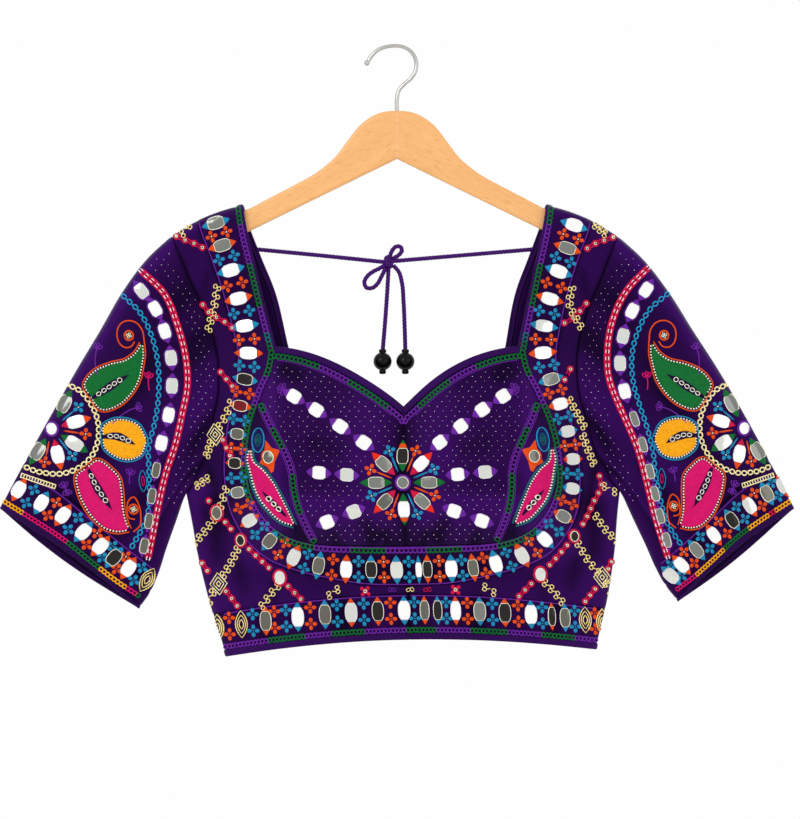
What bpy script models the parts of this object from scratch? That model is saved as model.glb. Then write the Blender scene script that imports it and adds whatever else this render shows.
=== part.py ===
"""A short choli blouse hanging on a wooden hanger, as the separate pieces a maker cuts and sews.

The origin is the inside of the hook's crest, where a rail touches it. +Z is up, +X is to the
viewer's right and the front of the blouse faces -Y. Sizes below are in millimetres, and every
object is built in metres.

The blouse is drawn on one flattened half pattern: `a` is the distance from the centre line and
`w` is the height. Functions fold that pattern over the hanger and round the sides, give it the
depth of the two moulded cups, and let the whole garment hang a little askew.
"""

import math

import bmesh
import bpy
import numpy as np

MM = 0.001

# Cloth
CLOTH = 1.6  # wall of embroidered cloth with its backing
BINDING = 2.4  # wall of the folded edge binding
BINDING_WIDTH = 5.4
SEAM_GAP = 0.34  # between neighbouring pieces
SHOULDER_GAP = 0.34  # each piece's own share at the shoulder seam, where the walls meet at an angle
SIDE_GAP = 1.02  # its share down the side seams, where they meet back to back
HEM_SIDE_GAP = 0.85
ARMHOLE_GAP = (0.8, 3.2)  # at the shoulder, and at the underarm where the walls turn sharply

# Heights
NECK_POINT_Z = -142.0  # top of the shoulder, at the neck
HEM_Z = -531.4  # bottom edge at the centre
HEM_DROP = 12.8  # how much lower the hem is at the side seams
HEM_HALF_WIDTH = 166.5
BAND_TOP_Z = -491.0  # top of the hem border at the centre
BAND_DROP = 14.5

# How the garment hangs
SWAY = (-2.2, 21.0, -6.2)  # sideways shift: at the shoulders, then by the drop's square and fourth power
TILT = 0.019  # the hem's slope, radians
HANG_LENGTH = 401.0  # from the shoulder to the hem's corner
SLEEVE_END = (230.0, 357.0)  # between these distances the sleeves leave off following the body

# Depth
SHOULDER_FOLD = 7.0  # height over which the cloth turns over the hanger
SHOULDER_HALF_DEPTH = 9.0  # of the body there
SIDE_ROUNDNESS = 2.6  # exponent of the superellipse across the body
CUP_DEPTH = 32.0
CUP_VALLEY = 0.14  # how much shallower the bust is at the centre line
CUP_VALLEY_WIDTH = 22.0
CUP_SIDE = (110.0, 168.0)  # distances between which the cup falls away to the side
CUP_TOP = (-385.0, -200.0)  # heights between which it falls away upwards
CUP_FOOT = (-405.0, -480.0)  # heights between which it falls away to the waist

# Top line of shoulder and sleeve: distance from the centre, height
SHOULDER = (
    (136.8, -142.0),
    (158.4, -148.0),
    (180.0, -157.4),
    (199.8, -169.5),
)
SLEEVE_TOP = (
    (199.8, -169.5),
    (221.5, -189.4),
    (246.0, -221.4),
    (265.6, -254.0),
    (287.4, -289.1),
    (312.2, -332.3),
    (337.8, -379.1),
    (356.6, -415.1),
)

# Half width of the body, up to the underarm and then as the armhole hides it: height, half width
HALF_WIDTH = (
    (-545.0, 165.6),
    (-525.8, 170.6),
    (-503.3, 177.0),
    (-474.5, 183.4),
    (-451.0, 187.8),
    (-428.6, 190.6),
    (-398.9, 194.9),
    (-370.0, 199.0),
    (-335.0, 207.0),
    (-281.0, 222.0),
    (-227.0, 248.0),
    (-173.0, 297.0),
    (-137.0, 330.0),
)

# Depth of the plain body: height, front, back
DEPTH = (
    (-545.0, 20.0, 19.0),
    (-500.0, 20.0, 19.0),
    (-430.0, 18.0, 17.0),
    (-370.0, 16.0, 15.0),
    (-300.0, 14.0, 13.0),
    (-230.0, 12.2, 11.8),
    (-175.0, 10.9, 10.9),
    (-137.0, 9.6, 9.6),
)

# Seam lines of the half pattern: distance from the centre, height
ARMHOLE = (
    (199.8, -169.5),
    (190.4, -192.4),
    (185.0, -206.3),
    (172.8, -233.3),
    (165.6, -254.9),
    (161.1, -276.5),
    (160.9, -303.5),
    (167.9, -337.7),
    (173.7, -362.0),
    (177.8, -375.5),
    (184.5, -389.0),
    (194.9, -398.9),
)
BORDER_OUTER = (
    (178.0, -156.4),
    (166.3, -188.3),
    (157.5, -214.4),
    (147.2, -254.9),
    (143.3, -276.0),  # level with the neckline's corner
    (145.0, -296.0),
    (149.6, -317.5),  # level with the top of the princess seam
    (156.2, -346.0),
    (159.8, -372.0),
    (160.0, -392.0),
    (155.6, -418.0),
    (144.5, -439.4),
    (128.7, -456.0),
    (100.8, -469.0),  # level with the foot of the princess seam
    (72.0, -476.3),
    (38.4, -482.3),
    (0.0, -483.5),
)
BORDER_MARKS = (0, 1, 5, 7, 14, 17)  # places of those points once the shoulder's fold is added
CUP_EDGE = (
    (112.9, -274.7),  # inside corner of the neckline's binding
    (117.0, -294.0),
    (125.2, -316.5),  # top of the princess seam
    (132.5, -335.0),
    (137.2, -355.0),
    (139.0, -374.0),
    (137.4, -396.0),
    (129.5, -415.0),
    (114.0, -433.0),
    (95.0, -442.6),
    (81.0, -445.6),  # foot of the princess seam
    (40.0, -447.6),
    (0.0, -448.0),
)
CUP_MARKS = (0, 2, 10, 12)
PRINCESS = (
    (125.2, -316.5),
    (112.4, -347.3),
    (101.2, -372.5),
    (95.9, -402.5),
    (89.6, -430.0),
    (81.0, -445.6),
)
NECK_EDGE = ((136.8, -142.0), (123.6, -204.0), (108.5, -269.5))
SWEETHEART_Z = -323.3  # point of the sweetheart neckline, on the centre line
SWEETHEART_SLOPE = 0.93
SWEETHEART_CURVE = 0.004
NECK_POINT_SHIFT = 4.0  # the point of the neckline hangs a little to one side
NECK_POINT_REACH = 40.0  # distance over which that fades
NECKLINE_BINDING_WIDTH = (7.4, 5.4)  # measured upright: at the point, and at the corners
BACK_NECK = (
    (136.8, -142.0),
    (121.4, -186.5),
    (109.1, -218.0),
    (98.0, -269.0),
    (88.0, -315.0),
    (70.0, -360.0),
    (40.0, -393.0),
    (0.0, -408.0),
)

# Sleeve
SLEEVE_UNDER = (
    (194.9, -398.9),
    (207.4, -427.7),
    (216.4, -449.0),
    (224.4, -470.0),
    (232.0, -485.5),
    (243.5, -501.0),
)
CUFF_DEPTH_FRONT = 12.0
CUFF_DEPTH_BACK = 13.0
CUFF_BOW = 4.6  # how far the opening's front edge arches up and its back edge sags
CUFF_BORDER = 0.14  # share of the sleeve's length that is border
CUFF_BINDING = 0.024
SLEEVE_FULLNESS = 3.0
UNDERARM_SHARE = 0.8  # the underarm takes the rest of the way down the armhole
UNDERARM_CLEAR = 1.6  # the sleeve's start stands this far out from the side seam's head
UNDERARM_TURN = 95.0  # how strongly the sleeve turns away from the seam beside the underarm

# Large soft folds: where each starts and ends (a, w), its half width and its depth
FRONT_FOLDS = (
    (168.0, -300.0, 186.0, -398.0, 9.0, 2.6),
    (176.0, -400.0, 168.0, -470.0, 10.0, 2.2),
    (40.0, -418.0, 24.0, -444.0, 8.0, 1.6),
)
BACK_FOLDS = (
    (150.0, -300.0, 172.0, -400.0, 12.0, 2.8),
    (120.0, -420.0, 104.0, -500.0, 14.0, 2.4),
)
# On the sleeve: place between shoulder and cuff, place between top and underarm, widths, depth
SLEEVE_FOLDS = (
    (0.32, 0.80, 0.26, 0.09, 2.6),
    (0.55, 0.62, 0.30, 0.07, 1.6),
)

# Hanger
HANGER_THICKNESS = 12.0
HANGER_TOP = (
    (0.0, -56.6),
    (12.0, -57.6),
    (21.6, -61.2),
    (33.7, -70.1),
    (44.5, -83.7),
    (56.0, -98.7),
    (71.8, -111.9),
    (94.7, -124.9),
    (116.2, -136.0),
    (132.0, -144.4),
    (152.0, -152.4),
    (172.0, -160.8),
    (188.0, -169.6),
)
HANGER_END = ((198.0, -177.0), (203.0, -184.5), (202.0, -192.0), (195.0, -195.6))
HANGER_BOTTOM_Z = -100.1
HANGER_BOTTOM_SLOPE = 0.49
HANGER_EDGE = 1.6  # rounding of the wood's edges
WIRE = 3.7  # hook wire
HOOK = (
    (-27.0, -13.6),
    (-24.4, -9.4),
    (-20.6, -4.6),
    (-14.6, -0.6),
    (-7.4, 1.45),
    (0.0, 1.85),
    (6.8, 0.5),
    (12.6, -3.3),
    (16.3, -9.1),
    (17.4, -15.8),
    (16.0, -22.4),
    (12.0, -28.0),
    (6.4, -32.8),
    (1.8, -38.0),
    (0.0, -44.8),
    (0.0, -56.0),
)
HOOK_BALL = 2.6  # radius of the rounded tip

# Back tie: its cord, knot, two loops and two hanging ends, x and z, and their distance behind
CORD = 3.5
TIE_Y = 9.0
TIE_START_Z = -181.0
KNOT = (-7.7, -192.6)
KNOT_RADII = (4.4, 4.6, 6.2)
TIE_LEFT = ((-67.0, -186.8), (-13.0, -192.4))
TIE_RIGHT = ((57.0, -186.6), (-2.4, -191.6))
LOOP_LEFT = (
    (-12.4, -196.4),
    (-16.0, -198.4),
    (-21.2, -201.0),
    (-26.6, -205.2),
    (-29.4, -210.8),
    (-27.6, -215.6),
    (-22.6, -216.0),
    (-17.8, -212.4),
    (-14.6, -206.8),
    (-11.4, -200.6),
)
LOOP_RIGHT = (
    (-5.9, -185.6),
    (-4.0, -181.6),
    (-0.8, -178.6),
    (3.0, -178.8),
    (4.4, -182.2),
    (2.0, -185.8),
    (-2.2, -188.2),
)
END_LEFT = ((-7.6, -199.6), (-8.8, -219.2), (-10.4, -242.1), (-12.8, -270.6))
END_RIGHT = (
    (-1.6, -196.6),
    (2.0, -202.0),
    (4.4, -211.0),
    (5.9, -228.3),
    (6.9, -251.3),
    (7.5, -270.6),
)
BEAD_Z = -282.1
BEAD_X = (-13.0, 7.5)
BEAD_RADIUS = 8.3
COLLAR = (3.4, 11.0)  # radius, height above the bead's centre
KNOB = (3.1, 11.5)

# Rows of quads. Neighbouring pieces share the points of their seam, so their edges run alongside.
FOLD_ROWS = 3  # over the hanger
STRAP_ROWS = 9  # down the strap, to the neckline's corner
CUP_ROWS = (3, 10, 10)  # beside the centre cup, beside the side cup and under the bust
ARMHOLE_ROWS = 17
SIDE_SEAM_ROWS = 3
BACK_NECK_ROWS = 15
BOTTOM_COLUMNS = 12  # round a quarter of the hem
BORDER_COLUMNS = 3
SIDE_COLUMNS = 5
SIDE_CUP_COLUMNS = 3
BACK_BOTTOM_POINTS = (0, 2, 4, 6, 8, 10, 11, 12)  # those of the hem border's top that the back uses
POINTED_END = 0.4  # share of its first and last step that the side cup leaves off
HEM_ROWS = 3
SLEEVE_ROWS = 9
CORD_STEP = 6.0

COLOURS = {
    "purple_cloth": ((0.045, 0.012, 0.105, 1.0), 0.62, 0.0),
    "binding": ((0.060, 0.014, 0.150, 1.0), 0.5, 0.0),
    "border": ((0.035, 0.010, 0.085, 1.0), 0.6, 0.0),
    "cord": ((0.130, 0.028, 0.280, 1.0), 0.55, 0.0),
    "beech": ((0.780, 0.430, 0.180, 1.0), 0.45, 0.0),
    "steel": ((0.620, 0.610, 0.600, 1.0), 0.28, 1.0),
    "bead": ((0.006, 0.006, 0.006, 1.0), 0.16, 0.0),
}


# ---------------------------------------------------------------- curves and tables


def hermite(x, xs, ys):
    """Value at x of the smooth curve through (xs, ys), xs rising, with end slopes from the chords."""
    xs, ys = np.asarray(xs, float), np.asarray(ys, float)
    x = np.clip(x, xs[0], xs[-1])
    slopes = np.gradient(ys, xs)
    i = np.clip(np.searchsorted(xs, x) - 1, 0, len(xs) - 2)
    step = xs[i + 1] - xs[i]
    t = (x - xs[i]) / step
    return (
        ys[i] * (1 + 2 * t) * (1 - t) ** 2
        + slopes[i] * step * t * (1 - t) ** 2
        + ys[i + 1] * t**2 * (3 - 2 * t)
        + slopes[i + 1] * step * t**2 * (t - 1)
    )


def along(points, t):
    """Points at shares t of the chord length of a smooth line through points, any dimension."""
    points = np.asarray(points, float)
    steps = np.linalg.norm(np.diff(points, axis=0), axis=1)
    at = np.concatenate([[0.0], np.cumsum(steps)]) / steps.sum()
    return np.stack([hermite(t, at, points[:, k]) for k in range(points.shape[1])], axis=-1)


def ease(x):
    """Smooth step from 0 to 1."""
    x = np.clip(x, 0.0, 1.0)
    return x * x * (3 - 2 * x)


def column(table, k):
    return np.array([row[k] for row in table], float)


# ---------------------------------------------------------------- the garment's form


def half_width(w):
    return hermite(w, column(HALF_WIDTH, 0), column(HALF_WIDTH, 1))


def body_depth(w, face):
    return hermite(w, column(DEPTH, 0), column(DEPTH, 1 if face == "front" else 2))


def shoulder_z(a):
    return hermite(a, column(SHOULDER, 0), column(SHOULDER, 1))


def hem_z(a):
    return HEM_Z - HEM_DROP * (a / HEM_HALF_WIDTH) ** 2


def border_top_z(a):
    return BAND_TOP_Z - BAND_DROP * (a / HEM_HALF_WIDTH) ** 2


def sweetheart_z(a):
    return SWEETHEART_Z + SWEETHEART_SLOPE * a - SWEETHEART_CURVE * a * a


def cup_depth(a, w):
    """How far the moulded cup stands forward of the plain body."""
    across = 1 - CUP_VALLEY * np.exp(-((a / CUP_VALLEY_WIDTH) ** 2))
    across = across * (1 - ease((a - CUP_SIDE[0]) / (CUP_SIDE[1] - CUP_SIDE[0])))
    upper = 1 - ease((w - CUP_TOP[0]) / (CUP_TOP[1] - CUP_TOP[0]))
    lower = 1 - ease((w - CUP_FOOT[0]) / (CUP_FOOT[1] - CUP_FOOT[0]))
    return CUP_DEPTH * across * upper * lower


def fold_depth(a, w, folds):
    """Troughs pressed in along short lines."""
    total = np.zeros(np.broadcast(a, w).shape)
    for a0, w0, a1, w1, half, depth in folds:
        length = math.hypot(a1 - a0, w1 - w0)
        ua, uw = (a1 - a0) / length, (w1 - w0) / length
        share = ((a - a0) * ua + (w - w0) * uw) / length
        off = (a - a0) * uw - (w - w0) * ua
        ends = np.clip(np.abs(share - 0.5) * 2 - 0.5, 0, None)
        total = total + depth * np.exp(-((off / half) ** 2) - (ends * 3) ** 2)
    return total


def hang(point):
    """The whole garment's slight sideways swing and tilt: point holds x, y, z in millimetres."""
    point = np.array(point, float)
    t = np.clip((NECK_POINT_Z - point[..., 2]) / HANG_LENGTH, 0.0, 1.1)
    near, far = SLEEVE_END
    follows = 1 - ease((np.abs(point[..., 0]) - near) / (far - near))
    point[..., 2] += TILT * t**3 * point[..., 0] * follows
    point[..., 0] += (SWAY[0] + SWAY[1] * t**2 + SWAY[2] * t**4) * follows
    return point


def fold_length():
    """Length of cloth that turns over the hanger on each side: a quarter of an ellipse."""
    return math.pi / 2 * math.sqrt((SHOULDER_FOLD**2 + SHOULDER_HALF_DEPTH**2) / 2)


def body_point(phi, w, side, face):
    """The cloth at angle phi round the body and pattern height w, on side -1 or 1, hung askew."""
    width = half_width(w)
    a = width * np.sin(phi)
    share = np.clip(a / width, 0.0, 1.0)
    turn = fold_length()
    ridge = shoulder_z(a)
    from_seam = ridge + (turn - SHOULDER_FOLD) - w
    omega = np.clip(from_seam / turn, 0.0, 1.0) * math.pi / 2
    z = np.where(from_seam < turn, ridge - SHOULDER_FOLD * (1 - np.cos(omega)), w)
    depth = body_depth(z, face) * np.sqrt(np.clip(1 - share**SIDE_ROUNDNESS, 0, 1)) * np.sin(omega)
    if face == "front":
        depth = depth + cup_depth(a, z) - fold_depth(a, z, FRONT_FOLDS) * np.sin(omega) * np.cos(phi)
        y = -depth
        near = np.exp(-(a**2 + (z - SWEETHEART_Z) ** 2) / NECK_POINT_REACH**2)
        return hang(np.stack([side * a + NECK_POINT_SHIFT * near, y, z], axis=-1))
    y = depth - fold_depth(a, z, BACK_FOLDS) * np.sin(omega) * np.cos(phi)
    return hang(np.stack([side * a, y, z], axis=-1))


def pattern(points):
    """Pattern points (a, w) as (phi, w), the coordinates that the patches are blended in."""
    points = np.asarray(points, float)
    share = np.clip(points[..., 0] / half_width(points[..., 1]), 0.0, 1.0)
    return np.stack([np.arcsin(share), points[..., 1]], axis=-1)


def shoulder_seam(points):
    """Pattern points lifted to the shoulder seam, which lies past the fold on the flat pattern."""
    points = np.array(points, float)
    points[..., 1] = shoulder_z(points[..., 0]) + fold_length() - SHOULDER_FOLD
    return points


def from_shoulder(line):
    """A line that starts on the shoulder, with its first point lifted to the seam and a second
    added where the cloth has turned over the hanger."""
    line = np.asarray(line, float)
    fine = along(line, np.linspace(0, 0.4, 200))
    drop = shoulder_z(fine[:, 0]) - fine[:, 1]
    foot = [np.interp(SHOULDER_FOLD, drop, fine[:, k]) for k in (0, 1)]
    return np.vstack([shoulder_seam(line[0]), foot, line[1:]])


def stations(points, marks, counts):
    """Points of a smooth line, with counts[i] steps from control point marks[i] to the next mark."""
    points = np.asarray(points, float)
    steps = np.linalg.norm(np.diff(points, axis=0), axis=1)
    at = np.concatenate([[0.0], np.cumsum(steps)]) / steps.sum()
    spans = zip(marks, marks[1:], counts)
    shares = [np.linspace(at[i], at[j], count, endpoint=False) for i, j, count in spans]
    return along(points, np.concatenate([*shares, [1.0]]))


def on_side(height):
    """Where a line whose height depends on a meets the side seam."""
    a = HEM_HALF_WIDTH
    for _ in range(8):
        a = float(half_width(height(a)))
    return np.array([a, float(height(a))])


def coons(left, right, bottom, top):
    """Grid of pattern points inside four boundary lines. left and right run from bottom to top,
    bottom and top run from left to right, and their ends meet."""
    rows, cols = len(left), len(bottom)
    v = np.linspace(0, 1, rows)[:, None, None]
    u = np.linspace(0, 1, cols)[None, :, None]
    ruled = (1 - u) * left[:, None] + u * right[:, None]
    ruled = ruled + (1 - v) * bottom[None] + v * top[None]
    corners = (1 - v) * ((1 - u) * left[0] + u * right[0]) + v * ((1 - u) * left[-1] + u * right[-1])
    return ruled - corners


def ruled(left, right, columns):
    """Grid of pattern points between two lines with the same number of points."""
    u = np.linspace(0, 1, columns + 1)[None, :, None]
    return (1 - u) * pattern(left)[:, None] + u * pattern(right)[:, None]


def cloth_points(grid, side, face):
    return body_point(grid[..., 0], grid[..., 1], side, face)


def inset(grid, gaps):
    """Moves the four border rows of a grid inwards: gaps are first row, last row, first column,
    last column."""
    grid = grid.copy()
    for axis, (near, far) in ((0, gaps[:2]), (1, gaps[2:])):
        rows = np.moveaxis(grid, axis, 0)
        for edge, inner, gap in ((0, 1, near), (-1, -2, far)):
            step = rows[inner] - rows[edge]
            rows[edge] += step / np.linalg.norm(step, axis=-1, keepdims=True) * gap
    return grid


# ---------------------------------------------------------------- Blender objects


def clear_scene():
    for thing in list(bpy.data.objects):
        bpy.data.objects.remove(thing)


def material(name):
    found = bpy.data.materials.get(name)
    if found:
        return found
    colour, roughness, metallic = COLOURS[name]
    made = bpy.data.materials.new(name)
    made.use_nodes = True
    shader = made.node_tree.nodes["Principled BSDF"]
    shader.inputs["Base Color"].default_value = colour
    shader.inputs["Roughness"].default_value = roughness
    shader.inputs["Metallic"].default_value = metallic
    return made


def place(thing, collection, finish):
    collection.objects.link(thing)
    thing.data.materials.append(material(finish))
    return thing


def cloth_object(name, grid, collection, finish="purple_cloth", wall=CLOTH, closed=False):
    """A cloth piece: an open surface of quads through the grid, given its wall by Solidify.
    closed joins the last column to the first, as on a tube."""
    rows, cols = grid.shape[:2]
    index = np.arange(rows * cols).reshape(rows, cols)
    if closed:
        index = np.concatenate([index, index[:, :1]], axis=1)
    quads = np.stack([index[:-1, :-1], index[:-1, 1:], index[1:, 1:], index[1:, :-1]], axis=-1)
    mesh = bpy.data.meshes.new(name)
    mesh.from_pydata((grid.reshape(-1, 3) * MM).tolist(), [], quads.reshape(-1, 4).tolist())
    mesh.shade_smooth()
    thing = place(bpy.data.objects.new(name, mesh), collection, finish)
    solidify = thing.modifiers.new("wall", "SOLIDIFY")
    solidify.thickness = wall * MM
    solidify.offset = 0.0
    return thing


def cord_object(name, points, diameter, collection, finish="cord", step=CORD_STEP):
    """A round cord or wire through points, as a poly curve with a filled bevel."""
    points = np.asarray(points, float)
    length = np.linalg.norm(np.diff(points, axis=0), axis=1).sum()
    fine = along(points, np.linspace(0, 1, max(4, math.ceil(length / step) + 1)))
    curve = bpy.data.curves.new(name, "CURVE")
    curve.dimensions = "3D"
    curve.bevel_depth = diameter / 2 * MM
    curve.bevel_resolution = 2
    curve.use_fill_caps = True
    spline = curve.splines.new("POLY")
    spline.points.add(len(fine) - 1)
    for point, co in zip(spline.points, fine * MM):
        point.co = (*co, 1.0)
    return place(bpy.data.objects.new(name, curve), collection, finish)


# ---------------------------------------------------------------- seam lines


def moved_sideways(line, distance):
    """A pattern line moved to its left as it runs."""
    line = np.asarray(line, float)
    step = np.gradient(line, axis=0)
    step /= np.linalg.norm(step, axis=1, keepdims=True)
    return line + distance * np.stack([-step[:, 1], step[:, 0]], axis=1)


def strap_edge():
    return stations(from_shoulder(NECK_EDGE), (0, 1, 3), (FOLD_ROWS, STRAP_ROWS))


def strap_seam():
    """Between the strap's binding and its mirror border, ending at the mitred corner."""
    line = moved_sideways(NECK_EDGE, BINDING_WIDTH)
    line = np.vstack([line[:-1], CUP_EDGE[:1]])
    line[0, 1] = shoulder_z(line[0, 0])
    return stations(from_shoulder(line), (0, 1, 3), (FOLD_ROWS, STRAP_ROWS))


def cup_seam():
    return stations(CUP_EDGE, CUP_MARKS, CUP_ROWS)


def border_seam():
    return stations(from_shoulder(BORDER_OUTER), BORDER_MARKS, (FOLD_ROWS, STRAP_ROWS, *CUP_ROWS))


def armhole_seam():
    return stations(from_shoulder(ARMHOLE), (0, 1, len(ARMHOLE)), (FOLD_ROWS, ARMHOLE_ROWS))


def side_seam(rows):
    w = np.linspace(ARMHOLE[-1][1], on_side(border_top_z)[1], rows + 1)
    return np.stack([half_width(w), w], axis=1)


def bottom_seam(height, columns=BOTTOM_COLUMNS):
    """From the centre to the side seam at the given height, closer together round the side."""
    share = np.sin(np.linspace(0, math.pi / 2, columns + 1))
    a = share * on_side(height)[0]
    return np.stack([a, height(a)], axis=1)


def back_neck_seams():
    """The back neck's edge, and the inner edge of its binding."""
    rows = (FOLD_ROWS, BACK_NECK_ROWS)
    inside = moved_sideways(BACK_NECK, BINDING_WIDTH)
    inside[0, 1] = shoulder_z(inside[0, 0])
    inside[-1] = (0.0, BACK_NECK[-1][1] - BINDING_WIDTH)
    marks = (0, 1, len(BACK_NECK))
    return stations(from_shoulder(BACK_NECK), marks, rows), stations(from_shoulder(inside), marks, rows)


# ---------------------------------------------------------------- body pieces


def build_cups(side, label, collection):
    """Centre cup and side cup, either side of the princess seam, and the neckline's binding."""
    half = SEAM_GAP / 2
    columns = CUP_ROWS[2]
    a = np.linspace(0, CUP_EDGE[0][0], columns + 1)
    edge_a = np.linspace(0, NECK_EDGE[-1][0], columns + 1)
    neckline = np.stack([edge_a, sweetheart_z(edge_a)], axis=1)
    neckline[-1] = NECK_EDGE[-1]
    binding = np.interp(ease(a / a[-1]), (0, 1), NECKLINE_BINDING_WIDTH)
    neck_seam = np.stack([a, sweetheart_z(a) - binding], axis=1)
    neck_seam[-1] = CUP_EDGE[0]
    cup = cup_seam()
    princess = along(PRINCESS, np.linspace(0, 1, CUP_ROWS[1] + 1))
    outer = np.vstack([cup[: CUP_ROWS[0]], princess])[::-1]
    foot = cup[-1 : -columns - 2 : -1]
    rows = len(outer) - 1
    centre = np.stack([np.zeros(rows + 1), np.linspace(foot[0, 1], neck_seam[0, 1], rows + 1)], axis=1)
    grid = coons(pattern(centre), pattern(outer), pattern(foot), pattern(neck_seam))
    grid = inset(cloth_points(grid, side, "front"), (half,) * 4)
    cloth_object(f"cup_centre_{label}", grid, collection)

    grid = cloth_points(ruled(neck_seam, neckline, 1), side, "front")
    grid = inset(grid, (half, half, half, 0.0))
    cloth_object(f"neckline_binding_{label}", grid, collection, "binding", BINDING)

    edge = cup[CUP_ROWS[0] : CUP_ROWS[0] + CUP_ROWS[1] + 1]
    pair = [trimmed(line, POINTED_END) for line in (princess, edge)]
    grid = cloth_points(ruled(*pair, SIDE_CUP_COLUMNS), side, "front")
    cloth_object(f"cup_side_{label}", inset(grid, (half,) * 4), collection)


def trimmed(line, share):
    """A line whose first and last steps are shortened by a share, for a piece with pointed ends."""
    line = line.copy()
    line[0] += share * (line[1] - line[0])
    line[-1] += share * (line[-2] - line[-1])
    return line


def build_border(side, label, collection):
    """The mirror border, down the strap, round the cup and under the bust, and the strap's binding."""
    half = SEAM_GAP / 2
    inner = np.vstack([strap_seam(), cup_seam()[1:]])
    grid = cloth_points(ruled(inner, border_seam(), BORDER_COLUMNS), side, "front")
    cloth_object(f"front_border_{label}", inset(grid, (SHOULDER_GAP, half, half, half)), collection, "border")
    grid = cloth_points(ruled(strap_edge(), strap_seam(), 2), side, "front")
    grid = inset(grid, (SHOULDER_GAP, half, 0.0, half))
    cloth_object(f"strap_binding_{label}", grid, collection, "binding", BINDING)


def build_side_front(side, label, collection):
    """Between the mirror border, the armhole, the side seam and the hem border. Its rows fan from
    the border's outer edge to the armhole, then to the side seam, then to the hem border."""
    half = SEAM_GAP / 2
    bottom = bottom_seam(border_top_z)[::-1]
    outer = np.vstack([armhole_seam(), side_seam(SIDE_SEAM_ROWS)[1:-1], bottom])
    grid = cloth_points(ruled(border_seam(), outer, SIDE_COLUMNS), side, "front")
    cloth_object(f"side_front_{label}", inset(grid, (SHOULDER_GAP, half, half, SIDE_GAP)), collection)


def build_hem(side, label, face, collection):
    """The hem border and its folded edge, for one quarter of the blouse."""
    half = SEAM_GAP / 2

    def above_binding(a):
        return hem_z(a) + BINDING_WIDTH

    lines = [bottom_seam(height) for height in (hem_z, above_binding, border_top_z)]
    grid = ruled(lines[1], lines[2], HEM_ROWS)
    grid = inset(cloth_points(grid, side, face), (half, HEM_SIDE_GAP, half, half))
    cloth_object(f"hem_border_{face}_{label}", grid, collection, "border")
    grid = cloth_points(ruled(lines[0], lines[1], 1), side, face)
    grid = inset(grid, (half, HEM_SIDE_GAP, 0.0, half))
    cloth_object(f"hem_binding_{face}_{label}", grid, collection, "binding", BINDING)


def build_back(side, label, collection):
    """Half of the back, with its strap, and the binding of its deep neck."""
    half = SEAM_GAP / 2
    edge, inside = back_neck_seams()
    armhole, seam = armhole_seam(), side_seam(SIDE_SEAM_ROWS * 2)
    rows = len(armhole) + len(seam) - 2
    below = rows + 1 - len(inside)
    centre_w = np.linspace(inside[-1, 1], border_top_z(0.0), below + 1)[1:]
    inner = np.vstack([inside, np.stack([np.zeros(below), centre_w], axis=1)])[::-1]
    outer = np.vstack([armhole, seam[1:]])[::-1]
    bottom = bottom_seam(border_top_z)[list(BACK_BOTTOM_POINTS)]
    top_a = np.linspace(inner[-1, 0], outer[-1, 0], len(bottom))
    top = shoulder_seam(np.stack([top_a, top_a], axis=1))
    grid = coons(pattern(inner), pattern(outer), pattern(bottom), pattern(top))
    grid = inset(cloth_points(grid, side, "back"), (half, SHOULDER_GAP, half, SIDE_GAP))
    cloth_object(f"back_{label}", grid, collection)
    grid = cloth_points(ruled(edge, inside, 1), side, "back")
    grid = inset(grid, (SHOULDER_GAP, half, 0.0, half))
    cloth_object(f"back_neck_binding_{label}", grid, collection, "binding", BINDING)


# ---------------------------------------------------------------- sleeves


def armhole_loop():
    """The armhole's points on the front face and the back face, before hanging, with each point's
    share of the way from the shoulder to the underarm, and how it first sets off from the seam."""
    seam = armhole_seam()
    keep = [*range(FOLD_ROWS), *range(FOLD_ROWS, len(seam) - 1, 2), len(seam) - 1]
    seam = seam[keep]
    steps = np.linalg.norm(np.diff(seam, axis=0), axis=1)
    share = np.concatenate([[0.0], np.cumsum(steps)]) / steps.sum()
    flat = pattern(seam)
    front, back = (unhang(body_point(flat[:, 0], flat[:, 1], 1, face)) for face in ("front", "back"))
    step = np.gradient(seam, axis=0)
    outwards = np.stack([-step[:, 1], step[:, 0] * 0, step[:, 0]], axis=1)
    outwards /= np.linalg.norm(outwards, axis=1, keepdims=True)
    near_underarm = np.clip((share - UNDERARM_SHARE) / (1 - UNDERARM_SHARE), 0, 1)
    turn = UNDERARM_TURN * np.sin(math.pi * near_underarm)
    return front, back, share, outwards * turn[:, None]


def unhang(point):
    """Takes hang() off again: the sleeve is shaped first and hung afterwards."""
    point = np.array(point, float)
    guess = point.copy()
    for _ in range(4):
        guess += point - hang(guess)
    return guess


def cuff_line(t, face):
    """The cuff's edge on one face, from its outer corner (t = 0) to its inner corner (t = 1)."""
    outer, inner = np.array(SLEEVE_TOP[-1]), np.array(SLEEVE_UNDER[-1])
    chord = inner - outer
    down = np.array([-chord[1], chord[0]]) / np.hypot(*chord) * -1
    down = down if down[1] < 0 else -down
    sign, depth = (-1.0, CUFF_DEPTH_FRONT) if face == "front" else (1.0, CUFF_DEPTH_BACK)
    flat = outer + t[:, None] * chord + sign * CUFF_BOW * np.sin(math.pi * t)[:, None] * down
    y = sign * depth * np.clip(np.sin(math.pi * t), 0, 1) ** 0.5
    return np.stack([flat[:, 0], y, flat[:, 1]], axis=1)


def sleeve_fold(s, t):
    total = np.zeros(np.broadcast(s, t).shape)
    for s0, t0, ws, wt, depth in SLEEVE_FOLDS:
        total = total + depth * np.exp(-(((s - s0) / ws) ** 2) - ((t - t0) / wt) ** 2)
    return total


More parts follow.
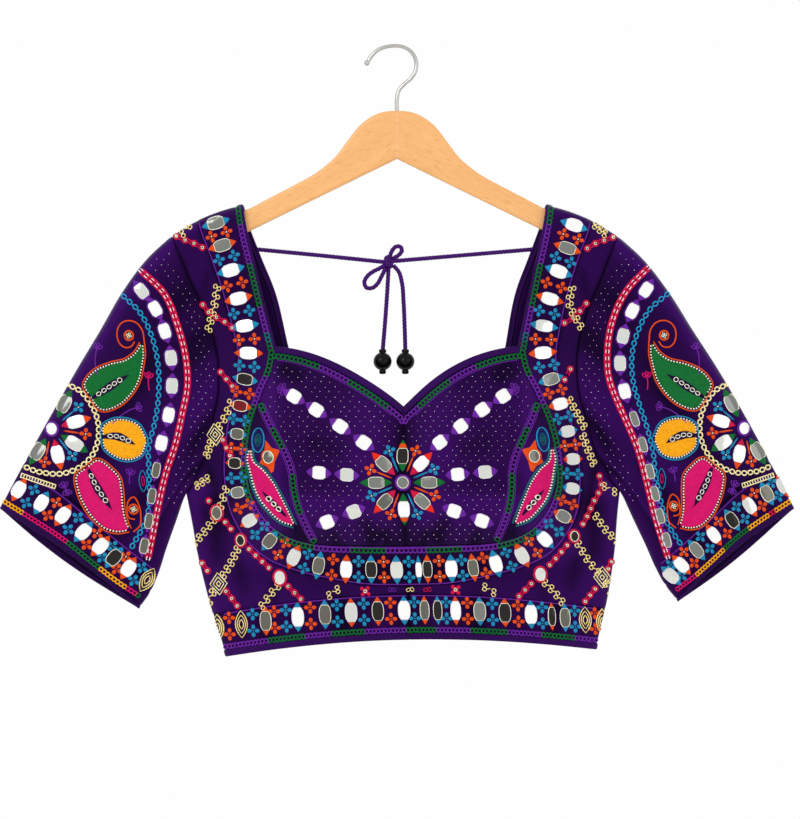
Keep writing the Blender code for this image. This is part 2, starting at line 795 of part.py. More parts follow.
def bow(line, s):
    """How far a line stands off its chord at shares s of its length."""
    ends = np.array([line[0], line[-1]])
    return along(line, s[:, 0]) - (1 - s) * ends[0] - s * ends[1]


def sleeve_grid(side, start, end, rows):
    """Loops round the sleeve from share start to share end of its length. Each line runs from the
    armhole to the cuff, and the top and underside follow the sleeve's outline."""
    front, back, t, setting_off = armhole_loop()
    faces = []
    for face, armhole in (("front", front), ("back", back)):
        cuff = cuff_line(t, face)
        s = np.linspace(start, end, rows + 1)[:, None]
        near_top = np.cos(math.pi / 2 * t)[None, :, None] ** 2
        bulge = bow(SLEEVE_TOP, s)[:, None] * near_top + bow(SLEEVE_UNDER, s)[:, None] * (1 - near_top)
        points = (1 - s)[..., None] * armhole[None] + s[..., None] * cuff[None]
        points[..., 0] += bulge[..., 0]
        points[..., 2] += bulge[..., 1]
        points += (s * (1 - s) ** 2)[..., None] * setting_off[None]
        points[..., 0] += UNDERARM_CLEAR * (1 - s) ** 6 * ease((t - UNDERARM_SHARE) / 0.12)[None]
        fullness = SLEEVE_FULLNESS * np.sin(math.pi * s) * np.sin(math.pi * t)[None]
        pressed = sleeve_fold(s, t[None]) * np.sin(math.pi * np.clip(t, 0, 1))[None]
        sign = -1.0 if face == "front" else 1.0
        points[..., 1] += sign * (fullness - pressed)
        faces.append(points)
    loop = np.concatenate([faces[0], faces[1][:, -2:0:-1]], axis=1)
    loop[..., 0] *= side
    return hang(loop)


def build_sleeve(side, label, collection):
    """Sleeve, its mirror border and its folded edge, as three tubes end to end."""
    half = SEAM_GAP / 2
    share = armhole_loop()[2]
    share = np.concatenate([share, share[-2:0:-1]])[:, None]
    armhole_gap = np.interp(ease((share - UNDERARM_SHARE) / 0.14), (0, 1), ARMHOLE_GAP)
    border_start = 1 - CUFF_BORDER - CUFF_BINDING
    pieces = (
        (f"sleeve_{label}", 0.0, border_start, SLEEVE_ROWS, "purple_cloth", CLOTH, (armhole_gap, half)),
        (f"cuff_border_{label}", border_start, 1 - CUFF_BINDING, 2, "border", CLOTH, (half, half)),
        (f"cuff_binding_{label}", 1 - CUFF_BINDING, 1.0, 1, "binding", BINDING, (half, 0.0)),
    )
    for name, start, end, rows, finish, wall, gaps in pieces:
        grid = sleeve_grid(side, start, end, rows)
        grid = inset(grid, (*gaps, 0.0, 0.0))
        cloth_object(name, grid, collection, finish, wall, closed=True)


# ---------------------------------------------------------------- hanger


def build_hanger(collection):
    """Flat wooden hanger: an outline of round stretches, thick as one board."""
    top = along(HANGER_TOP, np.linspace(0, 1, 30))
    end = along([HANGER_TOP[-1], *HANGER_END], np.linspace(0, 1, 7))[1:]
    half = np.vstack([top, end])
    bottom = np.array([[0.0, HANGER_BOTTOM_Z]])
    outline = np.vstack([half, bottom, (half * [-1, 1])[::-1][:-1]])
    curve = bpy.data.curves.new("hanger_wood", "CURVE")
    curve.dimensions = "2D"
    curve.fill_mode = "BOTH"
    curve.extrude = HANGER_THICKNESS / 2 * MM
    spline = curve.splines.new("POLY")
    spline.points.add(len(outline) - 1)
    for point, (x, z) in zip(spline.points, outline * MM):
        point.co = (x, z, 0.0, 1.0)
    spline.use_cyclic_u = True
    flat = bpy.data.objects.new("hanger_outline", curve)
    collection.objects.link(flat)
    flat.rotation_euler = (math.pi / 2, 0, 0)
    bpy.context.view_layer.update()
    graph = bpy.context.evaluated_depsgraph_get()
    mesh = bpy.data.meshes.new_from_object(flat.evaluated_get(graph))
    mesh.name = "hanger_wood"
    mesh.transform(flat.matrix_world)
    shape = bmesh.new()
    shape.from_mesh(mesh)
    bmesh.ops.remove_doubles(shape, verts=shape.verts, dist=0.01 * MM)
    bmesh.ops.dissolve_limit(shape, angle_limit=math.radians(1), verts=shape.verts, edges=shape.edges)
    shape.to_mesh(mesh)
    shape.free()
    bpy.data.objects.remove(flat)
    mesh.materials.clear()
    wood = place(bpy.data.objects.new("hanger_wood", mesh), collection, "beech")
    bevel = wood.modifiers.new("rounded_edges", "BEVEL")
    bevel.width = HANGER_EDGE * MM
    bevel.segments = 1
    bevel.limit_method = "ANGLE"
    bevel.angle_limit = math.radians(50)


def build_hook(collection):
    """Steel hook: the wire and its rounded tip, joined in one solid."""
    wire = cord_object("hook_wire", [(x, 0.0, z) for x, z in HOOK], WIRE, collection, "steel", 3.4)
    bpy.context.view_layer.update()
    graph = bpy.context.evaluated_depsgraph_get()
    mesh = bpy.data.meshes.new_from_object(wire.evaluated_get(graph))
    shape = bmesh.new()
    shape.from_mesh(mesh)
    bmesh.ops.remove_doubles(shape, verts=shape.verts, dist=0.01 * MM)
    shape.to_mesh(mesh)
    shape.free()
    bpy.data.objects.remove(wire)
    hook = bpy.data.objects.new("hanger_hook", mesh)
    collection.objects.link(hook)
    mesh.materials.clear()
    mesh.materials.append(material("steel"))
    bpy.ops.mesh.primitive_uv_sphere_add(
        segments=12, ring_count=8, radius=HOOK_BALL * MM, location=(HOOK[0][0] * MM, 0, HOOK[0][1] * MM)
    )
    ball = bpy.context.object
    ball.name = "hook_tip"
    ball.hide_render = True
    ball.display_type = "WIRE"
    join = hook.modifiers.new("tip", "BOOLEAN")
    join.operation = "UNION"
    join.object = ball
    return ball


# ---------------------------------------------------------------- back tie


def build_tie(collection):
    """Round cord across the back neck, tied in a bow with a bead on each hanging end."""
    neck_a = hermite(-TIE_START_Z, -column(BACK_NECK, 1), column(BACK_NECK, 0))
    for side, label, rest in ((-1, "left", TIE_LEFT), (1, "right", TIE_RIGHT)):
        flat = pattern([[neck_a, TIE_START_Z]])
        start = body_point(flat[:, 0], flat[:, 1], side, "back")[0]
        start[0] -= side * 1.6
        route = [tuple(start)] + [(x, TIE_Y, z) for x, z in rest]
        cord_object(f"tie_{label}", route, CORD, collection, step=18.0)
    bpy.ops.mesh.primitive_uv_sphere_add(segments=14, ring_count=9, radius=1.0)
    knot = bpy.context.object
    knot.name = knot.data.name = "tie_knot"
    for group in list(knot.users_collection):
        group.objects.unlink(knot)
    for vertex in knot.data.vertices:
        vertex.co = [vertex.co[k] * KNOT_RADII[k] * MM for k in range(3)]
    knot.location = (KNOT[0] * MM, TIE_Y * MM, KNOT[1] * MM)
    place(knot, collection, "cord")
    knot.data.shade_smooth()
    cord_object("bow_loop_left", [(x, TIE_Y - 2.0, z) for x, z in LOOP_LEFT], CORD, collection, step=4.0)
    cord_object("bow_loop_right", [(x, TIE_Y, z) for x, z in LOOP_RIGHT], CORD, collection, step=3.4)
    cord_object("tie_end_left", [(x, TIE_Y, z) for x, z in END_LEFT], CORD, collection, step=9.0)
    cord_object("tie_end_right", [(x, TIE_Y, z) for x, z in END_RIGHT], CORD, collection, step=7.0)
    for x, label in zip(BEAD_X, ("left", "right")):
        build_bead(x, label, collection)


def build_bead(x, label, collection):
    """Turned bead: a ball with a collar above and a knob below."""
    collar_r, collar_h = COLLAR
    knob_r, knob_h = KNOB
    from_angle = math.asin(collar_r / BEAD_RADIUS)
    to_angle = math.pi - math.asin(knob_r / BEAD_RADIUS)
    ball = [
        (BEAD_RADIUS * math.sin(angle), BEAD_RADIUS * math.cos(angle))
        for angle in np.linspace(from_angle, to_angle, 9)
    ]
    profile = [(0.0, collar_h), (collar_r, collar_h), *ball, (knob_r, -knob_h), (0.0, -knob_h)]
    mesh = bpy.data.meshes.new(f"bead_{label}")
    points = [(r * MM, 0.0, h * MM) for r, h in profile]
    mesh.from_pydata(points, [(i, i + 1) for i in range(len(points) - 1)], [])
    bead = place(bpy.data.objects.new(f"bead_{label}", mesh), collection, "bead")
    bead.location = (x * MM, TIE_Y * MM, BEAD_Z * MM)
    screw = bead.modifiers.new("turned", "SCREW")
    screw.steps = screw.render_steps = 16
    screw.use_merge_vertices = True
    screw.merge_threshold = 0.00005


# ---------------------------------------------------------------- the whole


def main():
    clear_scene()
    garment = bpy.data.collections.new("choli_blouse_on_hanger")
    helpers = bpy.data.collections.new("helpers")
    for group in (garment, helpers):
        bpy.context.scene.collection.children.link(group)
    for side, label in ((-1, "left"), (1, "right")):
        build_cups(side, label, garment)
        build_border(side, label, garment)
        build_side_front(side, label, garment)
        build_back(side, label, garment)
        build_sleeve(side, label, garment)
        for face in ("front", "back"):
            build_hem(side, label, face, garment)
    build_hanger(garment)
    tip = build_hook(garment)
    for group in list(tip.users_collection):
        group.objects.unlink(tip)
    helpers.objects.link(tip)
    build_tie(garment)


main()
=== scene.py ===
"""The looks of a short choli blouse on a beech hanger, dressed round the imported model.

The cloth panels are fine shells on the blouse's own form, worked out again here from the sizes of
its cut. Thread, mirrors and beads are then laid on the shells: each stitched shape is drawn flat, in
millimetres, and is bent onto the cloth through a map of its surface.

Lengths are in millimetres until a mesh is made. `a` is the distance from the centre line and `w`
the height on the flattened half pattern, +X is the viewer's right and the front faces -Y.
"""

import logging
import math
from collections.abc import Callable
from dataclasses import dataclass
from enum import Enum

import bmesh
import bpy
import numpy as np
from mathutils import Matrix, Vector
from mathutils.bvhtree import BVHTree


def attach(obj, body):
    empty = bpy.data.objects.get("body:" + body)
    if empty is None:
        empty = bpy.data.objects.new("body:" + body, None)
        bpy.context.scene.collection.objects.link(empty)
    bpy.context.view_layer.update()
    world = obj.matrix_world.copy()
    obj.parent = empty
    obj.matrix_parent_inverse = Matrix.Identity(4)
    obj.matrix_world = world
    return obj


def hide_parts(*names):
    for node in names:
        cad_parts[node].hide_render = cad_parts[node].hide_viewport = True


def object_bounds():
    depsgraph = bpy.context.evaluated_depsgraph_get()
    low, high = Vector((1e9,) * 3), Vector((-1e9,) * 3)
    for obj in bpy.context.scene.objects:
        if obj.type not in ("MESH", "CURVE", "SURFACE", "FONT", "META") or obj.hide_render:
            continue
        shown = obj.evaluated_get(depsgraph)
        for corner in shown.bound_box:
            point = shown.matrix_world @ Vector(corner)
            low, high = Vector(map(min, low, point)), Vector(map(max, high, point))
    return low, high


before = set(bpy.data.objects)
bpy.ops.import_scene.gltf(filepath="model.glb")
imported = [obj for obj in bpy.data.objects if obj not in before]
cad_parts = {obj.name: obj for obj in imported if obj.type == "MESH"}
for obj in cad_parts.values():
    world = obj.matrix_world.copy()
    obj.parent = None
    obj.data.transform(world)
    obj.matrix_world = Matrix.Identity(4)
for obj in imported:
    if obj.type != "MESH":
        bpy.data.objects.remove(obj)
cad_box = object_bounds()

LOG = logging.getLogger("choli")
MM = 0.001
BODY = "root"
SIDES = ((-1, "left"), (1, "right"))
RIGHT_ANGLE = math.pi / 2
FULL_TURN = 2 * math.pi
TINY = 1e-9
Place = tuple[float, float]
Rows = tuple[tuple[float, ...], ...]
Height = Callable[[np.ndarray], np.ndarray]


class Face(Enum):
    """The face of the garment that a piece lies on; its value is that face's direction along Y."""

    FRONT = -1.0
    BACK = 1.0

    @property
    def label(self) -> str:
        """The word used in piece names."""
        return self.name.lower()


# ---------------------------------------------------------------- curves


def hermite(x: np.ndarray, xs: np.ndarray, ys: np.ndarray) -> np.ndarray:
    """Smooth curve through given points: cubic pieces whose slopes are those of the chords.

    Args:
        x: Where the curve is read.
        xs: Rising places of the given points.
        ys: Their values.

    Returns:
        The curve's value at each x, held level past both ends.
    """
    xs, ys = np.asarray(xs, float), np.asarray(ys, float)
    x = np.clip(x, xs[0], xs[-1])
    slopes = np.gradient(ys, xs)
    i = np.clip(np.searchsorted(xs, x) - 1, 0, len(xs) - 2)
    step = xs[i + 1] - xs[i]
    t = (x - xs[i]) / step
    return (
        ys[i] * (1 + 2 * t) * (1 - t) ** 2
        + slopes[i] * step * t * (1 - t) ** 2
        + ys[i + 1] * t**2 * (3 - 2 * t)
        + slopes[i + 1] * step * t**2 * (t - 1)
    )


def stacked(*parts: np.ndarray) -> np.ndarray:
    """Arrays stretched to one shape and put together along a new last axis."""
    return np.stack(np.broadcast_arrays(*parts), axis=-1)


def unit(vectors: np.ndarray) -> np.ndarray:
    """Vectors along the last axis, made one long."""
    return vectors / np.maximum(np.linalg.norm(vectors, axis=-1, keepdims=True), TINY)


def circle(count: int) -> np.ndarray:
    """Angles evenly spaced round a full turn."""
    return np.linspace(0, FULL_TURN, count, endpoint=False)


def run(line: np.ndarray) -> np.ndarray:
    """Distance run along a line up to each of its points."""
    steps = np.linalg.norm(np.diff(line, axis=0), axis=1)
    return np.concatenate([[0.0], np.cumsum(steps)])


def read_off(wanted: np.ndarray, at: np.ndarray, line: np.ndarray) -> np.ndarray:
    """Points of a line whose own points are at given places, straight between them."""
    return stacked(*(np.interp(wanted, at, column) for column in line.T))


def along(points: np.ndarray, shares: np.ndarray) -> np.ndarray:
    """Points at shares of the chord length of a smooth line.

    Args:
        points: The line's own points, of any dimension.
        shares: Places from 0 to 1, in an array of any shape.

    Returns:
        An array of that shape with one more axis, the point.
    """
    points = np.asarray(points, float)
    at = run(points)
    return stacked(*(hermite(shares, at / at[-1], column) for column in points.T))


def evenly(line: np.ndarray, step: float, smooth: bool = True) -> np.ndarray:
    """A line read again at even steps, as close to the wanted step as divides its length."""
    line = np.asarray(line, float)
    fine = along(line, np.linspace(0, 1, 400)) if smooth else line
    at = run(fine)
    count = max(2, round(at[-1] / step) + 1)
    return read_off(np.linspace(0, at[-1], count), at, fine)


def headings(line: np.ndarray) -> np.ndarray:
    """Angle of a flat line's direction at each of its points."""
    step = np.gradient(line, axis=0)
    return np.arctan2(step[:, 1], step[:, 0])


def ease(x: np.ndarray) -> np.ndarray:
    """Smooth step from 0 to 1."""
    x = np.clip(x, 0.0, 1.0)
    return x * x * (3 - 2 * x)


def moved_sideways(line: np.ndarray, distance: float) -> np.ndarray:
    """A flat line moved to its left as it runs."""
    line = np.asarray(line, float)
    step = unit(np.gradient(line, axis=0))
    return line + distance * stacked(-step[:, 1], step[:, 0])


def creased(a: np.ndarray, w: np.ndarray, table: Rows) -> np.ndarray:
    """Depth of soft troughs: each falls off as a bell across its line and fades at its two ends.

    Args:
        a: Distance from the centre of each point of cloth.
        w: Height of each point.
        table: Rows of start (a, w), end (a, w), half width and depth.

    Returns:
        How far each point is pressed in; a row with a negative depth is a ridge.
    """
    total = np.zeros(np.broadcast(a, w).shape)
    for a0, w0, a1, w1, half, depth in table:
        length = math.hypot(a1 - a0, w1 - w0)
        ua, uw = (a1 - a0) / length, (w1 - w0) / length
        share = ((a - a0) * ua + (w - w0) * uw) / length
        off = (a - a0) * uw - (w - w0) * ua
        ends = np.clip(np.abs(share - 0.5) * 2 - 0.5, 0, None)
        total = total + depth * np.exp(-((off / half) ** 2) - (ends * 3) ** 2)
    return total


def within(points: np.ndarray, outline: np.ndarray) -> np.ndarray:
    """Whether flat points lie inside a closed outline, by counting the edges to their right."""
    x, y = points[:, None, 0], points[:, None, 1]
    start, end = outline, np.roll(outline, -1, axis=0)
    crosses = (start[:, 1] > y) != (end[:, 1] > y)
    rise = np.where(end[:, 1] == start[:, 1], TINY, end[:, 1] - start[:, 1])
    at = start[:, 0] + (y - start[:, 1]) / rise * (end[:, 0] - start[:, 0])
    return (crosses & (x < at)).sum(axis=1) % 2 == 1


# ---------------------------------------------------------------- the blouse's form and its cut


@dataclass(frozen=True)
class Form:
    """The shape that the cloth takes: a flat half pattern folded over the hanger, rounded at the
    sides, filled out at the two cups and hung a little askew."""

    neck_point_z: float = -142.0
    hem_centre_z: float = -531.4
    hem_drop: float = 12.8
    hem_half_width: float = 166.5
    band_top_z: float = -491.0
    band_drop: float = 14.5
    sway: tuple[float, ...] = (-2.2, 21.0, -6.2)
    tilt: float = 0.019
    hang_length: float = 401.0
    sleeve_end: tuple[float, float] = (230.0, 357.0)
    shoulder_fold: float = 7.0
    shoulder_half_depth: float = 9.0
    side_roundness: float = 2.6
    cup_depth: float = 32.0
    cup_valley: float = 0.14
    cup_valley_width: float = 22.0
    cup_side: tuple[float, float] = (110.0, 168.0)
    cup_top: tuple[float, float] = (-385.0, -200.0)
    cup_foot: tuple[float, float] = (-405.0, -480.0)
    sweetheart_z: float = -323.3
    sweetheart_slope: float = 0.93
    sweetheart_curve: float = 0.004
    neck_point_shift: float = 4.0
    neck_point_reach: float = 40.0
    # distance from the centre, height
    shoulder: Rows = ((136.8, -142.0), (158.4, -148.0), (180.0, -157.4), (199.8, -169.5))
    # height, half width
    half_widths: Rows = (
        (-545.0, 165.6), (-525.8, 170.6), (-503.3, 177.0), (-474.5, 183.4), (-451.0, 187.8), (-428.6, 190.6),
        (-398.9, 194.9), (-370.0, 199.0), (-335.0, 207.0), (-281.0, 222.0), (-227.0, 248.0), (-173.0, 297.0),
        (-137.0, 330.0),
    )
    # height, depth of the front, depth of the back
    depths: Rows = (
        (-545.0, 20.0, 19.0), (-500.0, 20.0, 19.0), (-430.0, 18.0, 17.0), (-370.0, 16.0, 15.0),
        (-300.0, 14.0, 13.0), (-230.0, 12.2, 11.8), (-175.0, 10.9, 10.9), (-137.0, 9.6, 9.6),
    )
    # start (a, w), end (a, w), half width, depth: the large folds first, then the finer creases
    front_creases: Rows = (
        (168.0, -300.0, 186.0, -398.0, 9.0, 2.6), (176.0, -400.0, 168.0, -470.0, 10.0, 2.2),
        (40.0, -418.0, 24.0, -444.0, 8.0, 1.6), (183.0, -352.0, 172.0, -392.0, 4.2, 1.5),
        (176.0, -372.0, 160.0, -432.0, 5.0, 1.2), (188.0, -405.0, 178.0, -462.0, 4.5, -1.1),
        (152.0, -452.0, 144.0, -494.0, 7.0, 1.3), (118.0, -474.0, 121.0, -500.0, 6.0, 0.9),
        (64.0, -486.0, 58.0, -528.0, 9.0, 1.1), (132.0, -496.0, 127.0, -538.0, 8.0, 1.2),
        (24.0, -494.0, 29.0, -524.0, 7.0, -0.8), (101.0, -422.0, 88.0, -446.0, 4.0, 0.9),
        (66.0, -430.0, 60.0, -449.0, 3.6, 0.9), (20.0, -430.0, 15.0, -449.0, 3.2, 0.8),
        (104.0, -288.0, 84.0, -301.0, 6.0, 0.9), (86.0, -352.0, 46.0, -366.0, 11.0, 0.7),
        (168.0, -196.0, 172.0, -232.0, 5.0, 0.8), (170.5, -338.0, 172.5, -402.0, 4.8, 1.0),
        (161.0, -346.0, 163.0, -402.0, 4.0, -0.8),
    )
    back_creases: Rows = (
        (150.0, -300.0, 172.0, -400.0, 12.0, 2.8), (120.0, -420.0, 104.0, -500.0, 14.0, 2.4),
        (178.0, -356.0, 166.0, -404.0, 4.4, 1.5), (186.0, -404.0, 174.0, -462.0, 5.0, 1.2),
        (60.0, -424.0, 52.0, -478.0, 8.0, 1.3), (22.0, -418.0, 30.0, -470.0, 6.0, -0.9),
        (146.0, -456.0, 138.0, -500.0, 6.5, 1.2), (84.0, -496.0, 79.0, -530.0, 8.0, 1.0),
        (128.0, -232.0, 118.0, -284.0, 6.0, 1.0), (158.0, -208.0, 150.0, -262.0, 7.0, 0.9),
    )

    def column(self, table: Rows, k: int) -> np.ndarray:
        """One column of a table."""
        return np.array([row[k] for row in table], float)

    def half_width(self, w: np.ndarray) -> np.ndarray:
        """Half the body's width at height w."""
        return hermite(w, self.column(self.half_widths, 0), self.column(self.half_widths, 1))

    def shoulder_z(self, a: np.ndarray) -> np.ndarray:
        """Height of the shoulder's top line."""
        return hermite(a, self.column(self.shoulder, 0), self.column(self.shoulder, 1))

    def hem_z(self, a: np.ndarray) -> np.ndarray:
        """Height of the hem, which drops with the square of the distance from the centre."""
        return self.hem_centre_z - self.hem_drop * (a / self.hem_half_width) ** 2

    def band_top(self, a: np.ndarray) -> np.ndarray:
        """Height of the hem border's top seam."""
        return self.band_top_z - self.band_drop * (a / self.hem_half_width) ** 2

    def sweetheart(self, a: np.ndarray) -> np.ndarray:
        """Height of the sweetheart neckline."""
        return self.sweetheart_z + self.sweetheart_slope * a - self.sweetheart_curve * a * a

    def cup(self, a: np.ndarray, w: np.ndarray) -> np.ndarray:
        """How far the moulded cup stands forward: its full depth, less a valley at the centre line
        and smooth falls to the side, the neck and the waist."""
        across = 1 - self.cup_valley * np.exp(-((a / self.cup_valley_width) ** 2))
        for (near, far), at in ((self.cup_side, a), (self.cup_top, w), (self.cup_foot, w)):
            across = across * (1 - ease((at - near) / (far - near)))
        return self.cup_depth * across

    def hang(self, point: np.ndarray) -> np.ndarray:
        """Swings points sideways and tilts them, by their drop below the neck point; the shift
        fades out over the sleeves. The last axis holds x, then z last."""
        point = np.array(point, float)
        t = np.clip((self.neck_point_z - point[..., -1]) / self.hang_length, 0.0, 1.1)
        near, far = self.sleeve_end
        follows = 1 - ease((np.abs(point[..., 0]) - near) / (far - near))
        first, square, fourth = self.sway
        point[..., -1] += self.tilt * t**3 * point[..., 0] * follows
        point[..., 0] += (first + square * t**2 + fourth * t**4) * follows
        return point

    def unhang(self, point: np.ndarray) -> np.ndarray:
        """Undoes hang, by correcting a guess four times."""
        point = np.array(point, float)
        guess = point.copy()
        for _ in range(4):
            guess += point - self.hang(guess)
        return guess

    def fold_length(self) -> float:
        """Cloth that turns over the hanger on each side: a quarter of an ellipse."""
        return RIGHT_ANGLE * math.sqrt((self.shoulder_fold**2 + self.shoulder_half_depth**2) / 2)

    def point(self, phi: np.ndarray, w: np.ndarray, side: int, face: Face) -> np.ndarray:
        """The cloth in space: a superellipse round the body at each height, folded over the
        shoulder along a quarter of an ellipse, with cups and creases, then hung.

        Args:
            phi: Angle round the body, 0 at the centre line and a right angle at the side.
            w: Height on the pattern.
            side: -1 for the viewer's left half, 1 for the right.
            face: The front or the back.

        Returns:
            Points x, y, z.
        """
        width = self.half_width(w)
        a = width * np.sin(phi)
        turn = self.fold_length()
        ridge = self.shoulder_z(a)
        from_seam = ridge + (turn - self.shoulder_fold) - w
        omega = np.clip(from_seam / turn, 0.0, 1.0) * RIGHT_ANGLE
        z = np.where(from_seam < turn, ridge - self.shoulder_fold * (1 - np.cos(omega)), w)
        column = 1 if face is Face.FRONT else 2
        depth = hermite(z, self.column(self.depths, 0), self.column(self.depths, column))
        share = np.clip(a / width, 0.0, 1.0)
        depth = depth * np.sqrt(np.clip(1 - share**self.side_roundness, 0, 1)) * np.sin(omega)
        shift = 0.0
        table = self.back_creases
        if face is Face.FRONT:
            table = self.front_creases
            depth = depth + self.cup(a, z)
            reach = (a**2 + (z - self.sweetheart_z) ** 2) / self.neck_point_reach**2
            shift = self.neck_point_shift * np.exp(-reach)
        depth = depth - creased(a, z, table) * np.sin(omega) * np.cos(phi)
        return self.hang(stacked(side * a + shift, face.value * depth, z))

    def flat(self, points: np.ndarray) -> np.ndarray:
        """Pattern points (a, w) as (phi, w), in which panels are blended."""
        points = np.asarray(points, float)
        share = np.clip(points[..., 0] / self.half_width(points[..., 1]), 0.0, 1.0)
        return stacked(np.arcsin(share), points[..., 1])


@dataclass(frozen=True)
class Cut:
    """The seam lines of the half pattern, each as a smooth line read at even stations. Neighbouring
    panels share the stations of their seam, so their edges run alongside."""

    form: Form
    fine: int = 4  # stations for each one of the solid pieces
    binding_width: float = 5.4
    neckline_binding: tuple[float, float] = (7.4, 5.4)  # upright, at the point and at the corners
    fold_rows: int = 3
    strap_rows: int = 9
    cup_rows: tuple[int, ...] = (3, 10, 10)
    armhole_rows: int = 17
    side_rows: int = 3
    back_neck_rows: int = 15
    bottom_columns: int = 12
    # distance from the centre, height
    armhole_line: Rows = (
        (199.8, -169.5), (190.4, -192.4), (185.0, -206.3), (172.8, -233.3), (165.6, -254.9), (161.1, -276.5),
        (160.9, -303.5), (167.9, -337.7), (173.7, -362.0), (177.8, -375.5), (184.5, -389.0), (194.9, -398.9),
    )
    border_line: Rows = (
        (178.0, -156.4), (166.3, -188.3), (157.5, -214.4), (147.2, -254.9), (143.3, -276.0), (145.0, -296.0),
        (149.6, -317.5), (156.2, -346.0), (159.8, -372.0), (160.0, -392.0), (155.6, -418.0), (144.5, -439.4),
        (128.7, -456.0), (100.8, -469.0), (72.0, -476.3), (38.4, -482.3), (0.0, -483.5),
    )
    border_marks: tuple[int, ...] = (0, 1, 5, 7, 14, 17)
    cup_line: Rows = (
        (112.9, -274.7), (117.0, -294.0), (125.2, -316.5), (132.5, -335.0), (137.2, -355.0), (139.0, -374.0),
        (137.4, -396.0), (129.5, -415.0), (114.0, -433.0), (95.0, -442.6), (81.0, -445.6), (40.0, -447.6),
        (0.0, -448.0),
    )
    cup_marks: tuple[int, ...] = (0, 2, 10, 12)
    princess_line: Rows = (
        (125.2, -316.5), (112.4, -347.3), (101.2, -372.5), (95.9, -402.5), (89.6, -430.0), (81.0, -445.6),
    )
    neck_line: Rows = ((136.8, -142.0), (123.6, -204.0), (108.5, -269.5))
    back_neck_line: Rows = (
        (136.8, -142.0), (121.4, -186.5), (109.1, -218.0), (98.0, -269.0), (88.0, -315.0), (70.0, -360.0),
        (40.0, -393.0), (0.0, -408.0),
    )

    def shoulder_seam(self, points: np.ndarray) -> np.ndarray:
        """Pattern points lifted to the shoulder seam, past the fold on the flat pattern."""
        points = np.array(points, float)
        lift = self.form.fold_length() - self.form.shoulder_fold
        points[..., 1] = self.form.shoulder_z(points[..., 0]) + lift
        return points

    def from_shoulder(self, line: np.ndarray) -> np.ndarray:
        """A line from the shoulder, its first point lifted to the seam and a second added where the
        cloth has turned over the hanger."""
        line = np.asarray(line, float)
        first = along(line, np.linspace(0, 0.4, 200))
        drop = self.form.shoulder_z(first[:, 0]) - first[:, 1]
        foot = [np.interp(self.form.shoulder_fold, drop, first[:, k]) for k in (0, 1)]
        return np.vstack([self.shoulder_seam(line[0]), foot, line[1:]])

    def stations(self, points: np.ndarray, marks: tuple[int, ...], counts: tuple[int, ...]) -> np.ndarray:
        """Points of a smooth line with a set number of steps between marked control points.

        Args:
            points: The line's control points.
            marks: Places of the marked ones, first and last included.
            counts: Coarse steps between each two marks, made finer by the cut's own factor.

        Returns:
            The stations, from the first control point to the last.
        """
        at = run(np.asarray(points, float))
        at = at / at[-1]
        spans = zip(marks, marks[1:], counts)
        shares = [np.linspace(at[i], at[j], count * self.fine, endpoint=False) for i, j, count in spans]
        return along(points, np.concatenate([*shares, [1.0]]))

    def strap_edge(self) -> np.ndarray:
        """Free edge of the strap, from the shoulder to the neckline's corner."""
        counts = (self.fold_rows, self.strap_rows)
        return self.stations(self.from_shoulder(self.neck_line), (0, 1, 3), counts)

    def strap_seam(self) -> np.ndarray:
        """Between the strap's binding and its mirror border, ending at the mitred corner."""
        line = moved_sideways(self.neck_line, self.binding_width)
        line = np.vstack([line[:-1], self.cup_line[:1]])
        line[0, 1] = self.form.shoulder_z(line[0, 0])
        return self.stations(self.from_shoulder(line), (0, 1, 3), (self.fold_rows, self.strap_rows))

    def cup_seam(self) -> np.ndarray:
        """Round the cup and under the bust."""
        return self.stations(self.cup_line, self.cup_marks, self.cup_rows)

    def border_inner(self) -> np.ndarray:
        """Inner edge of the whole mirror border."""
        return np.vstack([self.strap_seam(), self.cup_seam()[1:]])

    def border_outer(self) -> np.ndarray:
        """Outer edge of the whole mirror border."""
        rows = (self.fold_rows, self.strap_rows, *self.cup_rows)
        return self.stations(self.from_shoulder(self.border_line), self.border_marks, rows)

    def armhole(self) -> np.ndarray:
        """From the shoulder's tip to the underarm."""
        line = self.from_shoulder(self.armhole_line)
        return self.stations(line, (0, 1, len(self.armhole_line)), (self.fold_rows, self.armhole_rows))

    def meets_side(self, height: Height) -> np.ndarray:
        """Where a line whose height depends on a meets the side seam, by closing in on it."""
        a = self.form.hem_half_width
        for _ in range(8):
            a = float(self.form.half_width(height(a)))
        return np.array([a, float(height(a))])

    def side_seam(self, rows: int) -> np.ndarray:
        """From the underarm down to the hem border."""
        top = self.armhole_line[-1][1]
        w = np.linspace(top, self.meets_side(self.form.band_top)[1], rows * self.fine + 1)
        return stacked(self.form.half_width(w), w)

    def bottom(self, height: Height, shares: np.ndarray | None = None) -> np.ndarray:
        """From the centre to the side seam at a given height, closer together round the side.

        Args:
            height: The line's height for each distance from the centre.
            shares: Places along it from 0 to 1, or none for even ones.

        Returns:
            The line's points.
        """
        if shares is None:
            shares = np.linspace(0, 1, self.bottom_columns * self.fine + 1)
        a = np.sin(shares * RIGHT_ANGLE) * self.meets_side(height)[0]
        return stacked(a, height(a))

    def back_neck(self) -> tuple[np.ndarray, np.ndarray]:
        """The back neck's edge, and the inner edge of its binding."""
        rows = (self.fold_rows, self.back_neck_rows)
        marks = (0, 1, len(self.back_neck_line))
        inside = moved_sideways(self.back_neck_line, self.binding_width)
        inside[0, 1] = self.form.shoulder_z(inside[0, 0])
        inside[-1] = (0.0, self.back_neck_line[-1][1] - self.binding_width)
        edges = (self.back_neck_line, inside)
        edge, inner = (self.stations(self.from_shoulder(line), marks, rows) for line in edges)
        return edge, inner

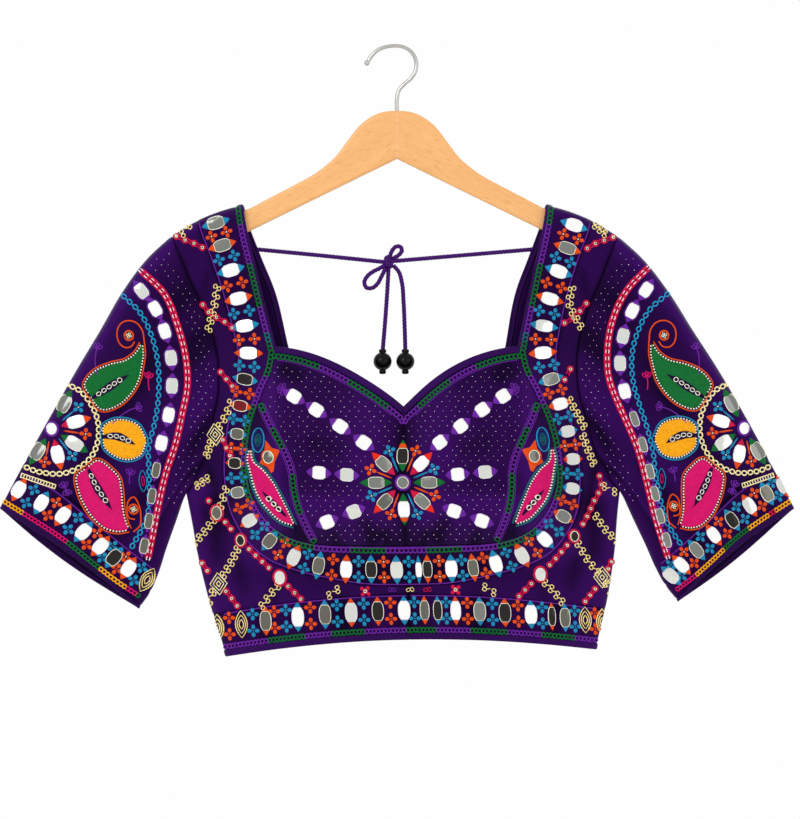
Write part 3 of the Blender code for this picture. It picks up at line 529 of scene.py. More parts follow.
    def neckline(self) -> tuple[np.ndarray, np.ndarray]:
        """The seam under the neckline's binding, and the neckline itself, from the centre out."""
        columns = self.cup_rows[2] * self.fine
        a = np.linspace(0, self.cup_line[0][0], columns + 1)
        binding = np.interp(ease(a / a[-1]), (0, 1), self.neckline_binding)
        seam = stacked(a, self.form.sweetheart(a) - binding)
        seam[-1] = self.cup_line[0]
        a = np.linspace(0, self.neck_line[-1][0], columns + 1)
        edge = stacked(a, self.form.sweetheart(a))
        edge[-1] = self.neck_line[-1]
        return seam, edge

    def band(self, share: float) -> np.ndarray:
        """A line that runs the whole mirror border, at a share of the way across it."""
        return (1 - share) * self.border_inner() + share * self.border_outer()


# ---------------------------------------------------------------- meshes


def grid_faces(rows: int, columns: int, closed: bool = False) -> np.ndarray:
    """Quads of a grid of points; closed joins the last column to the first, as on a tube."""
    index = np.arange(rows * columns).reshape(rows, columns)
    if closed:
        index = np.concatenate([index, index[:, :1]], axis=1)
    quads = stacked(index[:-1, :-1], index[:-1, 1:], index[1:, 1:], index[1:, :-1])
    return quads.reshape(-1, 4)


def new_mesh(
    name: str,
    points: np.ndarray,
    faces: np.ndarray,
    uv: np.ndarray | None = None,
    uv_faces: np.ndarray | None = None,
) -> bpy.types.Object:
    """An object from arrays, at the origin, with smooth shading.

    Args:
        name: The piece's name.
        points: Points x, y, z in millimetres.
        faces: Rows of three or four point numbers.
        uv: Places in the piece's own pattern, in metres.
        uv_faces: Rows of numbers of those places; without it they go point for point.

    Returns:
        The object, linked to the scene.
    """
    mesh = bpy.data.meshes.new(name)
    count, corners = faces.shape
    mesh.vertices.add(len(points))
    mesh.vertices.foreach_set("co", (points * MM).astype(np.float32).ravel())
    mesh.loops.add(count * corners)
    mesh.loops.foreach_set("vertex_index", faces.astype(np.int32).ravel())
    mesh.polygons.add(count)
    mesh.polygons.foreach_set("loop_start", np.arange(0, count * corners, corners, dtype=np.int32))
    mesh.update(calc_edges=True)
    if uv is not None:
        layer = mesh.uv_layers.new(name="pattern")
        numbers = faces if uv_faces is None else uv_faces
        layer.data.foreach_set("uv", uv[numbers.ravel()].astype(np.float32).ravel())
    mesh.validate()
    mesh.shade_smooth()
    thing = bpy.data.objects.new(name, mesh)
    bpy.context.scene.collection.objects.link(thing)
    return thing


def walled(thing: bpy.types.Object, thickness: float) -> None:
    """Gives a sheet a wall, half of it to each side."""
    wall = thing.modifiers.new("wall", "SOLIDIFY")
    wall.thickness = thickness * MM
    wall.offset = 0.0


def mended(thing: bpy.types.Object, open_ends: bool = False) -> bpy.types.Object:
    """Closes a mesh's open ends, or else merges its doubled points and drops faces without area;
    then turns all its faces outwards."""
    shape = bmesh.new()
    shape.from_mesh(thing.data)
    if open_ends:
        bmesh.ops.holes_fill(shape, edges=[edge for edge in shape.edges if edge.is_boundary], sides=0)
    else:
        bmesh.ops.remove_doubles(shape, verts=shape.verts, dist=0.02 * MM)
        bmesh.ops.dissolve_degenerate(shape, edges=shape.edges, dist=0.001 * MM)
    bmesh.ops.recalc_face_normals(shape, faces=shape.faces)
    shape.to_mesh(thing.data)
    shape.free()
    return thing


def finish_piece(
    thing: bpy.types.Object, finish: "Finish", replaced: tuple[str, ...] = ()
) -> bpy.types.Object:
    """Gives a piece its material and its body, and hides the solids that it stands for."""
    thing.data.materials.clear()
    thing.data.materials.append(finish.material())
    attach(thing, BODY)
    if replaced:
        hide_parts(*replaced)
    LOG.info("%s: %s", thing.name, finish.name)
    return thing


def grid_normals(grid: np.ndarray, closed: bool = False) -> np.ndarray:
    """Unit normals of a grid of points, from the cross product of its two directions."""
    if closed:
        wide = np.concatenate([grid[:, -1:], grid, grid[:, :1]], axis=1)
        across = np.gradient(wide, axis=1)[:, 1:-1]
    else:
        across = np.gradient(grid, axis=1)
    return unit(np.cross(across, np.gradient(grid, axis=0)))


def edge_distances(grid: np.ndarray) -> tuple[np.ndarray, ...]:
    """How far each point of a grid is from its first row, last row, first column and last column,
    measured along the grid."""
    down = np.linalg.norm(np.diff(grid, axis=0), axis=-1)
    over = np.linalg.norm(np.diff(grid, axis=1), axis=-1)
    rows = np.concatenate([np.zeros((1, grid.shape[1])), np.cumsum(down, axis=0)])
    columns = np.concatenate([np.zeros((grid.shape[0], 1)), np.cumsum(over, axis=1)], axis=1)
    return rows, rows[-1:] - rows, columns, columns[:, -1:] - columns


def inset(grid: np.ndarray, gaps: tuple[float, ...]) -> np.ndarray:
    """Moves the four border rows of a grid inwards by the gaps of its seams."""
    grid = grid.copy()
    for axis, (near, far) in ((0, gaps[:2]), (1, gaps[2:])):
        rows = np.moveaxis(grid, axis, 0)
        for edge, inner, gap in ((0, 1, near), (-1, -2, far)):
            step = rows[inner] - rows[edge]
            length = np.maximum(np.linalg.norm(step, axis=-1, keepdims=True), TINY)
            rows[edge] += step / length * np.minimum(gap, 0.8 * length)
    return grid


def pattern_of(grid: np.ndarray, closed: bool) -> tuple[np.ndarray, np.ndarray, np.ndarray]:
    """The quads of a grid of cloth, its threads' places and the quads of those places. The places are
    the runs across and down; a tube has one more column of them, so that the pattern closes.

    Args:
        grid: Rows and columns of points.
        closed: Whether the columns go all round a tube.

    Returns:
        Quads of point numbers, places in metres, and quads of place numbers.
    """
    rows, columns = grid.shape[:2]
    whole = np.concatenate([grid, grid[:, :1]], axis=1) if closed else grid
    down, _, over, _ = edge_distances(whole)
    uv = stacked(over, down).reshape(-1, 2) * MM
    return grid_faces(rows, columns, closed), uv, grid_faces(rows, whole.shape[1])


def grid_mesh(name: str, grid: np.ndarray, closed: bool = False) -> bpy.types.Object:
    """An object through a grid of points, with its own pattern."""
    quads, uv, uv_quads = pattern_of(grid, closed)
    return new_mesh(name, grid.reshape(-1, 3), quads, uv, uv_quads)


def hollows(grid: np.ndarray, normal: np.ndarray, closed: bool, passes: int = 26) -> np.ndarray:
    """How far each point lies under the cloth's smoothed form, in millimetres.

    The grid is averaged with its neighbours, one part each to two parts of the point itself, along
    and across, many times over; the step from a point to its average is measured along the outward
    normal. The piece's own median step, from its general bend, is taken away.
    """
    smooth = grid
    for _ in range(passes):
        for axis in (0, 1):
            wrap = closed and axis == 1
            widths = [(int(k == axis),) * 2 for k in range(3)]
            padded = np.pad(smooth, widths, mode="wrap" if wrap else "edge")
            before, after = (padded[:-2], padded[2:]) if axis == 0 else (padded[:, :-2], padded[:, 2:])
            smooth = (before + 2 * smooth + after) / 4
    # this step is the mask of the satin's painted shade: high in fold troughs, low on crests
    step = ((smooth - grid) * normal).sum(axis=-1)
    return step - np.median(step)


@dataclass(frozen=True)
class Panel:
    """How a cut piece of cloth is finished at its edges."""

    wall: float
    slot: str
    turned: float = 0.55  # how far the cloth dips where it is turned in at a seam
    turn_width: float = 2.2
    puffed: float = 0.0  # how far a folded binding stands out along its middle
    rounded: float = 0.0  # radius of its edges

    def build(
        self,
        node: str,
        grid: np.ndarray,
        finish: "Finish",
        outward: float,
        seams: tuple[bool, ...] = (True, True, True, True),
        closed: bool = False,
    ) -> bpy.types.Object:
        """A shell through a grid of points, dipped along its seams or puffed along its middle.

        Args:
            node: The solid that it stands for.
            grid: Rows and columns of points.
            finish: Its cloth.
            outward: The direction along Y of its outer face, or 0 for a tube.
            seams: Which of first row, last row, first column and last column are sewn.
            closed: Whether the columns go all round a tube.

        Returns:
            The piece.
        """
        normal = grid_normals(grid, closed)
        if closed:
            middle = grid.mean(axis=1, keepdims=True)
            facing = ((grid - middle) * normal).sum(axis=-1).mean()
        else:
            facing = normal[..., 1].mean() * outward
        normal = normal * np.sign(facing)
        distances = edge_distances(grid)
        dip = np.zeros(grid.shape[:2])
        for sewn, distance in zip(seams, distances):
            if sewn:
                dip = dip + self.turned * np.exp(-((distance / self.turn_width) ** 2))
        if self.puffed:
            across = distances[2] / np.maximum(distances[2] + distances[3], TINY)
            dip = dip - self.puffed * np.sqrt(np.clip(4 * across * (1 - across), 0, 1))
        quads, uv, uv_quads = pattern_of(grid, closed)
        if facing < 0:
            quads, uv_quads = quads[:, ::-1], uv_quads[:, ::-1]
        points = (grid - normal * dip[..., None]).reshape(-1, 3)
        thing = new_mesh(f"{node}_cloth", points, quads, uv, uv_quads)
        # painted shade mask: depth under the smoothed form plus the seam dips; the satin is painted darker
        # in troughs and along seams and lighter on crests and puffed bindings
        hollow = thing.data.attributes.new("hollow", "FLOAT", "POINT")
        hollow.data.foreach_set("value", (hollows(grid, normal, closed) + dip).astype(np.float32).ravel())
        walled(thing, self.wall)
        if self.rounded:
            bevel = thing.modifiers.new("rounded_edges", "BEVEL")
            bevel.width = self.rounded * MM
            bevel.segments = 2
            bevel.limit_method = "ANGLE"
            bevel.angle_limit = math.radians(60)
        return finish_piece(thing, finish, (node,))


def declare_cloth(
    thing: bpy.types.Object, grid: np.ndarray, closed: bool, extra: list[bpy.types.Object]
) -> None:
    """Works out the size that a panel was cut to: its longest runs across and down, and its area, which are
    kept nowhere.
    """
    looped = np.concatenate([grid, grid[:, :1]], axis=1) if closed else grid
    over = np.linalg.norm(np.diff(looped, axis=1), axis=-1)
    down = np.linalg.norm(np.diff(looped, axis=0), axis=-1)
    width, length = over.sum(axis=1).max() * MM, down.sum(axis=0).max() * MM
    sides = np.diff(looped, axis=1)[:-1], np.diff(looped, axis=0)[:, :-1]
    area = float(np.linalg.norm(np.cross(*sides), axis=-1).sum() * MM**2)
    area = min(max(area, 0.301 * width * length), width * length)


# ---------------------------------------------------------------- finishes


def linear(code: str, scale: float = 1.0) -> tuple[float, float, float, float]:
    """An sRGB hex colour as linear light, made darker or lighter by a scale, fully opaque."""
    values = [int(code[i : i + 2], 16) / 255 for i in (1, 3, 5)]
    light = [v / 12.92 if v <= 0.04045 else ((v + 0.055) / 1.055) ** 2.4 for v in values]
    return (*(min(1.0, v * scale) for v in light), 1.0)


def add(
    tree: bpy.types.NodeTree,
    kind: str,
    values: dict | None = None,
    links: dict | None = None,
    **settings: object,
) -> bpy.types.Node:
    """Adds a node.

    Args:
        tree: The material's node tree.
        kind: The node's type.
        values: Input values by socket name or number.
        links: The sockets that feed its inputs.
        settings: The node's own properties.

    Returns:
        The node.
    """
    node = tree.nodes.new(kind)
    for name, value in settings.items():
        setattr(node, name, value)
    for socket, value in (values or {}).items():
        node.inputs[socket].default_value = value
    for socket, source in (links or {}).items():
        tree.links.new(source, node.inputs[socket])
    return node


def pattern_place(tree: bpy.types.NodeTree) -> bpy.types.NodeSocket:
    """Each point's place on the piece's own pattern, in metres."""
    return add(tree, "ShaderNodeUVMap", uv_map="pattern").outputs["UV"]


def waves(
    tree: bpy.types.NodeTree, place: bpy.types.NodeSocket, pitch: float, axis: str, more: dict[str, float]
) -> bpy.types.NodeSocket:
    """Bands from 0 to 1 across an axis. A Wave Texture's phase is 20 times its scale times the
    distance, which gives the scale for a pitch in millimetres."""
    values = {"Scale": math.pi / (10 * pitch * MM), **more}
    return add(tree, "ShaderNodeTexWave", values, {"Vector": place}, bands_direction=axis).outputs["Fac"]


def streaks(
    tree: bpy.types.NodeTree, cell: tuple[float, float], detail: float, distortion: float = 0.0
) -> bpy.types.NodeSocket:
    """Random streaks from 0 to 1 on the pattern, of so many millimetres across and along it."""
    scale = (1 / (cell[0] * MM), 1 / (cell[1] * MM), 1.0)
    stretched = add(tree, "ShaderNodeMapping", {"Scale": scale}, {"Vector": pattern_place(tree)})
    values = {"Scale": 1.0, "Detail": detail, "Distortion": distortion}
    return add(tree, "ShaderNodeTexNoise", values, {"Vector": stretched.outputs[0]}).outputs["Fac"]


def times_plus(
    tree: bpy.types.NodeTree,
    value: bpy.types.NodeSocket,
    factor: float,
    more: bpy.types.NodeSocket | float = 0.0,
) -> bpy.types.NodeSocket:
    """A value times a factor, plus a number or another value."""
    values, links = {1: factor}, {0: value}
    (values if isinstance(more, float) else links)[2] = more
    return add(tree, "ShaderNodeMath", values, links, operation="MULTIPLY_ADD").outputs[0]


@dataclass(frozen=True)
class Finish:
    """What a surface is made of. `dress` adds the pattern that the eye sees."""

    name: str
    colour: str
    roughness: float = 0.5
    metallic: float = 0.0
    specular: float = 0.5
    tint: str = "#FFFFFF"
    sheen: float = 0.0
    coat: float = 0.0

    def material(self) -> bpy.types.Material:
        """The Blender material, made the first time that it is asked for."""
        found = bpy.data.materials.get(self.name)
        if found:
            return found
        made = bpy.data.materials.new(self.name)
        made.use_nodes = True
        made.node_tree.nodes.clear()
        values = {
            "Base Color": linear(self.colour),
            "Roughness": self.roughness,
            "Metallic": self.metallic,
            "Specular IOR Level": self.specular,
            "Specular Tint": linear(self.tint),
            "Sheen Weight": self.sheen,
            "Sheen Roughness": 0.4,
            "Sheen Tint": linear(self.tint),
            "Coat Weight": self.coat,
            "Coat Roughness": 0.06,
        }
        shader = add(made.node_tree, "ShaderNodeBsdfPrincipled", values)
        add(made.node_tree, "ShaderNodeOutputMaterial", links={"Surface": shader.outputs["BSDF"]})
        self.dress(made.node_tree, shader)
        return made

    def dress(self, tree: bpy.types.NodeTree, shader: bpy.types.Node) -> None:
        """Adds the finish's own pattern to the shader."""
        raise NotImplementedError

    def blotches(self, tree: bpy.types.NodeTree, size: float, detail: float = 3.0) -> bpy.types.NodeSocket:
        """Soft random patches of a size in millimetres, over the piece itself, from 0 to 1."""
        place = add(tree, "ShaderNodeTexCoord").outputs["Object"]
        values = {"Scale": 1 / (size * MM), "Detail": detail}
        return add(tree, "ShaderNodeTexNoise", values, {"Vector": place}).outputs["Fac"]

    def paint(self, shader: bpy.types.Node, share: bpy.types.NodeSocket, dark: float, light: float) -> None:
        """Colours the shader, by a share, between a darker and a lighter tone of the finish."""
        tones = {6: linear(self.colour, dark), 7: linear(self.colour, light)}
        mix = add(shader.id_data, "ShaderNodeMix", tones, {0: share}, data_type="RGBA")
        shader.id_data.links.new(mix.outputs[2], shader.inputs["Base Color"])

    def relief(
        self, shader: bpy.types.Node, height: bpy.types.NodeSocket, depth: float, strength: float
    ) -> None:
        """Bumps the surface by a height pattern, depth millimetres deep."""
        values = {"Distance": depth * MM, "Strength": strength}
        bump = add(shader.id_data, "ShaderNodeBump", values, {"Height": height})
        shader.id_data.links.new(bump.outputs["Normal"], shader.inputs["Normal"])


@dataclass(frozen=True)
class SatinCloth(Finish):
    """Silk-faced satin: long warp floats give a soft lengthwise lustre over a deep dye, with faint
    slubs across; painted highlight lightens the crests of folds and painted shade darkens their
    troughs and the seams. Floats 0.3 mm apart are too fine to show, so they are drawn 1.1 mm apart."""

    float_pitch: float = 1.1
    slub: tuple[float, float] = (14.0, 2.4)
    patch: float = 38.0
    fold_tone: float = 0.6  # painted shade in a fold's trough and painted highlight on its crest, for each millimetre

    def dress(self, tree: bpy.types.NodeTree, shader: bpy.types.Node) -> None:
        """Mottled dye, painted shade in fold troughs and along seams, painted highlight on crests, floats
        along the cloth's length and a lustre that varies.
        """
        wander = {"Distortion": 1.6, "Detail": 2.0, "Detail Scale": 2.0}
        floats = waves(tree, pattern_place(tree), self.float_pitch, "X", wander)
        slubs = streaks(tree, self.slub, 2.0)
        both = times_plus(tree, self.blotches(tree, self.patch, 4.0), 0.65, times_plus(tree, slubs, 0.35))
        # painted shade and highlight: depth under the smoothed form darkens the dye in troughs and along
        # seams and lightens it on crests
        hollow = add(tree, "ShaderNodeAttribute", attribute_name="hollow").outputs["Fac"]
        shade = times_plus(tree, both, 0.55, times_plus(tree, hollow, -self.fold_tone, 0.2))
        self.paint(shader, shade, 0.3, 1.9)
        limits = {"From Min": 0.3, "From Max": 0.7}
        limits |= {"To Min": self.roughness - 0.07, "To Max": self.roughness + 0.09}
        gloss = add(tree, "ShaderNodeMapRange", limits, {"Value": both})
        tree.links.new(gloss.outputs[0], shader.inputs["Roughness"])
        self.relief(shader, times_plus(tree, floats, 0.5, slubs), 0.12, 0.55)


@dataclass(frozen=True)
class Floss(Finish):
    """Stranded silk floss: parallel threads with a lustre that runs along each stitch, with painted
    highlight on each thread's crown and painted shade in the grooves between them. Threads 0.4 mm apart are
    drawn 0.9 mm apart to show."""

    specular: float = 0.25
    thread: float = 0.9
    slope: str = "X"

    def dress(self, tree: bpy.types.NodeTree, shader: bpy.types.Node) -> None:
        """Threads side by side, standing a little apart, with painted highlight on their crowns and painted
        shade between them, over random tone.
        """
        wander = {"Distortion": 0.9, "Detail": 1.0}
        threads = waves(tree, pattern_place(tree), self.thread, self.slope, wander)
        # painted highlight and shade: the bands that raise the threads also colour their crowns lighter and
        # grooves darker
        self.paint(shader, times_plus(tree, threads, 0.6, self.blotches(tree, 2.4)), 0.36, 1.2)
        self.relief(shader, threads, 0.25, 0.8)


@dataclass(frozen=True)
class MirrorGlass(Finish):
    """Silvered glass, hand cut: a bright reflection, with the tone of what each mirror reflects painted into
    its colour, faintly wavy, with a few worn specks.
    """

    metallic: float = 0.9

    def dress(self, tree: bpy.types.NodeTree, shader: bpy.types.Node) -> None:
        """Slow waves in the glass and a little wear in the silvering."""
        self.paint(shader, self.blotches(tree, 2.6, 4.0), 0.93, 1.04)
        self.relief(shader, self.blotches(tree, 6.0, 1.0), 0.5, 0.35)


@dataclass(frozen=True)
class TwistedCord(Finish):
    """Three-ply rayon cord: the plies are modelled, and fine filaments run along each, with painted
    highlight on their crowns and painted shade in the grooves between them.
    """

    filament: float = 0.7

    def dress(self, tree: bpy.types.NodeTree, shader: bpy.types.Node) -> None:
        """Filaments along the plies: painted highlight on their crowns and painted shade between them."""
        filaments = waves(tree, pattern_place(tree), self.filament, "DIAGONAL", {"Distortion": 1.0})
        self.paint(shader, filaments, 0.6, 1.25)
        self.relief(shader, filaments, 0.15, 0.7)


@dataclass(frozen=True)
class LacqueredBead(Finish):
    """Turned wood under black lacquer: a deep gloss over faint turning rings."""

    ring: float = 0.5

    def dress(self, tree: bpy.types.NodeTree, shader: bpy.types.Node) -> None:
        """Turning rings half a millimetre apart, and a lacquer that is not quite even."""
        place = add(tree, "ShaderNodeTexCoord").outputs["Object"]
        rings = waves(tree, place, self.ring, "Z", {"Distortion": 0.4})
        self.paint(shader, self.blotches(tree, 5.0), 0.6, 1.6)
        self.relief(shader, rings, 0.03, 0.4)


@dataclass(frozen=True)
class Beech(Finish):
    """Planed beech under clear satin lacquer: long pale figure with short darker flecks."""

    figure: tuple[float, float] = (90.0, 7.0)
    fleck: tuple[float, float] = (9.0, 0.9)
    shadow: str = "#B07A42"
    light: str = "#E9B06E"

    def dress(self, tree: bpy.types.NodeTree, shader: bpy.types.Node) -> None:
        """Figure along each half of the hanger, read from the piece's own run along the grain."""
        figure = streaks(tree, self.figure, 4.0, 0.5)
        flecks = streaks(tree, self.fleck, 1.0)
        woods = {6: linear(self.colour), 7: linear(self.light)}
        body = add(tree, "ShaderNodeMix", woods, {0: figure}, data_type="RGBA")
        limits = {"From Min": 0.56, "From Max": 0.72, "To Min": 0.0, "To Max": 0.55}
        picked = add(tree, "ShaderNodeMapRange", limits, {"Value": flecks})
        under = {0: picked.outputs[0], 6: body.outputs[2]}
        marked = add(tree, "ShaderNodeMix", {7: linear(self.shadow)}, under, data_type="RGBA")
        tree.links.new(marked.outputs[2], shader.inputs["Base Color"])
        self.relief(shader, flecks, 0.05, 0.3)


@dataclass(frozen=True)
class PlatedSteel(Finish):
    """Nickel-plated steel wire: bright, with the fine drawn lines of the wire under the plate."""

    line: tuple[float, float] = (0.4, 18.0)

    def dress(self, tree: bpy.types.NodeTree, shader: bpy.types.Node) -> None:
        """Drawn lines along the wire, and a plate that varies a little in gloss."""
        lines = streaks(tree, self.line, 2.0)
        self.paint(shader, self.blotches(tree, 6.0), 0.85, 1.1)
        self.relief(shader, lines, 0.02, 0.4)


@dataclass(frozen=True)
class StudioPaper(Finish):
    """Matt white background paper, with a very faint tooth."""

    def dress(self, tree: bpy.types.NodeTree, shader: bpy.types.Node) -> None:
        """The paper's tooth."""
        tooth = self.blotches(tree, 1.5)
        self.paint(shader, tooth, 0.97, 1.0)
        self.relief(shader, tooth, 0.1, 0.2)


class Finishes:
    """Every finish on the blouse and its hanger, by a maker's name for it."""

    satin = SatinCloth("purple_satin", "#21043A", 0.44, specular=0.2, tint="#8A58C8", sheen=0.02)
    border = SatinCloth("border_satin", "#1D0332", 0.46, specular=0.18, tint="#8A58C8", sheen=0.02)
    binding = SatinCloth("binding_satin", "#1F0438", 0.46, specular=0.2, tint="#A678DC", sheen=0.04)
    cord = TwistedCord("rayon_cord", "#3A0C5E", 0.45, specular=0.28, tint="#C090EC", sheen=0.04)
    bead = LacqueredBead("black_lacquer", "#080807", 0.1, specular=0.12)
    beech = Beech("lacquered_beech", "#DA9B5A", 0.36, coat=0.12)
    steel = PlatedSteel("plated_steel", "#B9B7B4", 0.24, 1.0)
    paper = StudioPaper("studio_paper", "#F4F3F1", 0.9)
    pink = Floss("floss_pink", "#C80560", tint="#FFB0D8")
    green = Floss("floss_green", "#045F26", tint="#A8F0C0")
    yellow = Floss("floss_yellow", "#E99C0C", tint="#FFE9A8")
    orange = Floss("floss_orange", "#D6460F", tint="#FFC8A0")
    blue = Floss("floss_blue", "#1580AC", tint="#B8E8FF")
    teal = Floss("floss_teal", "#0C6268", tint="#A8E8E8")
    navy = Floss("floss_navy", "#14246B", tint="#A8C8FF")
    violet = Floss("floss_violet", "#621E92", tint="#D8B0FF")
    crimson = Floss("floss_crimson", "#C10E3E", tint="#FFB0C0")
    sky = Floss("floss_sky", "#1A93C4", tint="#B8E8FF")
    red = Floss("floss_red", "#DC2418", tint="#FFB0A0")
    plum = Floss("floss_plum", "#1D0B33", 0.6, specular=0.15, tint="#9A6BD0")
    cream = Floss("floss_cream", "#F6EFD2", specular=0.3)
    white = Floss("floss_white", "#E9E4F0", specular=0.3)
    zari = Floss("zari_gold", "#E9D48A", 0.36, 0.25, 0.5, "#FFF0B8", thread=1.3, slope="DIAGONAL")
    pale_gold = Floss("zari_pale", "#EFE0A4", 0.4, 0.2, 0.5, "#FFF6D0", thread=1.3, slope="DIAGONAL")
    # the mirrors' colours are painted reflections: each tone, bright to dark, stands in for what that glass
    # reflects, and the red one for crimson cloth reflected in it
    bright_glass = MirrorGlass("mirror_bright", "#FCFCFA", 0.12)
    pale_glass = MirrorGlass("mirror_pale", "#D6D9D2", 0.14)
    grey_glass = MirrorGlass("mirror_grey", "#7E807C", 0.16)
    dull_glass = MirrorGlass("mirror_dull", "#67675F", 0.15)
    dark_glass = MirrorGlass("mirror_dark", "#2B2A29", 0.14)
    ruby_glass = MirrorGlass("mirror_ruby", "#7A2226", 0.14)


# ---------------------------------------------------------------- the cloth of the body


def coons(left: np.ndarray, right: np.ndarray, bottom: np.ndarray, top: np.ndarray) -> np.ndarray:
    """Grid inside four boundary lines: the blend of left with right, plus the blend of bottom with
    top, less the blend of the four corners.

    Args:
        left: From bottom to top.
        right: From bottom to top.
        bottom: From left to right.
        top: From left to right.

    Returns:
        Rows from bottom to top.
    """
    v = np.linspace(0, 1, len(left))[:, None, None]
    u = np.linspace(0, 1, len(bottom))[None, :, None]
    both = (1 - u) * left[:, None] + u * right[:, None] + (1 - v) * bottom[None] + v * top[None]
    corners = (1 - v) * ((1 - u) * left[0] + u * right[0]) + v * ((1 - u) * left[-1] + u * right[-1])
    return both - corners


@dataclass(frozen=True)
class BodyCloth:
    """The cut pieces of the body, sewn edge to edge."""

    form: Form
    cut: Cut
    seam_gap: float = 0.04  # each piece's own share of the gap to its neighbour
    shoulder_gap: float = 0.34
    side_gap: float = 0.3
    hem_side_gap: float = -0.35
    pointed_end: float = 0.1  # share of its first and last coarse step that the side cup leaves off
    back_bottom: tuple[int, ...] = (0, 2, 4, 6, 8, 10, 11, 12)
    binding_cells: int = 6
    border_cells: int = 14
    side_cup_cells: int = 12
    side_front_cells: int = 25
    back_cells: int = 28
    edge_first: tuple[bool, ...] = (True, True, False, True)  # sewn edges where the first column is free
    cloth: Panel = Panel(1.6, "purple_cloth")
    border: Panel = Panel(1.6, "border_cloth", 0.45, 1.6)
    binding: Panel = Panel(2.4, "binding", 0.3, 1.0, 0.5, 0.5)

    def ruled(self, left: np.ndarray, right: np.ndarray, columns: int) -> np.ndarray:
        """Grid between two lines with the same number of points, in the blending coordinates."""
        u = np.linspace(0, 1, columns + 1)[None, :, None]
        return (1 - u) * self.form.flat(left)[:, None] + u * self.form.flat(right)[:, None]

    def place(self, grid: np.ndarray, side: int, face: Face, gaps: tuple[float, ...]) -> np.ndarray:
        """Lays a grid on the form and moves its edges in by the gaps."""
        return inset(self.form.point(grid[..., 0], grid[..., 1], side, face), gaps)

    def make(self) -> dict[str, bpy.types.Object]:
        """Every piece of the body, by its solid's name."""
        made: dict[str, bpy.types.Object] = {}
        for side, label in SIDES:
            self.cups(side, label, made)
            self.mirror_border(side, label, made)
            self.side_front(side, label, made)
            self.back(side, label, made)
            for face in Face:
                self.hem(side, label, face, made)
        return made

    def sew(
        self,
        made: dict[str, bpy.types.Object],
        node: str,
        panel: Panel,
        grid: np.ndarray,
        face: Face,
        seams: tuple[bool, ...] = (True, True, True, True),
    ) -> bpy.types.Object:
        """Makes a piece in its panel's cloth and keeps it by its solid's name.

        Args:
            made: The pieces so far, by name.
            node: The solid that it stands for.
            panel: How its edges are finished.
            grid: Rows and columns of points.
            face: The front or the back.
            seams: Which of first row, last row, first column and last column are sewn.

        Returns:
            The piece.
        """
        finish = {"purple_cloth": Finishes.satin, "border_cloth": Finishes.border}.get(panel.slot)
        made[node] = panel.build(node, grid, finish or Finishes.binding, face.value, seams)
        return made[node]

    def cups(self, side: int, label: str, made: dict[str, bpy.types.Object]) -> None:
        """Centre cup and side cup, either side of the princess seam, and the neckline's binding."""
        half, front = self.seam_gap, Face.FRONT
        fine, rows = self.cut.fine, self.cut.cup_rows
        columns = rows[2] * fine
        seam, edge = self.cut.neckline()
        cup = self.cut.cup_seam()
        princess = along(self.cut.princess_line, np.linspace(0, 1, rows[1] * fine + 1))
        outer = np.vstack([cup[: rows[0] * fine], princess])[::-1]
        foot = cup[-1 : -columns - 2 : -1]
        w = np.linspace(foot[0, 1], seam[0, 1], len(outer))
        centre = stacked(np.zeros(len(outer)), w)
        flat = self.form.flat
        grid = coons(flat(centre), flat(outer), flat(foot), flat(seam))
        grid = self.place(grid, side, front, (half,) * 4)[:, ::2]
        folded = self.place(self.ruled(seam, edge, self.binding_cells), side, front, (half, half, half, 0.0))
        sewn = (True, True, True, False)
        binding = self.sew(made, f"neckline_binding_{label}", self.binding, folded, front, sewn)
        piece = self.sew(made, f"cup_centre_{label}", self.cloth, grid, front)
        declare_cloth(piece, grid, False, [binding])
        edge = cup[rows[0] * fine : (rows[0] + rows[1]) * fine + 1]
        pair = [self.pointed(line) for line in (princess, edge)]
        grid = self.place(self.ruled(*pair, self.side_cup_cells), side, front, (half,) * 4)
        declare_cloth(self.sew(made, f"cup_side_{label}", self.cloth, grid, front), grid, False, [])

    def pointed(self, line: np.ndarray) -> np.ndarray:
        """A line read again with its two ends cut short, for a piece with pointed ends."""
        short = self.pointed_end * self.cut.fine / (len(line) - 1)
        return along(line, np.linspace(short, 1 - short, len(line)))

    def mirror_border(self, side: int, label: str, made: dict[str, bpy.types.Object]) -> None:
        """The border that runs down the strap, round the cup and under the bust, and the strap's
        binding."""
        half, front = self.seam_gap, Face.FRONT
        grid = self.ruled(self.cut.strap_edge(), self.cut.strap_seam(), self.binding_cells)
        grid = self.place(grid, side, front, (self.shoulder_gap, half, 0.0, half))
        binding = self.sew(made, f"strap_binding_{label}", self.binding, grid, front, self.edge_first)
        grid = self.ruled(self.cut.border_inner(), self.cut.border_outer(), self.border_cells)
        grid = self.place(grid, side, front, (self.shoulder_gap, half, half, half))
        piece = self.sew(made, f"front_border_{label}", self.border, grid, front)
        declare_cloth(piece, grid, False, [binding])

    def side_front(self, side: int, label: str, made: dict[str, bpy.types.Object]) -> None:
        """Between the mirror border, the armhole, the side seam and the hem border: its rows fan
        from the border's outer edge to the other three in turn."""
        half = self.seam_gap
        bottom = self.cut.bottom(self.form.band_top)[::-1]
        seam = self.cut.side_seam(self.cut.side_rows)[1:-1]
        outer = np.vstack([self.cut.armhole(), seam, bottom])
        inner = self.cut.border_outer()
        outer = along(outer, np.linspace(0, 1, len(outer))) if len(outer) != len(inner) else outer
        gaps = (self.shoulder_gap, half, half, self.side_gap)
        grid = self.place(self.ruled(inner, outer, self.side_front_cells), side, Face.FRONT, gaps)
        piece = self.sew(made, f"side_front_{label}", self.cloth, grid, Face.FRONT)
        declare_cloth(piece, grid, False, [])

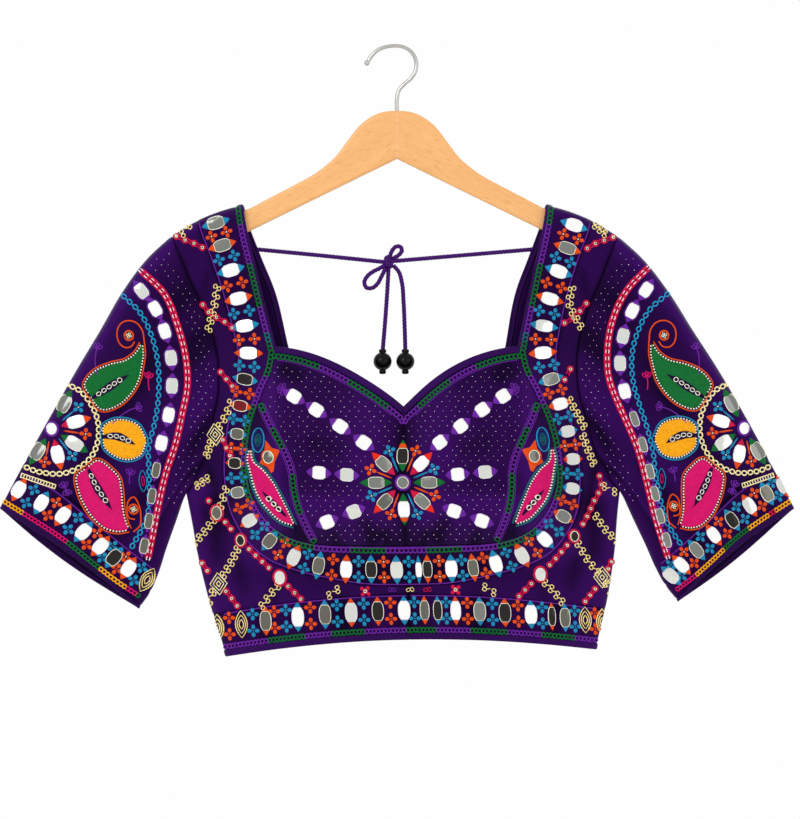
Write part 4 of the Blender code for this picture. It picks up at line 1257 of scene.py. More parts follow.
    def hem(self, side: int, label: str, face: Face, made: dict[str, bpy.types.Object]) -> None:
        """The hem border and its folded edge, for one quarter of the blouse."""
        half = self.seam_gap

        def above_binding(a: np.ndarray) -> np.ndarray:
            """Height of the top of the folded edge."""
            return self.form.hem_z(a) + self.cut.binding_width

        heights = (self.form.hem_z, above_binding, self.form.band_top)
        lines = [self.cut.bottom(height) for height in heights]
        gaps = (half, self.hem_side_gap, 0.0, half)
        grid = self.place(self.ruled(lines[0], lines[1], self.binding_cells), side, face, gaps)
        name = f"hem_binding_{face.label}_{label}"
        binding = self.sew(made, name, self.binding, grid, face, self.edge_first)
        gaps = (half, self.hem_side_gap, half, half)
        grid = self.place(self.ruled(lines[1], lines[2], self.border_cells), side, face, gaps)
        piece = self.sew(made, f"hem_border_{face.label}_{label}", self.border, grid, face)
        declare_cloth(piece, grid, False, [binding])

    def back(self, side: int, label: str, made: dict[str, bpy.types.Object]) -> None:
        """Half of the back, with its strap, and the binding of its deep neck."""
        half, face = self.seam_gap, Face.BACK
        edge, inside = self.cut.back_neck()
        gaps = (self.shoulder_gap, half, 0.0, half)
        grid = self.place(self.ruled(edge, inside, self.binding_cells), side, face, gaps)
        binding = self.sew(made, f"back_neck_binding_{label}", self.binding, grid, face, self.edge_first)
        seam = self.cut.side_seam(self.cut.side_rows * 2)
        outer = np.vstack([self.cut.armhole(), seam[1:]])[::-1]
        below = len(outer) - len(inside)
        w = np.linspace(inside[-1, 1], self.form.band_top(0.0), below + 1)[1:]
        inner = np.vstack([inside, stacked(np.zeros(below), w)])[::-1]
        places = np.array(self.back_bottom) / self.back_bottom[-1]
        coarse = np.linspace(0, 1, len(places))
        shares = np.interp(np.linspace(0, 1, self.back_cells + 1), coarse, places)
        bottom = self.cut.bottom(self.form.band_top, shares)
        top_a = np.linspace(inner[-1, 0], outer[-1, 0], len(bottom))
        top = self.cut.shoulder_seam(stacked(top_a, top_a))
        flat = self.form.flat
        grid = coons(flat(inner), flat(outer), flat(bottom), flat(top))
        grid = self.place(grid, side, face, (half, self.shoulder_gap, half, self.side_gap))
        piece = self.sew(made, f"back_{label}", self.cloth, grid, face)
        declare_cloth(piece, grid, False, [binding])


# ---------------------------------------------------------------- sleeves


@dataclass(frozen=True)
class Sleeves:
    """Short set-in sleeves: a tube of lines that run from the armhole to the cuff, with the mirror
    border and the folded edge as its last stretches."""

    form: Form
    cut: Cut
    columns: int = 56  # on each face
    length_rows: int = 62
    seam_gap: float = 0.04
    armhole_gap: tuple[float, float] = (0.8, 3.2)
    allowance_depth: float = 1.9
    allowance_half: float = 4.0
    allowance_wall: float = 0.6
    inwards: float = -1.0  # the body's side of the armhole's line
    cuff_depth: tuple[float, float] = (12.0, 13.0)  # front, back
    cuff_bow: float = 4.6
    border_share: float = 0.14
    binding_share: float = 0.024
    fullness: float = 3.0
    underarm_share: float = 0.8
    underarm_clear: float = 1.6
    underarm_turn: float = 95.0
    cloth: Panel = Panel(1.6, "purple_cloth")
    border: Panel = Panel(1.6, "border_cloth", 0.45, 1.6)
    binding: Panel = Panel(2.4, "binding", 0.3, 1.0, 0.0, 0.5)
    # distance from the centre, height
    top: Rows = (
        (199.8, -169.5), (221.5, -189.4), (246.0, -221.4), (265.6, -254.0), (287.4, -289.1), (312.2, -332.3),
        (337.8, -379.1), (356.6, -415.1),
    )
    under: Rows = (
        (194.9, -398.9), (207.4, -427.7), (216.4, -449.0), (224.4, -470.0), (232.0, -485.5), (243.5, -501.0),
    )
    # place from shoulder to cuff, place from top to underarm, half widths, depth
    front_creases: Rows = (
        (0.32, 0.80, 0.26, 0.09, 2.6), (0.55, 0.62, 0.30, 0.07, 1.6), (0.14, 0.70, 0.12, 0.05, 1.4),
        (0.22, 0.88, 0.16, 0.04, 1.5), (0.62, 0.84, 0.16, 0.05, 1.3), (0.44, 0.30, 0.24, 0.05, 0.9),
        (0.78, 0.46, 0.12, 0.06, -1.0), (0.08, 0.40, 0.10, 0.05, 0.9), (0.06, 0.22, 0.08, 0.04, 0.8),
    )
    back_creases: Rows = (
        (0.32, 0.80, 0.26, 0.09, 2.6), (0.55, 0.62, 0.30, 0.07, 1.6), (0.18, 0.64, 0.14, 0.05, 1.3),
        (0.26, 0.90, 0.16, 0.04, 1.4), (0.66, 0.78, 0.14, 0.06, 1.2), (0.38, 0.34, 0.22, 0.06, 1.0),
    )

    def bow(self, line: Rows, s: np.ndarray) -> np.ndarray:
        """How far a line stands off its chord at shares s of its length."""
        ends = np.array([line[0], line[-1]])
        return along(line, s) - (1 - s)[..., None] * ends[0] - s[..., None] * ends[1]

    def armhole(self, t: np.ndarray, face: Face) -> tuple[np.ndarray, np.ndarray]:
        """Points of the armhole before hanging, and how the cloth first sets off from the seam:
        across it, most strongly a little before the underarm.

        Args:
            t: Shares of the way from the shoulder to the underarm.
            face: The front or the back.

        Returns:
            The points and the set-off, for each t.
        """
        seam = self.cut.armhole()
        share = run(seam) / run(seam)[-1]
        flat = self.form.flat(seam)
        line = self.form.unhang(self.form.point(flat[:, 0], flat[:, 1], 1, face))
        step = np.gradient(seam, axis=0)
        outwards = unit(stacked(-step[:, 1], step[:, 0] * 0, step[:, 0]))
        near = np.clip((share - self.underarm_share) / (1 - self.underarm_share), 0, 1)
        outwards = outwards * (self.underarm_turn * np.sin(math.pi * near))[:, None]
        return read_off(t, share, line), read_off(t, share, outwards)

    def cuff(self, t: np.ndarray, face: Face) -> np.ndarray:
        """The cuff's edge: half an ellipse-like arc in depth, bowed along its chord by a sine."""
        outer, inner = np.array(self.top[-1]), np.array(self.under[-1])
        chord = inner - outer
        down = np.array([chord[1], -chord[0]]) / np.hypot(*chord)
        down = down if down[1] < 0 else -down
        depth = self.cuff_depth[0 if face is Face.FRONT else 1]
        arc = np.sin(math.pi * t)
        flat = outer + t[:, None] * chord + face.value * self.cuff_bow * arc[:, None] * down
        return stacked(flat[:, 0], face.value * depth * np.clip(arc, 0, 1) ** 0.5, flat[:, 1])

    def creases(self, s: np.ndarray, t: np.ndarray, face: Face) -> np.ndarray:
        """Soft troughs and ridges: bells along and across the sleeve."""
        total = np.zeros(np.broadcast(s, t).shape)
        for s0, t0, ws, wt, depth in self.front_creases if face is Face.FRONT else self.back_creases:
            total = total + depth * np.exp(-(((s - s0) / ws) ** 2) - ((t - t0) / wt) ** 2)
        return total

    def surface(self, s: np.ndarray, t: np.ndarray, face: Face) -> np.ndarray:
        """One face of the right sleeve before hanging. Straight lines join armhole and cuff; to
        them are added the bow of the top and underside outlines, the set-off beside the underarm, a
        little fullness and the creases.

        Args:
            s: Shares from the armhole to the cuff, rows by columns.
            t: Shares from the top to the underarm, one for each column.
            face: The front or the back.

        Returns:
            Points x, y, z.
        """
        start, setting_off = self.armhole(t, face)
        near_top = (np.cos(RIGHT_ANGLE * t) ** 2)[None, :, None]
        bulge = self.bow(self.top, s) * near_top + self.bow(self.under, s) * (1 - near_top)
        points = (1 - s)[..., None] * start[None] + s[..., None] * self.cuff(t, face)[None]
        points[..., 0] += bulge[..., 0]
        points[..., 2] += bulge[..., 1]
        points += (s * (1 - s) ** 2)[..., None] * setting_off[None]
        clear = ease((t - self.underarm_share) / 0.12)[None]
        points[..., 0] += self.underarm_clear * (1 - s) ** 6 * clear
        full = self.fullness * np.sin(math.pi * s) * np.sin(math.pi * t)[None]
        pressed = self.creases(s, t[None], face) * np.sin(math.pi * np.clip(t, 0, 1))[None]
        points[..., 1] += face.value * (full - pressed)
        return points

    def first_loop(self, t: np.ndarray, face: Face, further: float = 0.0) -> np.ndarray:
        """Shares of the sleeve's length at which it starts, at its gap from the armhole's seam and
        some millimetres further."""
        close = self.surface(np.array([[0.0], [0.002]]) * np.ones((2, len(t))), t, face)
        speed = np.linalg.norm(close[1] - close[0], axis=-1) / 0.002
        near, far = self.armhole_gap
        return (near + (far - near) * ease((t - self.underarm_share) / 0.14) + further)[None] / speed

    def allowance(self, side: int, face: Face) -> bpy.types.Object:
        """The seam allowance inside one face of an armhole. It lies behind both edges of the seam,
        and shows between them."""
        t = np.linspace(0.03, 0.995, 70)
        seam = self.cut.armhole()
        share = run(seam) / run(seam)[-1]
        columns = []
        for inside in (self.allowance_half, 0.0):
            flat = self.form.flat(moved_sideways(seam, inside * self.inwards))
            line = self.form.point(flat[:, 0], flat[:, 1], side, face)
            columns.append(read_off(t, share, line))
        for further in (0.0, self.allowance_half):
            line = self.surface(self.first_loop(t, face, further), t, face)[0] * (side, 1, 1)
            columns.append(self.form.hang(line))
        columns.insert(2, (columns[1] + columns[2]) / 2)
        grid = np.stack(columns, axis=1)
        grid[..., 1] -= face.value * self.allowance_depth
        thing = grid_mesh(f"armhole_seam_{face.label}_{dict(SIDES)[side]}", grid)
        walled(thing, self.allowance_wall)
        return finish_piece(thing, Finishes.satin)

    def tube(self, side: int, start: float, end: float, rows: int) -> np.ndarray:
        """Loops round the sleeve between two shares of its length. Lines are closer together
        towards the top and the underarm, and the first loop stands off the armhole's seam."""
        t = (1 - np.cos(np.linspace(0, math.pi, self.columns + 1))) / 2
        halves = []
        for face in (Face.FRONT, Face.BACK):
            first = np.full((1, len(t)), start)
            if start == 0.0:
                first = self.first_loop(t, face)
            v = np.linspace(0, 1, rows + 1)[:, None]
            halves.append(self.surface(first + (end - first) * v, t, face))
        loop = np.concatenate([halves[0], halves[1][:, -2:0:-1]], axis=1)
        loop[..., 0] *= side
        return self.form.hang(loop)

    def make(self) -> dict[str, bpy.types.Object]:
        """Both sleeves with their cuffs, by the solids' names."""
        made: dict[str, bpy.types.Object] = {}
        half = self.seam_gap
        border = 1 - self.border_share - self.binding_share
        folded = 1 - self.binding_share
        for side, label in SIDES:
            grid = inset(self.tube(side, folded, 1.0, 6), (half, 0.0, 0.0, 0.0))
            edge = self.binding.build(
                f"cuff_binding_{label}", grid, Finishes.binding, 0.0, (True, False, False, False), True
            )
            grid = inset(self.tube(side, border, folded, 12), (half, half, 0.0, 0.0))
            cuff = self.border.build(
                f"cuff_border_{label}", grid, Finishes.border, 0.0, (True, True, False, False), True
            )
            declare_cloth(cuff, grid, True, [edge])
            grid = inset(self.tube(side, 0.0, border, self.length_rows), (0.0, half, 0.0, 0.0))
            sleeve = self.cloth.build(
                f"sleeve_{label}", grid, Finishes.satin, 0.0, (True, True, False, False), True
            )
            declare_cloth(sleeve, grid, True, [self.allowance(side, face) for face in Face])
            made |= {f"sleeve_{label}": sleeve, f"cuff_border_{label}": cuff, f"cuff_binding_{label}": edge}
        return made


# ---------------------------------------------------------------- hanger, hook and tie


@dataclass(frozen=True)
class Hanger:
    """Flat beech hanger in two mirrored halves, glued at the centre: each half is a section with
    rounded edges, carried from the joint to the rounded tip."""

    thickness: float = 12.0
    roundness: float = 7.0  # exponent of the section's superellipse
    around: int = 40
    stations: int = 72
    joint: float = 0.06
    bottom: tuple[float, float, float] = (-100.1, 195.0, -195.6)  # height at the joint, then its end
    top: Rows = (
        (0.0, -56.6), (12.0, -57.6), (21.6, -61.2), (33.7, -70.1), (44.5, -83.7), (56.0, -98.7),
        (71.8, -111.9), (94.7, -124.9), (116.2, -136.0), (132.0, -144.4), (152.0, -152.4), (172.0, -160.8),
        (188.0, -169.6),
    )
    tip: Rows = ((198.0, -177.0), (203.0, -184.5), (202.0, -192.0), (195.0, -195.6))

    def half(self, side: int) -> tuple[np.ndarray, np.ndarray, np.ndarray]:
        """One half: chords from the top outline to the bottom outline, each swept as a
        superellipse whose depth closes at the tip.

        Args:
            side: -1 or 1.

        Returns:
            Points, quads and the grain's places.
        """
        over = evenly(np.array([*self.top, *self.tip[:2]]), 1.0)
        start, end_x, end_z = self.bottom
        straight = np.linspace((0.0, start), (end_x - 9.0, end_z + 4.4), 40)
        under = np.vstack([straight, evenly(np.array([straight[-1], *self.tip[::-1][:-1]]), 1.0)[1:]])
        u = 1 - (1 - np.linspace(0, 1, self.stations)) ** 1.6
        upper, lower = (read_off(u, run(line) / run(line)[-1], line) for line in (over, under))
        angle = circle(self.around)
        power = 2 / self.roundness
        across = np.sign(np.cos(angle)) * np.abs(np.cos(angle)) ** power
        deep = np.sign(np.sin(angle)) * np.abs(np.sin(angle)) ** power
        share = (1 + across)[None, :, None] / 2
        flat = share * upper[:, None] + (1 - share) * lower[:, None]
        closing = np.clip(1 - u**60, 0, 1) ** (1 / 3)
        y = self.thickness / 2 * deep[None] * closing[:, None]
        x = side * np.maximum(flat[..., 0], self.joint)
        points = stacked(x, y, flat[..., 1])
        grain = stacked(side * flat[..., 0] + 31.0 * y, flat[..., 1] + 0.5 * flat[..., 0] + y)
        cap = points[0].mean(axis=0, keepdims=True)
        rows, columns = points.shape[:2]
        quads = grid_faces(rows, columns, True)
        ring = np.arange(columns)
        middle = np.full(columns, rows * columns)
        closing_cap = stacked(middle, middle, np.roll(ring, -1), ring)
        grain_cap = grain[:1].mean(axis=1)
        whole = np.vstack([points.reshape(-1, 3), cap])
        return whole, np.vstack([quads, closing_cap]), np.vstack([grain.reshape(-1, 2), grain_cap])

    def make(self) -> bpy.types.Object:
        """The board, in place of its plainer solid."""
        points, faces, grain, count = [], [], [], 0
        for side, _ in SIDES:
            whole, quads, places = self.half(side)
            points.append(whole)
            faces.append(quads + count)
            grain.append(places)
            count += len(whole)
        uv = np.vstack(grain) * MM
        thing = mended(new_mesh("hanger_board", np.vstack(points), np.vstack(faces), uv))
        return finish_piece(thing, Finishes.beech, ("hanger_wood",))


def tube(
    path: np.ndarray, radius: np.ndarray, around: int, reference: tuple[float, float, float] = (0, 1, 0)
) -> tuple[np.ndarray, np.ndarray, np.ndarray]:
    """A round bar on a path: rings across the path's direction, closed at both ends.

    Args:
        path: Points x, y, z.
        radius: For each point, or for each point and each place round it.
        around: Places round it.
        reference: A direction that the path never runs along.

    Returns:
        Points, quads, and places round and along it in metres.
    """
    ahead = unit(np.gradient(path, axis=0))
    first = unit(np.cross(ahead, reference))
    second = np.cross(first, ahead)
    angle = circle(around)
    radius = np.broadcast_to(radius if np.ndim(radius) == 2 else radius[:, None], (len(path), around))
    rings = np.cos(angle)[None, :, None] * first[:, None] + np.sin(angle)[None, :, None] * second[:, None]
    points = path[:, None] + radius[..., None] * rings
    quads = grid_faces(len(path), around, True)
    uv_quads = grid_faces(len(path), around + 1)
    turn = np.linspace(0, FULL_TURN, around + 1) * radius.max()
    uv = stacked(turn[None], run(path)[:, None]).reshape(-1, 2) * MM
    count = len(path) * around
    ring = np.arange(around)
    caps, uv_caps = [], []
    for row, end, order in ((0, count, 1), (len(path) - 1, count + 1, -1)):
        pair = (row * around + ring, row * around + np.roll(ring, -1))[::order]
        tip = np.full(around, end)
        caps.append(stacked(tip, tip, *pair))
        base = row * (around + 1) + ring
        uv_caps.append(stacked(base, base, *(base, base + 1)[::order]))
    whole = np.vstack([points.reshape(-1, 3), path[:1], path[-1:]])
    return whole, np.vstack([quads, *caps]), uv, np.vstack([uv_quads, *uv_caps])


@dataclass(frozen=True)
class Hook:
    """Bent steel wire with a ball tip, screwed into the wood. It is a bar whose radius follows a
    circle over the ball."""

    wire: float = 3.7
    ball: float = 2.6
    # x, z
    route: Rows = (
        (-27.0, -13.6), (-24.4, -9.4), (-20.6, -4.6), (-14.6, -0.6), (-7.4, 1.45), (0.0, 1.85), (6.8, 0.5),
        (12.6, -3.3), (16.3, -9.1), (17.4, -15.8), (16.0, -22.4), (12.0, -28.0), (6.4, -32.8), (1.8, -38.0),
        (0.0, -44.8), (0.0, -57.5),
    )

    def make(self) -> bpy.types.Object:
        """The hook, in place of its plainer solid."""
        line = evenly(np.array(self.route), 0.9)
        back = line[0] - line[1]
        back /= np.hypot(*back)
        before = line[0] + back * np.linspace(self.ball, 0.3, 9)[:, None]
        line = np.vstack([before, line])
        at = run(line) - self.ball
        round_tip = np.sqrt(np.clip(self.ball**2 - at**2, 0.01, None))
        radius = np.where(at < 1.9, np.maximum(round_tip, np.where(at > 0, self.wire / 2, 0)), self.wire / 2)
        path = stacked(line[:, 0], np.zeros(len(line)), line[:, 1])
        points, quads, uv, uv_quads = tube(path, radius, 20)
        thing = mended(new_mesh("hanger_hook_wire", points, quads, uv, uv_quads))
        return finish_piece(thing, Finishes.steel, ("hanger_hook",))


@dataclass(frozen=True)
class BackTie:
    """Twisted cord tied in a bow across the open back, with a turned bead on each hanging end."""

    form: Form
    cut: Cut
    cord: float = 3.5
    lay: float = 9.5  # length of cord in which a strand goes once round
    strands: int = 3
    strand_swell: tuple[float, float, float] = (0.95, 0.2, 0.7)  # least radius, swell, its power
    y: float = 9.0
    start_z: float = -181.0
    start_in: float = -1.2
    knot: tuple[float, float] = (-7.7, -192.6)
    knot_radii: tuple[float, float, float] = (5.0, 5.0, 6.9)
    bead_z: float = -282.1
    bead_x: tuple[float, float] = (-13.0, 7.5)
    bead_radius: float = 8.3
    collar: tuple[float, float] = (3.4, 11.0)  # radius, height above the bead's centre
    knob: tuple[float, float] = (3.1, 11.5)
    # x, z
    tie_left: Rows = ((-67.0, -186.8), (-11.8, -192.5))
    tie_right: Rows = ((57.0, -186.6), (-3.4, -191.7))
    loop_left: Rows = (
        (-11.2, -195.6), (-16.0, -198.4), (-21.2, -201.0), (-26.6, -205.2), (-29.4, -210.8), (-27.6, -215.6),
        (-22.6, -216.0), (-17.8, -212.4), (-14.6, -206.8), (-10.2, -198.0),
    )
    loop_right: Rows = (
        (-6.5, -187.4), (-4.0, -181.6), (-0.8, -178.6), (3.0, -178.8), (4.4, -182.2), (2.0, -185.8),
        (-3.8, -189.4),
    )
    end_left: Rows = ((-7.6, -198.0), (-8.8, -219.2), (-10.4, -242.1), (-12.8, -271.3))
    end_right: Rows = (
        (-3.4, -195.4), (1.6, -201.4), (4.4, -211.0), (5.9, -228.3), (6.9, -251.3), (7.5, -271.3),
    )

    def make(self) -> None:
        """The knot and the beads first, then the cords, whose route lengths are worked out and kept nowhere.
        """
        knot = self.make_knot()
        beads = {label: self.make_bead(x, label) for x, (_, label) in zip(self.bead_x, SIDES)}
        neck_z = [-row[1] for row in self.cut.back_neck_line]
        neck_a = [row[0] for row in self.cut.back_neck_line]
        flat = self.form.flat([[float(hermite(-self.start_z, neck_z, neck_a)), self.start_z]])
        routes = {"left": self.tie_left, "right": self.tie_right}
        loops = {"left": (self.loop_left, self.y - 2.0), "right": (self.loop_right, self.y)}
        ends = {"left": self.end_left, "right": self.end_right}
        for side, label in SIDES:
            start = self.form.point(flat[:, 0], flat[:, 1], side, Face.BACK)[0]
            start[0] -= side * self.start_in
            route = np.array([tuple(start), *((x, self.y, z) for x, z in routes[label])])
            points, y = loops[label]
            loop, loop_path = self.lay_cord(f"bow_loop_{label}", self.level(points, y))
            tie, tie_path = self.lay_cord(f"tie_{label}", route)
            end, end_path = self.lay_cord(f"tie_end_{label}", self.level(ends[label], self.y))
            self.declare(tie_path)
            if label == "left":
                self.declare(loop_path)
            self.declare(end_path)

    def level(self, points: Rows, y: float) -> np.ndarray:
        """Points x, z at one depth."""
        return np.array([(x, y, z) for x, z in points], float)

    def declare(
        self,
        path: np.ndarray,
    ) -> None:
        """Works out the length of a cord's route, which is kept nowhere."""
        route = path * MM
        length = float(run(route)[-1])

    def lay_cord(self, node: str, route: np.ndarray) -> tuple[bpy.types.Object, np.ndarray]:
        """A cord of three strands on a smooth route: its radius swells over each strand, and the
        strands turn round it once in every lay.

        Args:
            node: The solid that it stands for.
            route: Points that the route goes through.

        Returns:
            The cord and its centreline.
        """
        fine = evenly(route, 0.55)
        turned = (circle(18)[None] + run(fine)[:, None] * FULL_TURN / self.lay) * self.strands
        low, high, power = self.strand_swell
        radius = self.cord / 2 * (low + high * np.abs(np.cos(turned / 2)) ** power)
        points, quads, uv, uv_quads = tube(fine, radius, 18)
        thing = mended(new_mesh(f"{node}_cord", points, quads, uv, uv_quads))
        finish_piece(thing, Finishes.cord, (node,))
        return thing, evenly(route, max(1.0, run(fine)[-1] / 24))

    def make_knot(self) -> bpy.types.Object:
        """The knot: a long round body with the cord's own turns standing on it as rope-like ridges,
        which lean across it."""
        polar = np.linspace(0.04, math.pi - 0.04, 40)[:, None]
        around = circle(56)[None]
        lean = np.cos(polar) * 3.1 + 0.75 * np.sin(around)
        ridge = np.abs(np.cos(lean * 1.5)) ** 0.6
        swell = (0.84 + 0.16 * ridge) * np.ones_like(around)
        ball = stacked(np.sin(polar) * np.cos(around), np.sin(polar) * np.sin(around), np.cos(polar))
        centre = np.array([self.knot[0], self.y, self.knot[1]])
        grid = centre + ball * np.array(self.knot_radii) * swell[..., None]
        thing = mended(grid_mesh("tie_knot_turns", grid, True), open_ends=True)
        return finish_piece(thing, Finishes.cord, ("tie_knot",))

    def make_bead(self, x: float, label: str) -> bpy.types.Object:
        """A turned bead: a ball with a collar above and a knob below, as a profile turned round its
        upright axis."""
        collar_r, collar_h = self.collar
        knob_r, knob_h = self.knob
        ball = self.bead_radius
        top, bottom = math.asin(collar_r / ball), math.pi - math.asin(knob_r / ball)
        angles = np.linspace(top + 0.06, bottom - 0.06, 34)
        body = stacked(ball * np.sin(angles), ball * np.cos(angles))
        neck_h = body[0, 1] + 0.5
        above = [(0.05, collar_h), (2.3, collar_h), (3.1, collar_h - 0.35), (3.4, collar_h - 1.0)]
        above += [(3.4, neck_h + 0.9), (3.1, neck_h + 0.3), (2.9, neck_h)]
        foot_h = body[-1, 1] - 0.4
        below = [(2.7, foot_h), (3.1, foot_h - 0.5), (3.1, -knob_h + 1.2), (2.6, -knob_h + 0.3)]
        below += [(1.6, -knob_h), (0.05, -knob_h)]
        profile = np.vstack([above, body, below])
        radius, angle = profile[:, :1], circle(40)
        grid = stacked(
            x + radius * np.cos(angle), self.y + radius * np.sin(angle), self.bead_z + profile[:, 1:]
        )
        thing = mended(grid_mesh(f"bead_{label}_turned", grid, True), open_ends=True)
        return finish_piece(thing, Finishes.bead, (f"bead_{label}",))


# ---------------------------------------------------------------- needlework: flat shapes


@dataclass(frozen=True)
class Shape:
    """A stitched shape drawn flat: u and v across the cloth, h off it, in millimetres."""

    points: np.ndarray
    faces: np.ndarray
    uv: np.ndarray

    def moved(self, u: float = 0.0, v: float = 0.0, h: float = 0.0) -> "Shape":
        """The shape moved."""
        return Shape(self.points + np.array([u, v, h]), self.faces, self.uv)

    def turned(self, angle: float) -> "Shape":
        """The shape turned anticlockwise in its plane."""
        c, s = math.cos(angle), math.sin(angle)
        u, v, h = self.points.T
        return Shape(stacked(c * u - s * v, s * u + c * v, h), self.faces, self.uv)


def joined(*shapes: Shape) -> Shape:
    """Several shapes as one."""
    starts = np.cumsum([0, *(len(shape.points) for shape in shapes[:-1])])
    faces = [shape.faces + start for shape, start in zip(shapes, starts)]
    points, uv = [shape.points for shape in shapes], [shape.uv for shape in shapes]
    return Shape(np.vstack(points), np.vstack(faces), np.vstack(uv))


def from_grid(grid: np.ndarray, uv: np.ndarray, closed: bool = False) -> Shape:
    """Two triangles for each cell of a grid, all facing off the cloth.

    Args:
        grid: Rows and columns of u, v, h.
        uv: The threads' place at each point: along the stitch line and across it.
        closed: Whether the last row joins the first.

    Returns:
        The shape.
    """
    rows, columns = grid.shape[:2]
    if closed:
        index = np.arange(rows * columns).reshape(rows, columns)
        index = np.concatenate([index, index[:1]], axis=0)
        quads = stacked(index[:-1, :-1], index[:-1, 1:], index[1:, 1:], index[1:, :-1])
        quads = quads.reshape(-1, 4)
    else:
        quads = grid_faces(rows, columns)
    faces = np.vstack([quads[:, :3], quads[:, [0, 2, 3]]])
    points = grid.reshape(-1, 3)
    corner = points[faces]
    first, second = corner[:, 1] - corner[:, 0], corner[:, 2] - corner[:, 0]
    if (first[:, 0] * second[:, 1] - first[:, 1] * second[:, 0]).sum() < 0:
        faces = faces[:, ::-1]
    return Shape(points, faces, uv.reshape(-1, 2))


def broken(line: np.ndarray, count: int) -> np.ndarray:
    """Each straight run of a line broken into points, without the line's last point."""
    return np.vstack([np.linspace(a, b, count)[:-1] for a, b in zip(line, line[1:])])


SINK = 0.25  # how far a stitch's edges sink into the cloth


def raised(flat: np.ndarray, up: np.ndarray) -> np.ndarray:
    """A grid of flat points u, v with heights, one for each point or for each column."""
    return np.concatenate([flat, np.broadcast_to(up, flat.shape[:2])[..., None]], axis=-1)


def strand(
    line: np.ndarray, width: float, height: float, closed: bool = False, taper: bool = False
) -> Shape:
    """A raised thread on a flat line: a flattened arch of four edges carried along it.

    Args:
        line: Points u, v.
        width: Its width.
        height: Its height off the cloth.
        closed: Whether the line comes back to its start.
        taper: Whether it narrows to both ends.

    Returns:
        The shape.
    """
    line = np.asarray(line, float)
    wide = np.vstack([line[-1:], line, line[:1]]) if closed else line
    step = np.gradient(wide, axis=0)
    step = unit(step[1:-1] if closed else step)
    normal = stacked(-step[:, 1], step[:, 0])
    across, up = np.array([-1.0, -0.5, 0.5, 1.0]), np.array([-SINK, height, height, -SINK])
    at = run(line)
    half = np.full(len(line), width / 2)
    if taper:
        half = half * np.sqrt(np.clip(4 * at / at[-1] * (1 - at / at[-1]), 0.04, 1)) ** 0.7
    flat = line[:, None] + across[None, :, None] * half[:, None, None] * normal[:, None]
    return from_grid(raised(flat, up), stacked(at[:, None], across[None] * width / 2), closed)


def oval(rx: float, ry: float, count: int = 12, power: float = 2.0) -> np.ndarray:
    """A closed superellipse of a number of points."""
    c, s = np.cos(circle(count)), np.sin(circle(count))
    u = rx * np.sign(c) * np.abs(c) ** (2 / power)
    return stacked(u, ry * np.sign(s) * np.abs(s) ** (2 / power))


def hoop(rx: float, ry: float, width: float, height: float, count: int = 8, power: float = 2.0) -> Shape:
    """A closed loop of thread: one chain stitch."""
    return strand(oval(rx, ry, count, power), width, height, closed=True)


def turned_profile(rx: float, ry: float, profile: Rows, count: int) -> Shape:
    """Rings of an oval at shares of its size, at heights: a dome, or a knot with a dimple.

    Args:
        rx: Half its length.
        ry: Half its width.
        profile: Share of the size, and height, from the rim inwards.
        count: Points round it.

    Returns:
        The shape.
    """
    rings = [oval(rx * share, ry * share, count) for share, _ in profile]
    flat = np.stack(rings, axis=1)
    return from_grid(raised(flat, np.array([height for _, height in profile])), flat.copy(), closed=True)


def knot(rx: float, ry: float) -> Shape:
    """A satin dot with a dimple where the needle went down."""
    return turned_profile(rx, ry, ((1.0, -SINK), (0.84, 0.65), (0.36, 0.8), (0.03, 0.45)), 8)


def pip(rx: float, ry: float, height: float = 0.45) -> Shape:
    """A small bead or pin dot, a dome of a dozen faces."""
    return turned_profile(rx, ry, ((1.0, -0.2), (0.62, height), (0.02, height)), 6)


def satin(left: np.ndarray, right: np.ndarray, height: float, columns: int = 6) -> Shape:
    """Satin stitch between two lines: straight threads from one to the other, crowned between.

    Args:
        left: Points u, v.
        right: As many points.
        height: Its height along its middle.
        columns: Cells across it.

    Returns:
        The shape.
    """
    c = (1 - np.cos(np.linspace(0, math.pi, columns + 1))) / 2
    flat = left[:, None] * (1 - c)[None, :, None] + right[:, None] * c[None, :, None]
    crown = np.sqrt(np.clip(4 * c * (1 - c), 0, 1))[None] * height - SINK * (np.abs(c - 0.5) > 0.499)[None]
    middle = run((left + right) / 2)
    across = np.linalg.norm(flat - left[:, None], axis=-1)
    return from_grid(raised(flat, crown), stacked(middle[:, None], across))


